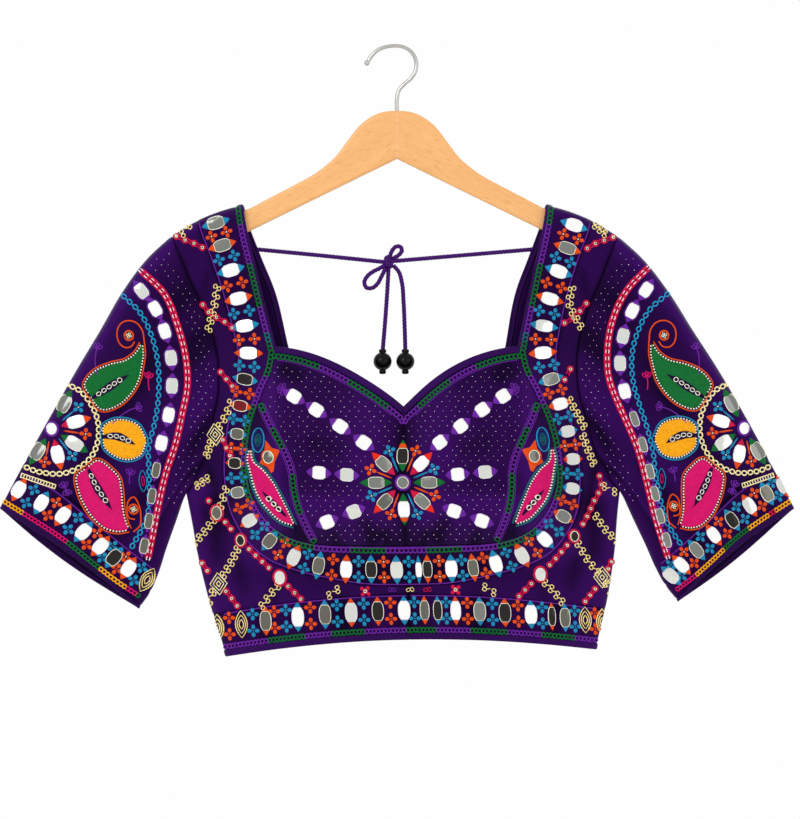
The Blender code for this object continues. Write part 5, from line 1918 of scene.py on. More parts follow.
@dataclass(frozen=True)
class Lens:
    """A pointed oval: its half width falls off with a power of the distance from its middle. A
    mirror fills its middle, between two satin tips."""

    half_length: float
    half_width: float
    glass: tuple[float, float]  # where the mirror starts and ends along it
    power: float = 2.3

    def width_at(self, u: np.ndarray) -> np.ndarray:
        """Half the width at each distance from the middle."""
        return self.half_width * np.clip(1 - (np.abs(u) / self.half_length) ** self.power, 0.0, 1)

    def sides(self, start: float, end: float, count: int, inset_by: float = 0.0) -> tuple[np.ndarray, ...]:
        """Both edges between two places along it."""
        u = np.linspace(start, end, count)
        w = np.maximum(self.width_at(u) - inset_by, 0.02)
        return stacked(u, w), stacked(u, -w)

    def pointed(self, count: int) -> np.ndarray:
        """The outline of the whole oval, from tip to tip and back."""
        upper, lower = self.sides(-self.half_length, self.half_length, count)
        return np.vstack([upper[:-1], lower[::-1][:-1]])

    def across_glass(self) -> tuple[np.ndarray, np.ndarray]:
        """Places along the mirror with half its width there, its four corners cut a little round."""
        u = np.linspace(*self.glass, 7)
        w = self.width_at(u)
        w[[0, -1]] *= 0.82
        return u, w

    def outline(self) -> np.ndarray:
        """The mirror's outline."""
        u, w = self.across_glass()
        return np.vstack([stacked(u, w), stacked(u, -w)[::-1]])

    def mirror(self) -> Shape:
        """The glass, very slightly domed."""
        u, w = self.across_glass()
        across, along_it = np.linspace(-1, 1, 5), np.linspace(-1, 1, len(u))[:, None]
        flat = stacked(u[:, None], w[:, None] * across)
        up = 0.75 + 0.35 * (1 - across**2) * (1 - along_it**2)
        return from_grid(raised(flat, up), flat.copy())

    def rim(self, width: float = 1.1) -> Shape:
        """The thread that holds the glass down."""
        return strand(self.outline(), width, 1.25, closed=True)

    def tip(self, start: float, end: float) -> Shape:
        """A satin tip between two places along it."""
        return satin(*self.sides(start, end, 5), 0.9, 4)


class Glass(Enum):
    """The mirrors' tones, by a letter. Each is a painted reflection: the glass's colour stands in for what
    that mirror reflects.
    """

    WHITE = "w"
    PALE = "l"
    GREY = "g"
    DULL = "d"
    DARK = "k"
    RED = "r"  # dark, with crimson cloth reflected in it

    @property
    def finish(self) -> Finish:
        """Its silvered glass."""
        return {
            Glass.RED: Finishes.ruby_glass,
            Glass.WHITE: Finishes.bright_glass,
            Glass.PALE: Finishes.pale_glass,
            Glass.GREY: Finishes.grey_glass,
            Glass.DULL: Finishes.dull_glass,
            Glass.DARK: Finishes.dark_glass,
        }[self]

    @property
    def rim(self) -> Finish:
        """White thread is lost against bright glass; cream shows round the darker ones."""
        return Finishes.white if self in (Glass.WHITE, Glass.PALE) else Finishes.cream


# ---------------------------------------------------------------- needlework: onto the cloth


class Relief:
    """A map of the cloth's outer face, read by rays straight from the front or the back on a square
    grid, because the walls and their dips are known only once they are made."""

    def __init__(self, face: Face, cloth: list[bpy.types.Object], step: float = 1.5) -> None:
        """Reads the map.

        Args:
            face: The face that is read.
            cloth: The pieces that show on it.
            step: The grid's step.
        """
        self.face = face
        low, high = (np.array(corner) / MM for corner in cad_box)
        self.xs = np.arange(low[0] - 6, high[0] + 6, step)
        self.zs = np.arange(low[2] - 4, -136.0, step)
        points, faces, count = [], [], 0
        graph = bpy.context.evaluated_depsgraph_get()
        for thing in cloth:
            mesh = thing.evaluated_get(graph).to_mesh()
            mesh.calc_loop_triangles()
            co = np.empty(len(mesh.vertices) * 3, np.float32)
            mesh.vertices.foreach_get("co", co)
            corners = np.empty(len(mesh.loop_triangles) * 3, np.int32)
            mesh.loop_triangles.foreach_get("vertices", corners)
            points.append(co.reshape(-1, 3) / MM)
            faces.append(corners.reshape(-1, 3) + count)
            count += len(points[-1])
            thing.evaluated_get(graph).to_mesh_clear()
        tree = BVHTree.FromPolygons(np.vstack(points).tolist(), np.vstack(faces).tolist())
        start, ahead = face.value * 200.0, (0.0, -face.value, 0.0)
        hits = [[tree.ray_cast((x, start, z), ahead)[0] for z in self.zs] for x in self.xs]
        deep = np.array([[math.nan if hit is None else hit[1] for hit in row] for row in hits])
        self.y = self.spread(np.where(deep * face.value < -1.5, math.nan, deep))
        slopes = np.gradient(self.y, self.xs, self.zs)
        self.slope_x, self.slope_z = (self.spread(self.spread(slope)) for slope in slopes)

    def spread(self, table: np.ndarray) -> np.ndarray:
        """Empty cells beside full ones take the mean of their full neighbours, so that stitches can
        reach the very edge of the cloth."""
        wide = np.pad(table, 1, constant_values=math.nan)
        size = table.shape
        around = [wide[i : i + size[0], j : j + size[1]] for i in range(3) for j in range(3)]
        full = sum(~np.isnan(part) for part in around)
        total = sum(np.nan_to_num(part) for part in around)
        return np.where(np.isnan(table) & (full > 0), total / np.maximum(full, 1), table)

    def read(self, x: np.ndarray, z: np.ndarray) -> tuple[np.ndarray, np.ndarray]:
        """Depth and unit normal at places, each read between its four neighbours in the map.

        Args:
            x: Across.
            z: Up.

        Returns:
            y, and the normals; not a number off the cloth or where it turns steeply away.
        """
        i = (x - self.xs[0]) / (self.xs[1] - self.xs[0])
        j = (z - self.zs[0]) / (self.zs[1] - self.zs[0])
        off = (i < 0) | (j < 0) | (i > len(self.xs) - 2) | (j > len(self.zs) - 2)
        i, j = np.clip(i, 0, len(self.xs) - 2.001), np.clip(j, 0, len(self.zs) - 2.001)
        i0, j0 = i.astype(int), j.astype(int)
        u, v = i - i0, j - j0

        def blend(table: np.ndarray) -> np.ndarray:
            """The table's value between four neighbours."""
            low = (1 - v) * table[i0, j0] + v * table[i0, j0 + 1]
            return (1 - u) * low + u * ((1 - v) * table[i0 + 1, j0] + v * table[i0 + 1, j0 + 1])

        y, fx, fz = blend(self.y), blend(self.slope_x), blend(self.slope_z)
        off = off | np.isnan(fx + fz) | (np.hypot(fx, fz) > 2.6)
        normal = self.face.value * stacked(-fx, np.ones_like(fx), -fz)
        return np.where(off, math.nan, y), unit(normal)


class Needlework:
    """Collects flat shapes by finish, face and side, then bends them onto the cloth and joins each
    collection into one piece."""

    cell = 2.0
    register = (220, 260)

    def __init__(self, form: Form, reliefs: dict[Face, Relief]) -> None:
        """Starts with nothing laid.

        Args:
            form: The form that the half pattern is hung on.
            reliefs: The map of each face.
        """
        self.form = form
        self.reliefs = reliefs
        self.laid: dict[tuple[Finish, Face, int], list[Shape]] = {}
        self.taken = {face: np.zeros(self.register, bool) for face in Face}

    def lay(
        self,
        finish: Finish,
        shape: Shape,
        at: Place = (0.0, 0.0),
        turn: float = 0.0,
        sides: tuple[int, ...] = (-1, 1),
        face: Face = Face.FRONT,
    ) -> None:
        """Lays a shape on the half pattern.

        Args:
            finish: Its thread or glass.
            shape: The flat shape.
            at: The place (a, w) of its origin.
            turn: The direction of its u axis, in radians.
            sides: The halves that take it.
            face: The front or the back.
        """
        placed = shape.turned(turn).moved(*at)
        for side in sides:
            self.laid.setdefault((finish, face, side), []).append(placed)
        i, j = self.cells(placed.points)
        self.taken[face][i, j] = True

    def cells(self, points: np.ndarray) -> tuple[np.ndarray, np.ndarray]:
        """The cells of the register of taken cloth that hold points (a, w)."""
        places = stacked(points[:, 0] / self.cell + 20, points[:, 1] / -self.cell - 30).astype(int)
        return tuple(np.clip(places, 0, np.array(self.register) - 1).T)

    def free(self, points: np.ndarray, face: Face) -> np.ndarray:
        """Whether each point (a, w) has untouched cloth round it."""
        busy = self.taken[face]
        wide = busy.copy()
        for axis in (0, 1):
            for shift in (-1, 1):
                wide |= np.roll(busy, shift, axis=axis)
        i, j = self.cells(points)
        return ~wide[i, j]

    def make(self) -> None:
        """Makes one piece for each finish and face."""
        keys = sorted({(finish.name, face.label) for finish, face, _ in self.laid})
        for name, label in keys:
            points, faces, uvs, count = [], [], [], 0
            for (finish, face, side), shapes in self.laid.items():
                if (finish.name, face.label) != (name, label):
                    continue
                used = finish
                whole = joined(*shapes)
                bent, kept = self.bend(whole, side, face)
                points.append(bent)
                faces.append(kept + count)
                uvs.append(whole.uv)
                count += len(bent)
            self.finish(f"{name}_{label}", used, np.vstack(points), np.vstack(faces), np.vstack(uvs))

    def bend(self, shape: Shape, side: int, face: Face) -> tuple[np.ndarray, np.ndarray]:
        """Puts a shape on the cloth: each point goes to its place on the hung half, then off the
        cloth's surface along its normal by its height.

        Args:
            shape: The shape on the half pattern.
            side: The half.
            face: The front or the back.

        Returns:
            Points x, y, z and the triangles whose three points are on the cloth.
        """
        a, w, h = shape.points.T
        shift = np.zeros(len(a))
        if face is Face.FRONT:
            reach = (a**2 + (w - self.form.sweetheart_z) ** 2) / self.form.neck_point_reach**2
            shift = self.form.neck_point_shift * np.exp(-reach)
        flat = self.form.hang(stacked(side * a + shift, w))
        y, normal = self.reliefs[face].read(flat[:, 0], flat[:, 1])
        points = stacked(flat[:, 0], y, flat[:, 1]) + normal * h[:, None]
        faces = shape.faces[~np.isnan(y[shape.faces]).any(axis=1)]
        if side * face.value > 0:
            faces = faces[:, ::-1]
        return points, faces

    def finish(
        self, name: str, finish: Finish, points: np.ndarray, faces: np.ndarray, uv: np.ndarray
    ) -> None:
        """Drops the points that no triangle uses and makes the piece."""
        if not len(faces):
            return
        used, numbers = np.unique(faces, return_inverse=True)
        thing = new_mesh(name, points[used], numbers.reshape(-1, 3), uv[used] * MM)
        finish_piece(thing, finish)
        LOG.info("%s: %d triangles", name, len(faces))


@dataclass
class Stitches:
    """The motifs, each of several threads laid together."""

    work: Needlework
    flower_reach: float = 3.4
    flower_petal: tuple[float, float] = (2.35, 1.95)  # half lengths outwards and across
    link: tuple[float, float] = (2.0, 2.15)  # half lengths along and across the chain
    link_pitch: float = 4.0
    scroll_pitch: float = 7.1
    white_pitch: float = 6.3

    def mirror(
        self,
        lens: Lens,
        glass: Glass,
        tips: tuple[Finish, Finish],
        at: Place,
        turn: float,
        halo: Finish | None = None,
        **where: object,
    ) -> None:
        """A mirror held by thread, between a satin tip at its start and one at its end.

        Args:
            lens: Its shape.
            glass: Its tone.
            tips: The two tips' floss.
            at: Its middle.
            turn: Its direction, from one tip to the other.
            halo: A thin outline outside the mirror, if it has one.
            where: Sides and face.
        """
        lay, (start, end) = self.work.lay, lens.glass
        lay(glass.finish, lens.mirror(), at, turn, **where)
        lay(glass.rim, lens.rim(0.8), at, turn, **where)
        lay(tips[0], lens.tip(-lens.half_length, start), at, turn, **where)
        lay(tips[1], lens.tip(end, lens.half_length), at, turn, **where)
        if halo:
            lay(halo, strand(lens.outline() * (1.14, 1.24), 0.8, 0.5, closed=True), at, turn, **where)

    def flower(self, finish: Finish, at: Place, turn: float, eye: bool = False, **where: object) -> None:
        """Four satin petals round a middle, some with a white stitch there."""
        petal = knot(*self.flower_petal).moved(self.flower_reach)
        dots = [petal.turned(k * RIGHT_ANGLE) for k in range(4)]
        self.work.lay(finish, joined(*dots), at, turn, **where)
        self.work.lay(Finishes.cream if eye else finish, pip(0.8, 0.8, 0.8), at, turn, **where)

    def posy(self, finish: Finish, at: Place, turn: float, stem: float, **where: object) -> None:
        """A flower on a straight stem that runs back from it."""
        self.flower(finish, at, turn, True, **where)
        line = stacked(np.linspace(-stem, -5.4, 6), np.zeros(6))
        self.work.lay(finish, strand(line, 1.9, 0.8, taper=True), at, turn, **where)

    def every(self, line: np.ndarray, pitch: float) -> list[tuple[Place, float]]:
        """Evenly spaced places on a line, each with the line's direction there."""
        places = evenly(line, pitch)
        return list(zip(map(tuple, places), headings(places)))

    def chain(
        self,
        line: np.ndarray,
        lengths: tuple[tuple[Finish, float], ...],
        lean: float = 0.0,
        narrow: float = 1.0,
        pitch: float = 4.0,
        **where: object,
    ) -> None:
        """A band of wide chain stitches with a dark hole in each, in stretches of colour.

        Args:
            line: The band's middle.
            lengths: Each stretch's floss and length, taken again from the first at the end.
            lean: How far each second stitch leans over.
            narrow: Share of the full width.
            pitch: From link to link.
            where: Sides and face.
        """
        ends = np.cumsum([length for _, length in lengths])
        rx, ry = self.link
        link = hoop(rx * pitch / self.link_pitch, ry * narrow, 1.6, 0.75, 8, 2.6)
        for k, (place, turn) in enumerate(self.every(line, pitch)):
            number = int(np.searchsorted(ends, (k + 0.5) * pitch % ends[-1]))
            leaning = turn + (lean if k % 2 else -lean)
            self.work.lay(lengths[number][0], link, place, leaning, **where)

    def linked(
        self,
        finish: Finish,
        line: np.ndarray,
        pitch: float,
        size: tuple[float, float, float],
        **where: object,
    ) -> None:
        """A chain of rings, each caught down to the next by a short stitch.

        Args:
            finish: Its thread.
            line: Its middle.
            pitch: From ring to ring.
            size: Half the length and half the width of a ring, and its thread's width.
            where: Sides and face.
        """
        places = self.every(line, pitch)
        rx, ry, width = size
        ring = hoop(rx, ry, width, 0.8, 8)
        stitch = strand(np.array([(rx - 0.4, -0.3), (pitch / 2, 0.3), (pitch - rx + 0.4, 0.5)]), width, 0.6)
        for k, (place, turn) in enumerate(places):
            self.work.lay(finish, ring, place, turn + (0.12 if k % 2 else -0.12), **where)
            if k < len(places) - 1:
                self.work.lay(finish, stitch, place, turn, **where)

    def line(
        self, finish: Finish, line: np.ndarray, width: float, height: float = 0.6, **where: object
    ) -> None:
        """One thread along a line."""
        self.work.lay(finish, strand(evenly(line, 2.2), width, height), **where)

    def double_beaded(self, line: np.ndarray, **where: object) -> None:
        """Two crimson cords side by side, with a pair of long white stitches every few millimetres."""
        for side in (-1, 1):
            self.line(Finishes.crimson, moved_sideways(evenly(line, 2.2), side * 1.65), 3.3, 0.8, **where)
        pair = joined(
            strand(np.array([(-1.6, 1.15), (0.0, 1.5), (1.6, 1.15)]), 1.25, 1.3),
            strand(np.array([(-1.3, -1.1), (0.2, -1.45), (1.7, -1.1)]), 1.05, 1.3),
        )
        for place, turn in self.every(line, self.white_pitch):
            self.work.lay(Finishes.white, pair, place, turn, **where)

    def scroll(self, line: np.ndarray, **where: object) -> None:
        """Gold wirework: pairs of rings side by side, joined by slanting stitches."""
        places, ring = self.every(line, self.scroll_pitch), hoop(1.95, 1.65, 1.05, 0.9, 8)
        pair = joined(ring.moved(-0.75, 1.75), ring.moved(0.85, -1.75))
        slant = strand(np.array([(2.1, -0.9), (3.5, 0.3), (5.0, 1.5)]), 1.0, 0.8)
        for k, (place, turn) in enumerate(places):
            self.work.lay(Finishes.zari, pair, place, turn, **where)
            if k < len(places) - 1:
                self.work.lay(Finishes.zari, slant, place, turn, **where)

    def nested(
        self,
        finish: Finish,
        outline: np.ndarray,
        shares: tuple[float, ...],
        at: Place,
        turn: float = 0.0,
        **where: object,
    ) -> None:
        """The same closed outline several times, one inside another."""
        rings = [strand(outline * share, 0.95, 0.9, closed=True) for share in shares]
        self.work.lay(finish, joined(*rings), at, turn, **where)

    def ringed_mirror(
        self, glass: Glass, size: tuple[float, float], at: Place, ring: Finish, **where: object
    ) -> None:
        """A small oval mirror in a ring of thread."""
        rx, ry = size
        face = turned_profile(rx, ry, ((1.0, 0.7), (0.5, 1.0), (0.02, 1.05)), 16)
        self.work.lay(glass.finish, face, at, 0.0, **where)
        self.work.lay(glass.rim, hoop(rx, ry, 0.9, 1.2, 16), at, 0.0, **where)
        self.work.lay(ring, hoop(rx + 1.35, ry + 1.35, 2.0, 1.0, 18), at, 0.0, **where)

    def patch(
        self, finish: Finish, left: np.ndarray, right: np.ndarray, height: float, **where: object
    ) -> None:
        """Satin between two smooth lines from one end to the other."""
        shares = np.linspace(0, 1, 26)
        self.work.lay(finish, satin(along(left, shares), along(right, shares), height, 8), **where)

    def leaf(
        self,
        fill: Finish,
        cords: tuple[Finish, Finish],
        left: Rows,
        right: Rows,
        eyelet: Rows,
        rings: tuple[float, float, int],
        slit_half: float = 4.7,
        **where: object,
    ) -> None:
        """A satin leaf edged with pin beads and a cord, with a dark slit at its heart.

        Args:
            fill: Its satin.
            cords: The cords outside its two edges.
            left: One edge, from the base to the tip.
            right: The other edge, from the base to the tip.
            eyelet: The line of the slit.
            rings: The shares of the slit where its small rings start and end, and how many they are.
            slit_half: Half the width of the slit.
            where: Sides and face.
        """
        self.patch(fill, np.array(left), np.array(right), 0.9, **where)
        first, second = np.array(left), np.array(right)
        middle = len(first) // 2
        toward = second[len(second) // 2] - first[middle]
        step = first[min(middle + 1, len(first) - 1)] - first[middle]
        sense = np.sign(step[0] * toward[1] - step[1] * toward[0])
        for edge, cord, out in ((first, cords[0], -sense), (second, cords[1], sense)):
            fine = evenly(edge, 2.0)
            self.line(cord, moved_sideways(fine, out * 2.3), 1.35, 1.0, **where)
            border = evenly(moved_sideways(fine, out * 0.35), 2.65)
            dots = joined(*(pip(0.9, 0.9, 1.1).moved(*place) for place in border[1:-1]))
            self.work.lay(Finishes.cream, dots, **where)
        slit = evenly(np.array(eyelet), 1.6)
        share = np.linspace(0, 1, len(slit))
        half = slit_half * np.interp(share, (0, 0.25, 0.5, 0.78, 1), (0.34, 0.8, 1, 0.7, 0.02))
        heading = headings(slit)
        normal = stacked(-np.sin(heading), np.cos(heading)) * np.maximum(half, 0.05)[:, None]
        self.work.lay(Finishes.plum, satin(slit + normal, slit - normal, 1.9, 4), **where)
        start, end, count = rings
        inner = along(np.array(eyelet), np.linspace(start, end, count))
        for k, (place, turn) in enumerate(zip(inner, headings(inner))):
            size = (2.15, 2.0) if k == count - 1 else (2.2, 1.65)
            self.work.lay(Finishes.cream, hoop(*size, 1.15, 2.5, 8), tuple(place), turn, **where)

    def spiral(self, line: Rows, centre: tuple[float, float], **where: object) -> None:
        """A cord that curls in to a ringed gold flower."""
        self.line(Finishes.orange, np.array(line), 1.5, 1.0, **where)
        self.work.lay(Finishes.orange, hoop(4.0, 4.2, 1.9, 1.0, 14), centre, **where)
        petals = [hoop(1.2, 0.9, 0.8, 1.1, 6).moved(1.5).turned(angle) for angle in (0.3, 1.9, 3.4, 5.0)]
        self.work.lay(Finishes.cream, joined(*petals), centre, **where)
        self.work.lay(Finishes.zari, pip(0.8, 0.8, 1.3), centre, **where)

    def sprig(self, finish: Finish, at: Place, turn: float, stem: float, **where: object) -> None:
        """Three small petals on a thin stem that runs back from them."""
        petals = [hoop(2.7, 1.3, 1.2, 0.6, 8).moved(3.0).turned(angle) for angle in (-0.75, 0.0, 0.75)]
        line = stacked(np.linspace(-stem, 0.4, 8), 0.015 * np.linspace(-stem, 0.4, 8) ** 2)
        self.work.lay(finish, joined(*petals, strand(line, 1.3, 0.5)), at, turn, **where)

    def pin_dots(
        self, finish: Finish, outline: np.ndarray, across: float, down: float, size: float, **where: object
    ) -> None:
        """Tiny dots in staggered rows over the cloth inside an outline that is still free."""
        low, high = outline.min(axis=0), outline.max(axis=0)
        rows = np.arange(low[1], high[1], down)
        columns = np.arange(low[0] - across, high[0] + across, across)
        a, w = np.meshgrid(columns, rows)
        a = a + (np.arange(len(rows)) % 2)[:, None] * across / 2
        stray = np.sin(12.9 * a + 4.1 * w)
        points = stacked((a + 0.8 * stray).ravel(), (w + 0.5 * stray[::-1]).ravel())
        keep = within(points, outline) & self.work.free(points, where.get("face", Face.FRONT))
        sizes = size * (1 + 0.2 * np.sin(2.4 * np.arange(len(points))))[keep]
        dots = [pip(half, half, 0.35).moved(*place) for half, place in zip(sizes, points[keep])]
        if dots:
            self.work.lay(finish, joined(*dots), **where)


def floss(letter: str) -> Finish:
    """The thread of a letter in the tables below."""
    return {
        "o": Finishes.orange,
        "b": Finishes.blue,
        "g": Finishes.green,
        "p": Finishes.violet,
        "t": Finishes.teal,
        "c": Finishes.crimson,
        "r": Finishes.red,
        "y": Finishes.yellow,
        "k": Finishes.pink,
    }[letter]


def tips(letter: str) -> tuple[Finish, Finish]:
    """The same floss for both tips of a mirror, or for both cords of a leaf."""
    return floss(letter), floss(letter)


def stretches(text: str) -> tuple[tuple[Finish, float], ...]:
    """Lengths of chain with their threads, from words such as g14: a thread's letter and a length."""
    return tuple((floss(word[0]), float(word[1:])) for word in text.split())


@dataclass(frozen=True)
class BorderWork:
    """The mirror border, the hem border and the chains that edge them."""

    form: Form
    cut: Cut
    stitches: Stitches
    border_lens: Lens = Lens(13.2, 5.3, (-7.3, 7.3), 2.4)
    slim_lens: Lens = Lens(13.2, 2.5, (-6.5, 6.5), 2.6)
    slim_at: Place = (10.4, -469.0)
    glass_growth: float = 0.7  # power of a mirror's share of the full length
    hem_lens: Lens = Lens(13.2, 5.3, (-8.3, 8.3), 2.4)
    cuff_lens: Lens = Lens(12.2, 5.2, (-7.2, 7.2), 2.4)
    flower_off: float = 7.1
    chain_shares: tuple[float, float] = (-0.02, 0.1)  # on the strap, below it
    strap_end_w: float = -285.0
    # place, tip colour, tone, shares of the full width and length
    left_mirrors: tuple[tuple[float, float, str, str, float, float], ...] = (
        (160.6, -158.1, "b", "g", 1.0, 1), (154.8, -178.1, "o", "g", 1.0, 1),
        (147.5, -200.5, "b", "w", 1.04, 1), (141.0, -225.9, "o", "w", 1.04, 1),
        (135.8, -250.5, "b", "w", 1.0, 1), (133.0, -274.9, "o", "w", 1.0, 1),
        (136.7, -298.4, "b", "k", 0.94, 0.9), (141.8, -322.0, "o", "r", 0.9, 0.78),
        (145.5, -347.0, "b", "d", 0.9, 0.68), (149.0, -373.0, "o", "k", 0.9, 0.66),
        (147.6, -399.0, "b", "g", 0.9, 0.7), (138.1, -423.8, "o", "l", 0.96, 0.8),
        (121.3, -441.7, "b", "d", 0.96, 0.88), (100.7, -456.5, "o", "l", 0.98, 0.94),
        (79.0, -464.2, "b", "d", 0.96, 1), (54.5, -467.8, "o", "w", 0.96, 1),
        (32.1, -468.3, "b", "k", 0.92, 1), (9.3, -468.9, "b", "l", 1.0, 1),
    )
    right_mirrors: tuple[tuple[float, float, str, str, float, float], ...] = (
        (161.1, -160.0, "b", "w", 1.0, 1), (155.0, -180.6, "o", "g", 0.96, 1),
        (146.8, -201.5, "b", "w", 1.04, 1), (138.4, -226.2, "o", "w", 1.0, 1),
        (132.6, -250.6, "b", "l", 0.94, 1), (130.6, -274.8, "o", "w", 1.0, 1),
        (136.8, -298.6, "b", "g", 0.96, 0.92), (144.1, -320.8, "o", "w", 0.96, 0.84),
        (150.0, -345.5, "b", "l", 0.94, 0.72), (153.6, -370.5, "r", "l", 0.94, 0.68),
        (151.6, -397.1, "b", "l", 0.94, 0.7), (142.0, -422.0, "o", "g", 0.96, 0.8),
        (124.3, -442.2, "b", "w", 1.0, 0.88), (103.5, -456.8, "o", "l", 1.0, 0.96),
        (79.8, -464.2, "b", "w", 1.0, 1), (59.3, -467.6, "o", "d", 0.84, 1),
        (39.7, -468.2, "b", "w", 0.98, 1), (18.3, -468.5, "o", "k", 0.78, 1),
    )
    # stretches of the border's chain, from the shoulder
    chain_lengths: str = "g14 p38 g40 p24 t7 g31 p31 g38 p18 g31 p31 g41 p33 g31 p20"
    # distance from the centre, tip colour, tone of glass, share of the full width
    hem_left: tuple[tuple[float, str, str, float], ...] = (
        (4.4, "b", "w", 1.0), (28.0, "o", "k", 0.96), (52.0, "o", "l", 1.0), (75.5, "b", "d", 0.98),
        (100.0, "b", "w", 1.0), (129.0, "o", "d", 0.94), (151.0, "", "z", 1.0), (172.5, "", "z", 1.0),
    )
    hem_left_flowers: tuple[tuple[float, str], ...] = (
        (16.5, "o"), (40.5, "b"), (64.5, "b"), (88.5, "o"), (110.5, "b"), (121.0, "o"), (140.5, "b"),
        (162.0, "o"),
    )
    hem_right: tuple[tuple[float, str, str, float], ...] = (
        (13.9, "o", "d", 0.76), (25.6, "b", "k", 0.72), (41.7, "o", "w", 0.84), (63.2, "b", "g", 1.0),
        (85.7, "o", "k", 1.0), (109.0, "b", "w", 1.0), (127.7, "o", "k", 0.62), (139.5, "b", "d", 0.84),
        (157.6, "", "z", 1.0), (173.0, "", "z", 1.0),
    )
    hem_right_flowers: tuple[tuple[float, str], ...] = (
        (4.9, "b"), (33.4, "b"), (52.3, "o"), (74.6, "b"), (97.6, "o"), (119.3, "b"), (148.4, "b"),
        (166.5, "o"),
    )
    hem_back: tuple[tuple[float, str, str, float], ...] = (
        (13.0, "o", "g", 1.0), (38.0, "b", "w", 1.0), (63.0, "o", "l", 1.0), (88.0, "b", "g", 0.92),
        (113.0, "o", "w", 1.0), (139.0, "b", "d", 0.9), (164.5, "o", "g", 0.94),
    )
    hem_back_flowers: tuple[tuple[float, str], ...] = (
        (0.0, "b"), (25.5, "b"), (50.5, "o"), (75.5, "b"), (100.5, "o"), (126.0, "b"), (152.0, "o"),
    )
    # stretches of the hem's chain, from the centre: left, right
    hem_lengths: tuple[str, str] = ("g3 p39 g28 p26 g33 p60", "g25 p29 g34.5 p31 g30.5 p40")
    hem_middle: float = 26.0
    hem_flower: float = 7.3
    cuff_flower: float = 6.9
    hem_chain: float = 8.4
    # place, tip colour, tone
    left_cuff: tuple[tuple[float, float, str, str], ...] = (
        (340.1, -397.5, "o", "w"), (320.5, -409.0, "b", "w"), (302.3, -419.6, "o", "w"),
        (285.6, -434.0, "b", "w"), (271.9, -446.4, "o", "w"), (261.0, -456.3, "b", "k"),
        (249.4, -465.6, "o", "w"), (233.9, -476.0, "", "z"),
    )
    right_cuff: tuple[tuple[float, float, str, str], ...] = (
        (347.0, -393.6, "o", "l"), (331.7, -401.2, "b", "d"), (314.9, -412.2, "o", "l"),
        (297.6, -425.6, "b", "k"), (279.3, -439.5, "o", "w"), (262.0, -453.6, "b", "g"),
        (247.0, -467.4, "o", "w"), (237.2, -477.4, "b", "l"),
    )
    cuff_chain: Rows = (
        (352.3, -408.8), (333.0, -420.6), (301.8, -441.5), (276.2, -463.6), (257.3, -479.1), (242.5, -489.6),
    )
    cuff_edge: Rows = ((337.0, -382.5), (309.2, -398.3), (274.9, -427.4), (228.6, -466.5))

    def gold_lens(self, at: Place, turn: float, **where: object) -> None:
        """Three pointed ovals of gold thread, one inside another."""
        outline = Lens(12.0, 5.4, (0, 0), 2.0).pointed(9)
        self.stitches.nested(Finishes.zari, outline, (1.0, 0.68, 0.36), at, turn, **where)

    def make(self) -> None:
        """All of it."""
        for side in (-1, 1):
            self.border(side)
        self.border_lines()
        self.hem()
        self.cuffs()
        self.necks()

    def border(self, side: int) -> None:
        """The border's mirrors on one side, with a pair of flowers between each two.

        Args:
            side: -1 for the viewer's left, 1 for the right.
        """
        rows = self.left_mirrors if side < 0 else self.right_mirrors
        line = np.array([row[:2] for row in rows])
        turns = headings(line) + RIGHT_ANGLE
        turns[0], turns[-1] = turns[1], math.pi * 1.5
        whole, where = self.border_lens, {"sides": (side,)}
        longs = [row[5] for row in rows]
        for place, turn, (_, _, colour, tone, wide, long) in zip(line, turns, rows):
            start, end = (place * long**self.glass_growth for place in whole.glass)
            lens = Lens(whole.half_length * long, whole.half_width * wide, (start, end), whole.power)
            self.stitches.mirror(lens, Glass(tone), tips(colour), tuple(place), turn, **where)
        for k, (first, second) in enumerate(zip(line, line[1:])):
            turn = (turns[k] + turns[k + 1]) / 2
            across = np.array([math.cos(turn), math.sin(turn)])
            off = self.flower_off * (longs[k] + longs[k + 1]) / 2 * across
            for sense in (-1, 1):
                at = tuple((first + second) / 2 + sense * off)
                self.stitches.flower(floss("ob"[k % 2]), at, turn, k % 4 == 0, **where)
        if side > 0:
            slim = (self.slim_lens, Glass.WHITE, tips("b"), self.slim_at, RIGHT_ANGLE)
            self.stitches.mirror(*slim, **where)
            for up in (-self.flower_off, self.flower_off):
                self.stitches.flower(Finishes.blue, (1.8, -468.8 + up), 0.0, False, **where)

    def border_lines(self) -> None:
        """The border's chain and the thin lines along its two edges. On the straps the chain runs
        closer to the neckline."""
        top = self.cut.fold_rows * self.cut.fine - 4
        strap, lower = (self.cut.band(share)[top:] for share in self.chain_shares)
        below = ease((self.strap_end_w - strap[:, 1]) / 25.0)[:, None]
        self.stitches.chain((1 - below) * strap + below * lower, stretches(self.chain_lengths))
        self.stitches.line(Finishes.violet, self.cut.band(0.965)[top:], 1.2, 0.5)
        inner = self.cut.band(0.02)
        self.stitches.line(Finishes.violet, inner[inner[:, 1] < self.strap_end_w - 14], 1.0, 0.5)

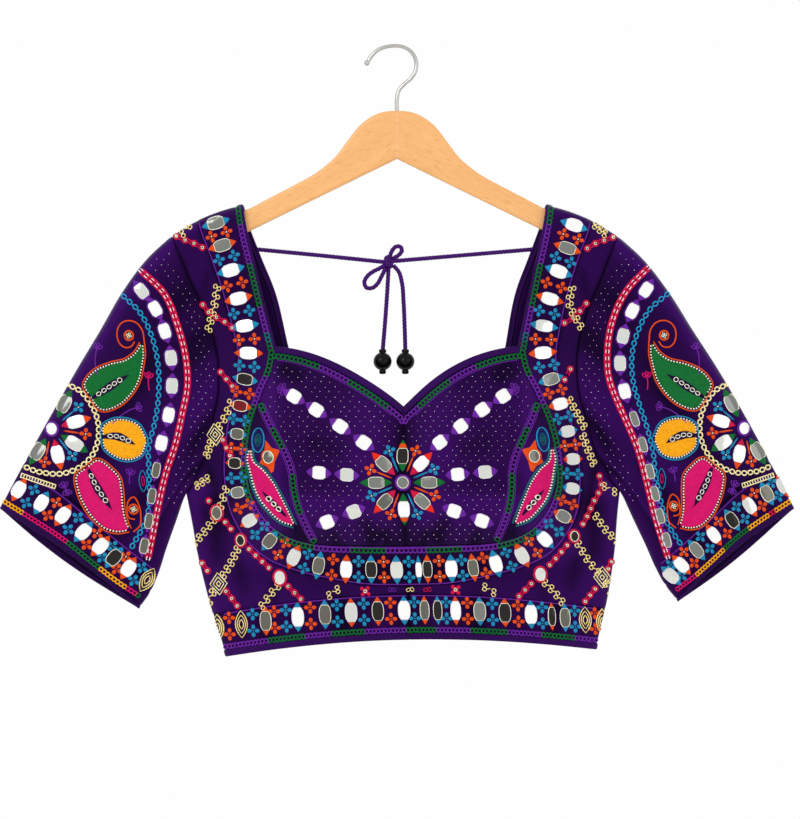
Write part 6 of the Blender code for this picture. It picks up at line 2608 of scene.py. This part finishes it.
    def hem(self) -> None:
        """The hem border on both faces: mirrors, flowers, gold lenses, chain and top line."""
        form = self.form
        rows = (
            (self.hem_left, self.hem_left_flowers, (-1,), Face.FRONT),
            (self.hem_right, self.hem_right_flowers, (1,), Face.FRONT),
            (self.hem_back, self.hem_back_flowers, (-1, 1), Face.BACK),
        )
        for mirrors, flowers, sides, face in rows:
            where = {"sides": sides, "face": face}
            for a, colour, tone, narrow in mirrors:
                at = (a, float(form.hem_z(np.array(a))) + self.hem_middle)
                if tone == "z":
                    self.gold_lens(at, RIGHT_ANGLE, **where)
                    continue
                whole = self.hem_lens
                lens = Lens(whole.half_length, whole.half_width * narrow, whole.glass, whole.power)
                self.stitches.mirror(lens, Glass(tone), tips(colour), at, RIGHT_ANGLE, **where)
            for a, colour in flowers:
                base = float(form.hem_z(np.array(a))) + self.hem_middle
                once = {**where, "sides": (1,)} if a == 0 else where
                for up in (-self.hem_flower, self.hem_flower):
                    self.stitches.flower(floss(colour), (a, base + up), 0.0, False, **once)
        for face in Face:
            reach = float(form.half_width(np.array(-535.0))) - 2
            a = np.linspace(1.7, reach, 60)
            chain = stacked(a, form.hem_z(a) + self.hem_chain)
            for side, lengths in zip((-1, 1), self.hem_lengths):
                where = {"sides": (side,), "face": face}
                self.stitches.chain(chain, stretches(lengths), 0.5, 0.94, 3.4, **where)
            top = stacked(a, form.band_top(a) - 1.3)
            self.stitches.line(Finishes.violet, top, 1.2, 0.5, face=face)

    def cuffs(self) -> None:
        """The cuff border on both faces of the sleeves."""
        left, right = stretches("y22 k41 g36 y27 k10 g20"), stretches("y17 c6 y25 g31 y35 k30")
        for face in Face:
            for side, rows, lengths in ((-1, self.left_cuff, left), (1, self.right_cuff, right)):
                where = {"sides": (side,), "face": face}
                line = np.array([row[:2] for row in rows])
                turns = headings(line) + RIGHT_ANGLE
                for place, turn, (_, _, colour, tone) in zip(line, turns, rows):
                    if tone == "z":
                        self.gold_lens(tuple(place), turn, **where)
                        continue
                    lens, at = self.cuff_lens, tuple(place)
                    self.stitches.mirror(lens, Glass(tone), tips(colour), at, turn, **where)
                for k, (first, second) in enumerate(zip(line, line[1:])):
                    middle, turn = (first + second) / 2, (turns[k] + turns[k + 1]) / 2
                    for off in (-self.cuff_flower, self.cuff_flower):
                        at = (middle[0] + off * math.cos(turn), middle[1] + off * math.sin(turn))
                        self.stitches.flower(floss("bo"[k % 2]), at, turn, off < 0 and k % 2 == 1, **where)
                self.stitches.chain(np.array(self.cuff_chain), lengths, 0.0, 0.8, 3.4, **where)
            self.stitches.line(Finishes.violet, np.array(self.cuff_edge), 1.2, 0.5, face=face)

    def necks(self) -> None:
        """The chains below the neckline, down the princess seam and round the back neck."""
        seam, _ = self.cut.neckline()
        below = seam - stacked(seam[:, 0] * 0, np.linspace(5.2, 2.8, len(seam)))
        below[0, 0] = 1.2
        lengths = stretches("p20 g38 p30 g60")
        self.stitches.chain(below[:-1], lengths)
        self.stitches.line(Finishes.violet, moved_sideways(below[3:-2], -3.4), 0.8, 0.45)
        princess = np.array((
            (123.0, -322.0), (118.2, -333.7), (110.2, -349.7), (101.2, -369.6), (98.4, -379.5),
            (97.0, -397.2), (93.6, -413.7), (89.0, -426.5), (82.0, -442.0),
        ))
        self.stitches.chain(princess, stretches("g6 p17 g19 p26 g34 p24 g20"), 0.2)
        for off in (-3.4, 3.4):
            self.stitches.line(Finishes.violet, moved_sideways(evenly(princess, 2.0), off), 0.8, 0.45)
        back = moved_sideways(evenly(np.array(self.cut.back_neck_line), 4.0), self.cut.binding_width + 3.8)
        self.stitches.chain(back[1:-1], stretches("g30 p30"), face=Face.BACK)


@dataclass(frozen=True)
class CupWork:
    """The cups' mirrors, the medallion between them and the side cups' leaf."""

    cut: Cut
    stitches: Stitches
    row_lens: Lens = Lens(11.4, 5.5, (-5.6, 5.6), 3.0)
    petal: Lens = Lens(14.5, 5.0, (-7.0, 6.6), 2.3)
    medallion: Place = (0.0, -390.6)
    petal_middle: float = 23.8
    flower_middle: float = 30.6
    # inner tip, band beyond the glass, outer tip, tone, from the top clockwise
    petals: tuple[tuple[str, str, str, str], ...] = (
        ("g", "o", "g", "k"), ("c", "", "r", "w"), ("g", "", "g", "g"), ("c", "", "r", "g"),
        ("g", "o", "g", "w"), ("c", "", "r", "d"), ("g", "", "g", "g"), ("c", "", "r", "g"),
    )
    rows: tuple[tuple[Place, ...], ...] = (
        ((93.4, -313.8), (74.1, -325.8), (53.7, -340.5), (33.9, -354.9)), ((74.0, -381.5), (49.4, -383.5)),
        ((69.0, -425.0), (44.7, -416.0)),
    )
    tones: tuple[tuple[str, str], ...] = (("wwww", "wwww"), ("wl", "lw"), ("wl", "ww"))
    star: Rows = ((120.2, -352.6), (106.8, -360.9), (115.0, -384.6), (127.4, -373.6))
    star_mirror: Place = (118.3, -367.6)
    oval_at: Place = (127.0, -352.5)
    leaf_left: Rows = (
        (134.7, -360.1), (137.0, -369.5), (135.0, -380.5), (131.8, -394.8), (126.8, -405.8), (119.0, -415.7),
        (110.6, -423.5), (98.6, -428.0),
    )
    leaf_right: Rows = (
        (134.7, -360.1), (132.3, -371.7), (123.8, -379.4), (115.5, -390.5), (109.5, -402.6), (103.5, -415.8),
        (98.6, -428.0),
    )
    eyelet: Rows = ((105.4, -419.6), (115.3, -408.6), (125.0, -398.0))

    def make(self) -> None:
        """All of it."""
        self.mirrors()
        self.flower_wheel()
        self.side_cup()
        self.dots()

    def mirrors(self) -> None:
        """Rows of squarish mirrors joined by violet satin."""
        for row, tones in zip(self.rows, self.tones):
            for k, (at, turn) in enumerate(zip(row, headings(np.array(row)))):
                for side, letters in zip((-1, 1), tones):
                    glass = Glass(letters[k])
                    self.stitches.mirror(self.row_lens, glass, tips("p"), at, turn, sides=(side,))
        for turn in (-0.5, 1.1):
            self.stitches.sprig(Finishes.violet, (102.8, -307.4), turn, 1.0)

    def flower_wheel(self) -> None:
        """A round mirror with eight petals, each a mirror between two tips, and flowers on stems
        between the petals."""
        centre, where = np.array(self.medallion), {"sides": (1,)}
        self.stitches.ringed_mirror(Glass.GREY, (5.1, 5.1), self.medallion, Finishes.violet, **where)
        for k, (inner, band, outer, tone) in enumerate(self.petals):
            turn = RIGHT_ANGLE - k * math.pi / 4
            at = tuple(centre + self.petal_middle * np.array([math.cos(turn), math.sin(turn)]))
            self.stitches.mirror(self.petal, Glass(tone), (floss(inner), floss(outer)), at, turn, **where)
            if band:
                end = self.petal.glass[1]
                sides = self.petal.sides(end + 0.5, end + 4.0, 3)
                self.stitches.work.lay(floss(band), satin(*sides, 1.5, 4), at, turn, **where)
        for k in range(8):
            turn = RIGHT_ANGLE - (k + 0.5) * math.pi / 4
            at = tuple(centre + self.flower_middle * np.array([math.cos(turn), math.sin(turn)]))
            self.stitches.posy(floss("ob"[k % 2]), at, turn, 20.0, **where)

    def side_cup(self) -> None:
        """A leaf, a mirror in a star and a blue oval on each side cup."""
        stitches, leaf = self.stitches, (self.leaf_left, self.leaf_right, self.eyelet)
        stitches.leaf(Finishes.pink, tips("t"), *leaf, (0.3, 0.7, 3), 2.8)
        shell = oval(5.4, 10.8, 20)
        stitches.nested(Finishes.navy, shell, (0.8, 0.6), self.oval_at, 0.1)
        stitches.nested(Finishes.sky, shell, (1.0,), self.oval_at, 0.1)
        pointed = Lens(5.6, 2.5, (0, 0), 1.8).pointed(7)
        stitches.nested(Finishes.teal, pointed, (1.0, 0.4), self.oval_at, RIGHT_ANGLE + 0.1)
        corners, middle = np.array(self.star), np.array(self.star_mirror)
        bowed = [0.5 * (a + b) * 0.76 + middle * 0.24 for a, b in zip(corners, np.roll(corners, -1, axis=0))]
        left = np.array([corners[0], bowed[0], corners[1], bowed[1], corners[2]])
        right = np.array([corners[0], bowed[3], corners[3], bowed[2], corners[2]])
        stitches.work.lay(Finishes.orange, satin(broken(left, 4), broken(right, 4), 0.7, 6))
        stitches.ringed_mirror(Glass.DULL, (4.5, 5.4), self.star_mirror, Finishes.orange)

    def dots(self) -> None:
        """Pin dots on the cloth left free."""
        seam, _ = self.cut.neckline()
        princess = np.array(self.cut.princess_line)
        cup = self.cut.cup_seam()
        corner = self.cut.cup_rows[0] * self.cut.fine
        foot = cup[-self.cut.cup_rows[2] * self.cut.fine :]
        outline = np.vstack([seam - (0, 4), cup[1:corner], princess, foot + (0, 2)])
        self.stitches.pin_dots(Finishes.white, outline, 8.2, 4.4, 0.37)
        back = np.vstack([
            np.array(self.cut.back_neck_line)[1:] + (0, -10), [(0, -488)], [(176, -500)], [(186, -430)],
            [(160, -330)], [(152, -260)], [(172, -190)],
        ])
        self.stitches.pin_dots(Finishes.white, back, 12.0, 7.0, 0.48, face=Face.BACK)


@dataclass(frozen=True)
class LatticeWork:
    """The side fronts: gold scrolls, bead rows and ringed mirrors on a slanting lattice."""

    stitches: Stitches
    bead_pitch: float = 8.0
    diamond_half: tuple[float, float] = (7.8, 9.8)
    mirror_half: tuple[float, float] = (4.4, 5.8)
    dark_half: tuple[float, float] = (3.6, 4.6)
    clearance: float = 7.4  # of a bead's middle from a mirror's or a diamond's
    # place, tone, side
    mirrors: tuple[tuple[float, float, str, int], ...] = (
        (168.2, -417.3, "d", -1), (147.6, -441.5, "k", -1), (114.5, -475.0, "l", -1),
        (151.4, -440.3, "k", 1), (119.3, -474.5, "l", 1),
    )
    diamonds: tuple[tuple[float, float, int], ...] = (
        (166.0, -347.6, -1), (169.8, -480.1, -1), (174.9, -478.2, 1),
    )
    left_beads: tuple[Rows, ...] = (
        ((174.8, -406.6), (161.5, -424.4), (140.8, -448.8), (123.1, -466.5), (96.4, -494.1)),
        ((183.7, -461.9), (176.0, -473.0), (162.4, -487.9), (153.9, -499.7)),
        ((159.1, -352.5), (153.2, -366.4)),
        ((172.8, -180.1), (180.1, -176.4), (188.8, -173.1), (196.0, -170.0)),
        ((173.2, -231.4), (166.8, -239.4), (155.3, -245.7), (147.4, -252.2)),
        ((158.9, -291.8), (148.6, -304.4)),
    )
    right_beads: tuple[Rows, ...] = (
        ((177.2, -386.0), (178.4, -394.5), (172.2, -406.6), (161.6, -426.6), (139.4, -453.8),
         (99.0, -494.2)),
        ((184.0, -464.3), (176.0, -478.0), (158.3, -499.9)),
        ((173.0, -180.8), (180.1, -176.4), (188.5, -173.5), (196.2, -170.9)),
        ((171.1, -230.3), (166.6, -235.8), (159.8, -242.5), (151.0, -247.9)),
        ((155.0, -289.4), (149.3, -299.0)),
    )
    left_scrolls: tuple[Rows, ...] = (
        ((189.9, -444.2), (181.1, -434.9), (171.2, -423.3)),
        ((165.2, -472.6), (158.7, -463.3), (151.1, -449.6)),
        ((131.7, -499.9), (124.4, -490.7), (116.6, -482.3)),
        ((150.5, -319.1), (155.7, -331.0), (162.0, -340.3)),
        ((170.6, -355.2), (174.6, -365.9)),
        ((158.6, -396.2), (164.4, -411.4)),
        ((175.4, -487.6), (179.2, -496.0)),
        ((184.6, -160.0), (190.6, -167.6)),
        ((159.9, -215.9), (162.1, -229.0), (168.6, -253.1)),
        ((175.1, -386.8), (184.7, -393.0)),
    )
    right_scrolls: tuple[Rows, ...] = (
        ((172.1, -422.4), (180.3, -435.2), (189.9, -445.6)),
        ((154.5, -447.3), (162.2, -461.6), (171.0, -473.6)),
        ((122.9, -482.2), (130.4, -490.3), (137.4, -499.9)),
        ((153.2, -317.4), (159.2, -329.2), (165.2, -341.0)),
        ((163.9, -349.8), (167.3, -360.4), (172.2, -374.4)),
        ((181.0, -395.4), (190.0, -400.4)),
        ((178.0, -484.1), (182.0, -492.1)),
        ((180.0, -160.0), (188.6, -167.6)),
        ((158.6, -217.0), (156.0, -229.1), (165.6, -251.1)),
    )
    # place, what it holds, side
    strip: tuple[tuple[float, float, str, int], ...] = (
        (67.0, -488.6, "z", -1), (38.4, -487.9, "r", -1), (14.4, -486.8, "v", -1), (1.9, -487.0, "s", 1),
        (17.4, -487.1, "c", 1), (42.6, -487.5, "r", 1), (72.6, -488.0, "z", 1),
    )

    def make(self) -> None:
        """All of it."""
        half, tall = self.diamond_half
        outline = broken(np.array([(half, 0), (0, tall), (-half, 0), (0, -tall), (half, 0)]), 5)
        for a, w, side in self.diamonds:
            rings = (outline, (1.0, 0.63, 0.26), (a, w), -0.06)
            self.stitches.nested(Finishes.pale_gold, *rings, sides=(side,))
        for a, w, tone, side in self.mirrors:
            size = self.dark_half if tone == "k" else self.mirror_half
            self.stitches.ringed_mirror(Glass(tone), size, (a, w), Finishes.crimson, sides=(side,))
        halves = ((-1, self.left_beads, self.left_scrolls), (1, self.right_beads, self.right_scrolls))
        for side, beads, scrolls in halves:
            for line in beads:
                places = evenly(np.array(line), self.bead_pitch)
                self.bead_run(places, np.array([not self.taken(place, side) for place in places]), (side,))
            for line in scrolls:
                self.stitches.scroll(np.array(line), sides=(side,))
        for a, w, kind, side in self.strip:
            self.ornament((a, w), kind, (side,))

    def taken(self, place: np.ndarray, side: int) -> bool:
        """Whether a place is under one of a side's ringed mirrors or diamonds."""
        spots = [(a, w) for a, w, _, half in self.mirrors if half == side]
        spots += [(a, w) for a, w, half in self.diamonds if half == side]
        return any(math.hypot(place[0] - a, place[1] - w) < self.clearance for a, w in spots)

    def bead_run(self, places: np.ndarray, clear: np.ndarray, sides: tuple[int, ...]) -> None:
        """Crimson rings with cream beads at the clear places, each tied to the next by two threads."""
        where = {"sides": sides}
        middle, end = self.bead_pitch / 2, self.bead_pitch - 2.2
        tie = joined(*(
            strand(np.array([(2.2, 1.7 * sense), (middle, 0.95 * sense), (end, 1.7 * sense)]), 1.35, 0.6)
            for sense in (1, -1)
        ))
        bead, heart = hoop(2.6, 2.5, 1.8, 0.8, 8), hoop(1.15, 1.15, 0.9, 1.3, 6)
        turns = headings(places)
        for k, (place, turn) in enumerate(zip(places, turns)):
            if not clear[k]:
                continue
            layers = [(Finishes.crimson, bead), (Finishes.cream, heart)]
            if k < len(places) - 1 and clear[k + 1]:
                layers.append((Finishes.crimson, tie))
            for finish, shape in layers:
                self.stitches.work.lay(finish, shape, tuple(place), turn, **where)

    def ornament(self, at: Place, kind: str, sides: tuple[int, ...]) -> None:
        """One small ornament of the strip between the borders.

        Args:
            at: Its place.
            kind: A gold scroll, a red bead, a violet curl, or a small gold or crimson ring.
            sides: The half that takes it.
        """
        where = {"sides": sides}
        if kind == "z":
            self.stitches.scroll(np.array(at) + np.array([(-3.9, 2.6), (0.0, 0.0), (3.9, -2.6)]), **where)
        elif kind == "r":
            self.stitches.flower(Finishes.crimson, at, 0.7, False, **where)
            self.stitches.work.lay(Finishes.cream, hoop(1.3, 1.3, 1.0, 1.4, 8), at, 0.0, **where)
        else:
            finish = {"v": Finishes.violet, "s": Finishes.zari, "c": Finishes.crimson}[kind]
            upper, lower = hoop(1.9, 1.5, 0.9, 0.7, 8), hoop(1.5, 1.9, 0.9, 0.7, 8)
            curl = joined(upper.moved(-1.6, 0.6), lower.moved(1.7, -0.4))
            self.stitches.work.lay(finish, curl, at, 0.4, **where)


@dataclass(frozen=True)
class SleeveWork:
    """The sleeves: three arcs that follow the armhole, three leaves, a small medallion and dots."""

    stitches: Stitches
    red_arc: Rows = (
        (228.0, -201.0), (208.0, -221.0), (196.0, -251.0), (190.0, -277.0), (189.0, -303.0), (195.0, -330.0),
        (202.0, -356.0), (212.0, -382.0), (221.0, -414.0), (232.0, -457.0),
    )
    right_red_arc: Rows = (
        (227.5, -198.0), (208.2, -218.0), (195.6, -242.0), (189.0, -272.0), (189.5, -298.0), (195.2, -316.3),
        (197.9, -323.3), (206.0, -343.5), (213.1, -363.7), (218.8, -390.0), (225.1, -422.4), (234.8, -460.2),
    )
    mirror_arc: Rows = (
        (228.0, -219.0), (216.0, -235.0), (208.0, -255.0), (203.0, -279.0), (203.0, -304.0), (207.0, -330.0),
        (214.5, -355.0), (220.5, -379.0), (225.5, -402.0), (229.5, -424.0), (235.0, -446.0),
    )
    right_mirror_arc: Rows = (
        (225.2, -218.0), (212.3, -237.0), (203.5, -259.7), (199.9, -284.2), (203.0, -309.3), (210.8, -334.4),
        (217.3, -357.6), (222.6, -381.9), (226.2, -402.2), (229.7, -422.5), (234.6, -444.5),
    )
    arc_tones: tuple[str, str] = ("lwwllwwdddd", "wwllwgggggg")
    slim_from: tuple[int, int] = (7, 5)
    blue_arc: Rows = (
        (244.0, -224.0), (230.0, -238.0), (221.0, -256.0), (215.0, -283.0), (215.0, -309.0), (220.0, -338.0),
        (226.0, -357.0), (227.0, -382.0), (231.0, -421.0), (245.0, -446.0),
    )
    right_blue_arc: Rows = (
        (244.0, -222.0), (228.8, -235.0), (217.4, -254.1), (211.0, -276.1), (211.0, -300.2), (216.0, -322.3),
        (222.0, -343.5), (226.0, -363.7), (227.3, -385.9), (230.5, -407.2), (235.9, -429.6), (246.2, -446.9),
    )
    small_lens: Lens = Lens(11.8, 4.9, (-6.6, 6.6), 3.0)
    slim_lens: Lens = Lens(10.8, 3.3, (-6.6, 6.6), 3.0)
    mini_petal: Lens = Lens(14.2, 5.3, (-7.8, 7.4), 2.3)
    small_centre: Place = (311.0, -342.7)
    ring: Rows = (
        (297.5, -302.6), (285.1, -308.8), (276.6, -319.3), (271.8, -329.6), (269.7, -342.2), (270.9, -353.5),
        (275.6, -365.1), (285.8, -375.8), (295.4, -380.7), (305.3, -382.9), (316.4, -382.3), (325.0, -380.7),
        (333.0, -377.6),
    )
    # middle, inner tip, outer tip, tone
    petals: tuple[tuple[float, float, str, str, str], ...] = (
        (299.5, -320.1, "g", "g", "g"), (289.4, -336.2, "c", "o", "w"), (291.2, -355.7, "g", "g", "l"),
        (306.0, -365.8, "c", "o", "w"), (323.5, -363.2, "g", "g", "g"),
    )
    flowers: tuple[tuple[float, float, str], ...] = (
        (287.1, -323.1, "b"), (281.4, -347.1, "o"), (293.5, -366.7, "b"), (317.3, -372.4, "o"),
    )
    green_leaf: tuple[Rows, Rows, Rows] = (
        ((276.5, -312.0), (281.0, -303.3), (277.7, -297.0), (272.2, -291.6), (258.6, -285.3),
         (242.3, -280.8), (234.0, -274.5), (228.6, -266.0)),
        ((276.5, -312.0), (267.0, -324.6), (250.9, -320.2), (241.6, -312.1), (233.1, -298.7),
         (229.9, -286.2), (228.2, -276.3), (228.6, -266.0)),
        ((274.5, -315.0), (263.8, -308.2), (252.9, -301.0), (241.5, -294.2)),
    )
    yellow_leaf: tuple[Rows, Rows, Rows] = (
        ((265.6, -349.5), (265.2, -340.5), (257.5, -335.3), (246.5, -334.6), (235.5, -339.0),
         (228.0, -352.5)),
        ((265.6, -349.5), (265.0, -358.0), (257.2, -365.7), (245.2, -369.3), (234.6, -365.8),
         (228.0, -352.5)),
        ((267.0, -349.6), (254.1, -349.0), (244.4, -352.7), (238.0, -356.2)),
    )
    pink_leaf: tuple[Rows, Rows, Rows] = (
        ((281.0, -377.5), (289.6, -384.8), (288.6, -396.8), (283.7, -410.3), (275.9, -422.5),
         (265.8, -431.0), (256.3, -433.0), (247.5, -431.4)),
        ((281.0, -377.5), (271.6, -370.9), (261.3, -377.4), (254.4, -385.4), (252.5, -396.4),
         (252.0, -412.4), (250.6, -422.2), (247.5, -431.4)),
        ((279.6, -378.4), (273.7, -392.5), (267.1, -403.9), (261.0, -414.0)),
    )
    green_spiral: Rows = (
        (226.4, -266.0), (228.7, -253.0), (233.2, -247.6), (239.5, -245.6), (245.8, -247.1), (250.1, -252.5),
        (250.9, -260.2), (248.2, -266.9), (242.9, -269.9), (237.9, -268.4), (235.4, -264.4),
    )
    pink_spiral: Rows = (
        (243.5, -433.6), (237.6, -428.3), (236.3, -419.8), (237.9, -408.7), (241.8, -402.6), (246.0, -405.6),
        (248.0, -413.6), (246.5, -421.5), (241.5, -422.5),
    )
    spiral_centres: tuple[Place, Place] = ((240.3, -259.0), (242.4, -413.6))
    sprigs: tuple[tuple[float, float, float, float, str], ...] = (
        (269.5, -271.0, 1.9, 26.0, "p"), (223.8, -297.0, 1.7, 11.0, "k"), (236.0, -323.6, 2.9, 26.0, "p"),
        (300.3, -395.0, 1.2, 7.0, "p"), (299.3, -397.0, 4.4, 2.0, "p"), (244.0, -383.0, 1.8, 8.0, "p"),
    )

    def make(self) -> None:
        """All of it; the backs of the sleeves carry the arcs and plainer dots."""
        for face in Face:
            self.arcs(face)
        self.leaves()
        self.medallion()
        for a, w, turn, stem, letter in self.sprigs:
            self.stitches.sprig(floss(letter), (a, w), turn, stem)
        self.stitches.nested(Finishes.blue, oval(3.4, 9.6, 14, 1.6), (1.0,), (232.8, -388.6), 0.0)
        self.stitches.nested(Finishes.pink, oval(1.2, 4.4, 10), (1.0,), (232.8, -388.6), 0.0)
        self.comb()
        outer = (
            (204.0, -182.0), (222.0, -196.0), (214.0, -210.0), (201.0, -230.0), (191.0, -255.0),
            (186.0, -280.0), (185.0, -303.0), (190.5, -331.0), (197.0, -358.0), (206.0, -384.0),
            (214.0, -414.0), (203.0, -414.0), (192.0, -396.0), (181.0, -370.0), (171.0, -335.0),
            (165.0, -303.0), (165.0, -278.0), (170.0, -254.0), (178.0, -230.0), (190.0, -205.0),
        )
        self.stitches.pin_dots(Finishes.white, np.array(outer), 7.6, 5.2, 0.38)
        whole = np.vstack([
            np.array(self.blue_arc) + (6.0, 0.0), [(262.0, -434.0)], [(296.0, -404.0)], [(330.0, -376.0)],
            [(298.0, -318.0)], [(268.0, -268.0)],
        ])
        self.stitches.pin_dots(Finishes.white, whole, 12.0, 7.0, 0.48, face=Face.BACK)

    def arcs(self, face: Face) -> None:
        """The red beaded arc, the row of mirrors and the blue chain."""
        for side, arc in ((-1, self.red_arc), (1, self.right_red_arc)):
            self.stitches.double_beaded(np.array(arc), sides=(side,), face=face)
        mirrors, blues = (self.mirror_arc, self.right_mirror_arc), (self.blue_arc, self.right_blue_arc)
        for side, arc, tones, slim, blue in zip((-1, 1), mirrors, self.arc_tones, self.slim_from, blues):
            where = {"sides": (side,), "face": face}
            for k, (at, turn, tone) in enumerate(zip(arc, headings(np.array(arc)), tones)):
                lens = self.small_lens if k < slim else self.slim_lens
                self.stitches.mirror(lens, Glass(tone), tips("p"), at, turn, Finishes.violet, **where)
            self.stitches.linked(Finishes.sky, np.array(blue), 7.0, (2.5, 1.9, 1.45), **where)

    def leaves(self) -> None:
        """The green, yellow and pink leaves with their cords, eyelets and spirals."""
        self.stitches.leaf(Finishes.green, tips("o"), *self.green_leaf, (0.18, 0.76, 5))
        self.stitches.leaf(Finishes.yellow, tips("b"), *self.yellow_leaf, (0.24, 0.78, 4))
        self.stitches.leaf(Finishes.pink, tips("o"), *self.pink_leaf, (0.16, 0.76, 5))
        for line, centre in zip((self.green_spiral, self.pink_spiral), self.spiral_centres):
            self.stitches.spiral(line, centre)

    def medallion(self) -> None:
        """Half a wheel of petals cut off by the sleeve's top edge, inside a gold ring."""
        middle_a, middle_w = self.small_centre
        self.stitches.ringed_mirror(Glass.WHITE, (4.2, 5.0), self.small_centre, Finishes.violet)
        for a, w, inner, outer, tone in self.petals:
            pair, turn = (floss(inner), floss(outer)), math.atan2(w - middle_w, a - middle_a)
            self.stitches.mirror(self.mini_petal, Glass(tone), pair, (a, w), turn)
        for a, w, colour in self.flowers:
            turn = math.atan2(w - middle_w, a - middle_a)
            self.stitches.posy(floss(colour), (a, w), turn, 19.0)
        self.stitches.linked(Finishes.pale_gold, np.array(self.ring), 5.9, (2.45, 2.05, 1.5))

    def comb(self) -> None:
        """A small gold ladder beside the cuff."""
        spine = evenly(np.array([(337.5, -382.8), (322.5, -387.8), (308.0, -392.6)]), 2.6)
        tooth = strand(np.array([(0.0, -0.4), (0.1, 1.8), (0.0, 4.2)]), 1.1, 0.7)
        for place, turn in zip(spine, headings(spine)):
            self.stitches.work.lay(Finishes.pale_gold, tooth, tuple(place), turn)
        for off in (0.0, 3.6):
            self.stitches.line(Finishes.pale_gold, moved_sideways(spine, off), 1.1, 0.8)


@dataclass(frozen=True)
class Embroidery:
    """All the needlework: the maps of both faces are read first, then each area is sewn."""

    form: Form
    cut: Cut
    fronts: tuple[str, ...] = (
        "cup_centre",
        "cup_side",
        "neckline_binding",
        "strap_binding",
        "front_border",
        "side_front",
        "hem_border_front",
        "hem_binding_front",
        "sleeve",
        "cuff_border",
        "cuff_binding",
    )
    backs: tuple[str, ...] = (
        "back",
        "back_neck_binding",
        "hem_border_back",
        "hem_binding_back",
        "sleeve",
        "cuff_border",
        "cuff_binding",
    )

    def make(self, cloth: dict[str, bpy.types.Object]) -> None:
        """Sews everything onto the finished cloth."""
        reliefs = {}
        for face, names in ((Face.FRONT, self.fronts), (Face.BACK, self.backs)):
            pieces = [cloth[f"{name}_{label}"] for name in names for _, label in SIDES]
            reliefs[face] = Relief(face, pieces)
        work = Needlework(self.form, reliefs)
        stitches = Stitches(work)
        BorderWork(self.form, self.cut, stitches).make()
        LatticeWork(stitches).make()
        SleeveWork(stitches).make()
        CupWork(self.cut, stitches).make()
        work.make()


# ---------------------------------------------------------------- studio


@dataclass(frozen=True)
class Studio:
    """A level view of the whole blouse, mostly soft light and a pale floor below."""

    eye: tuple[float, float, float] = (2.7, -4500.0, -325.5)
    lens: float = 225.0
    sensor: float = 36.0
    far: float = 50.0  # metres
    room: str = "#FEFEFE"
    floor_z: float = -1000.0
    floor_radii: tuple[float, ...] = (0.01, 400.0, 900.0, 1500.0)
    # name, place in metres, size, watts
    lights: tuple[tuple[str, tuple[float, float, float], float, float], ...] = (
        ("key", (-1.6, -2.6, 1.0), 1.6, 26.0), ("fill", (2.0, -2.4, 0.2), 1.8, 9.0),
        ("back", (0.4, 2.6, 1.2), 1.6, 16.0), ("lamp", (-1.3, -2.3, 1.5), 0.16, 3.0),
    )

    def make_camera(self) -> None:
        """The camera: it looks along +Y at the middle of the blouse."""
        camera = bpy.data.cameras.new("view")
        camera.lens = self.lens
        camera.sensor_width = self.sensor
        camera.sensor_fit = "HORIZONTAL"
        camera.clip_end = self.far
        thing = bpy.data.objects.new("view", camera)
        thing.location = [v * MM for v in self.eye]
        thing.rotation_euler = (RIGHT_ANGLE, 0.0, 0.0)
        bpy.context.scene.collection.objects.link(thing)
        bpy.context.scene.camera = thing

    def make_light(self) -> None:
        """White surroundings, with large soft panels and a small lamp aimed at the blouse."""
        scene = bpy.context.scene
        scene.view_settings.view_transform = "Standard"
        world = bpy.data.worlds.new("white_room")
        world.use_nodes = True
        shade = world.node_tree.nodes["Background"]
        shade.inputs["Color"].default_value = linear(self.room)
        shade.inputs["Strength"].default_value = 1.0
        scene.world = world
        for name, place, size, power in self.lights:
            light = bpy.data.lights.new(name, "AREA")
            light.size = size
            light.energy = power
            thing = bpy.data.objects.new(name, light)
            thing.location = place
            aim = Vector((0.0, 0.0, self.eye[2] * MM)) - Vector(place)
            thing.rotation_euler = aim.to_track_quat("-Z", "Y").to_euler()
            scene.collection.objects.link(thing)

    def make_floor(self) -> None:
        """A pale round floor well under the hanging blouse."""
        angle, radii = circle(96), np.array(self.floor_radii)[:, None]
        grid = stacked(radii * np.cos(angle), radii * np.sin(angle), np.array(self.floor_z))
        floor = mended(new_mesh("studio_floor", grid.reshape(-1, 3), grid_faces(*grid.shape[:2], True)))
        floor.data.materials.append(Finishes.paper.material())


# ---------------------------------------------------------------- the whole


def main() -> None:
    """Builds the sub-assemblies in order: camera and cords first, then cloth, then its needlework."""
    logging.basicConfig(level=logging.INFO, format="%(message)s")
    form = Form()
    cut = Cut(form)
    studio = Studio()
    studio.make_camera()
    BackTie(form, cut).make()
    Hanger().make()
    Hook().make()
    cloth = BodyCloth(form, cut).make() | Sleeves(form, cut).make()
    LOG.info("cloth pieces: %d", len(cloth))
    Embroidery(form, cut).make(cloth)
    studio.make_light()
    studio.make_floor()


if __name__ == "__main__":
    main()
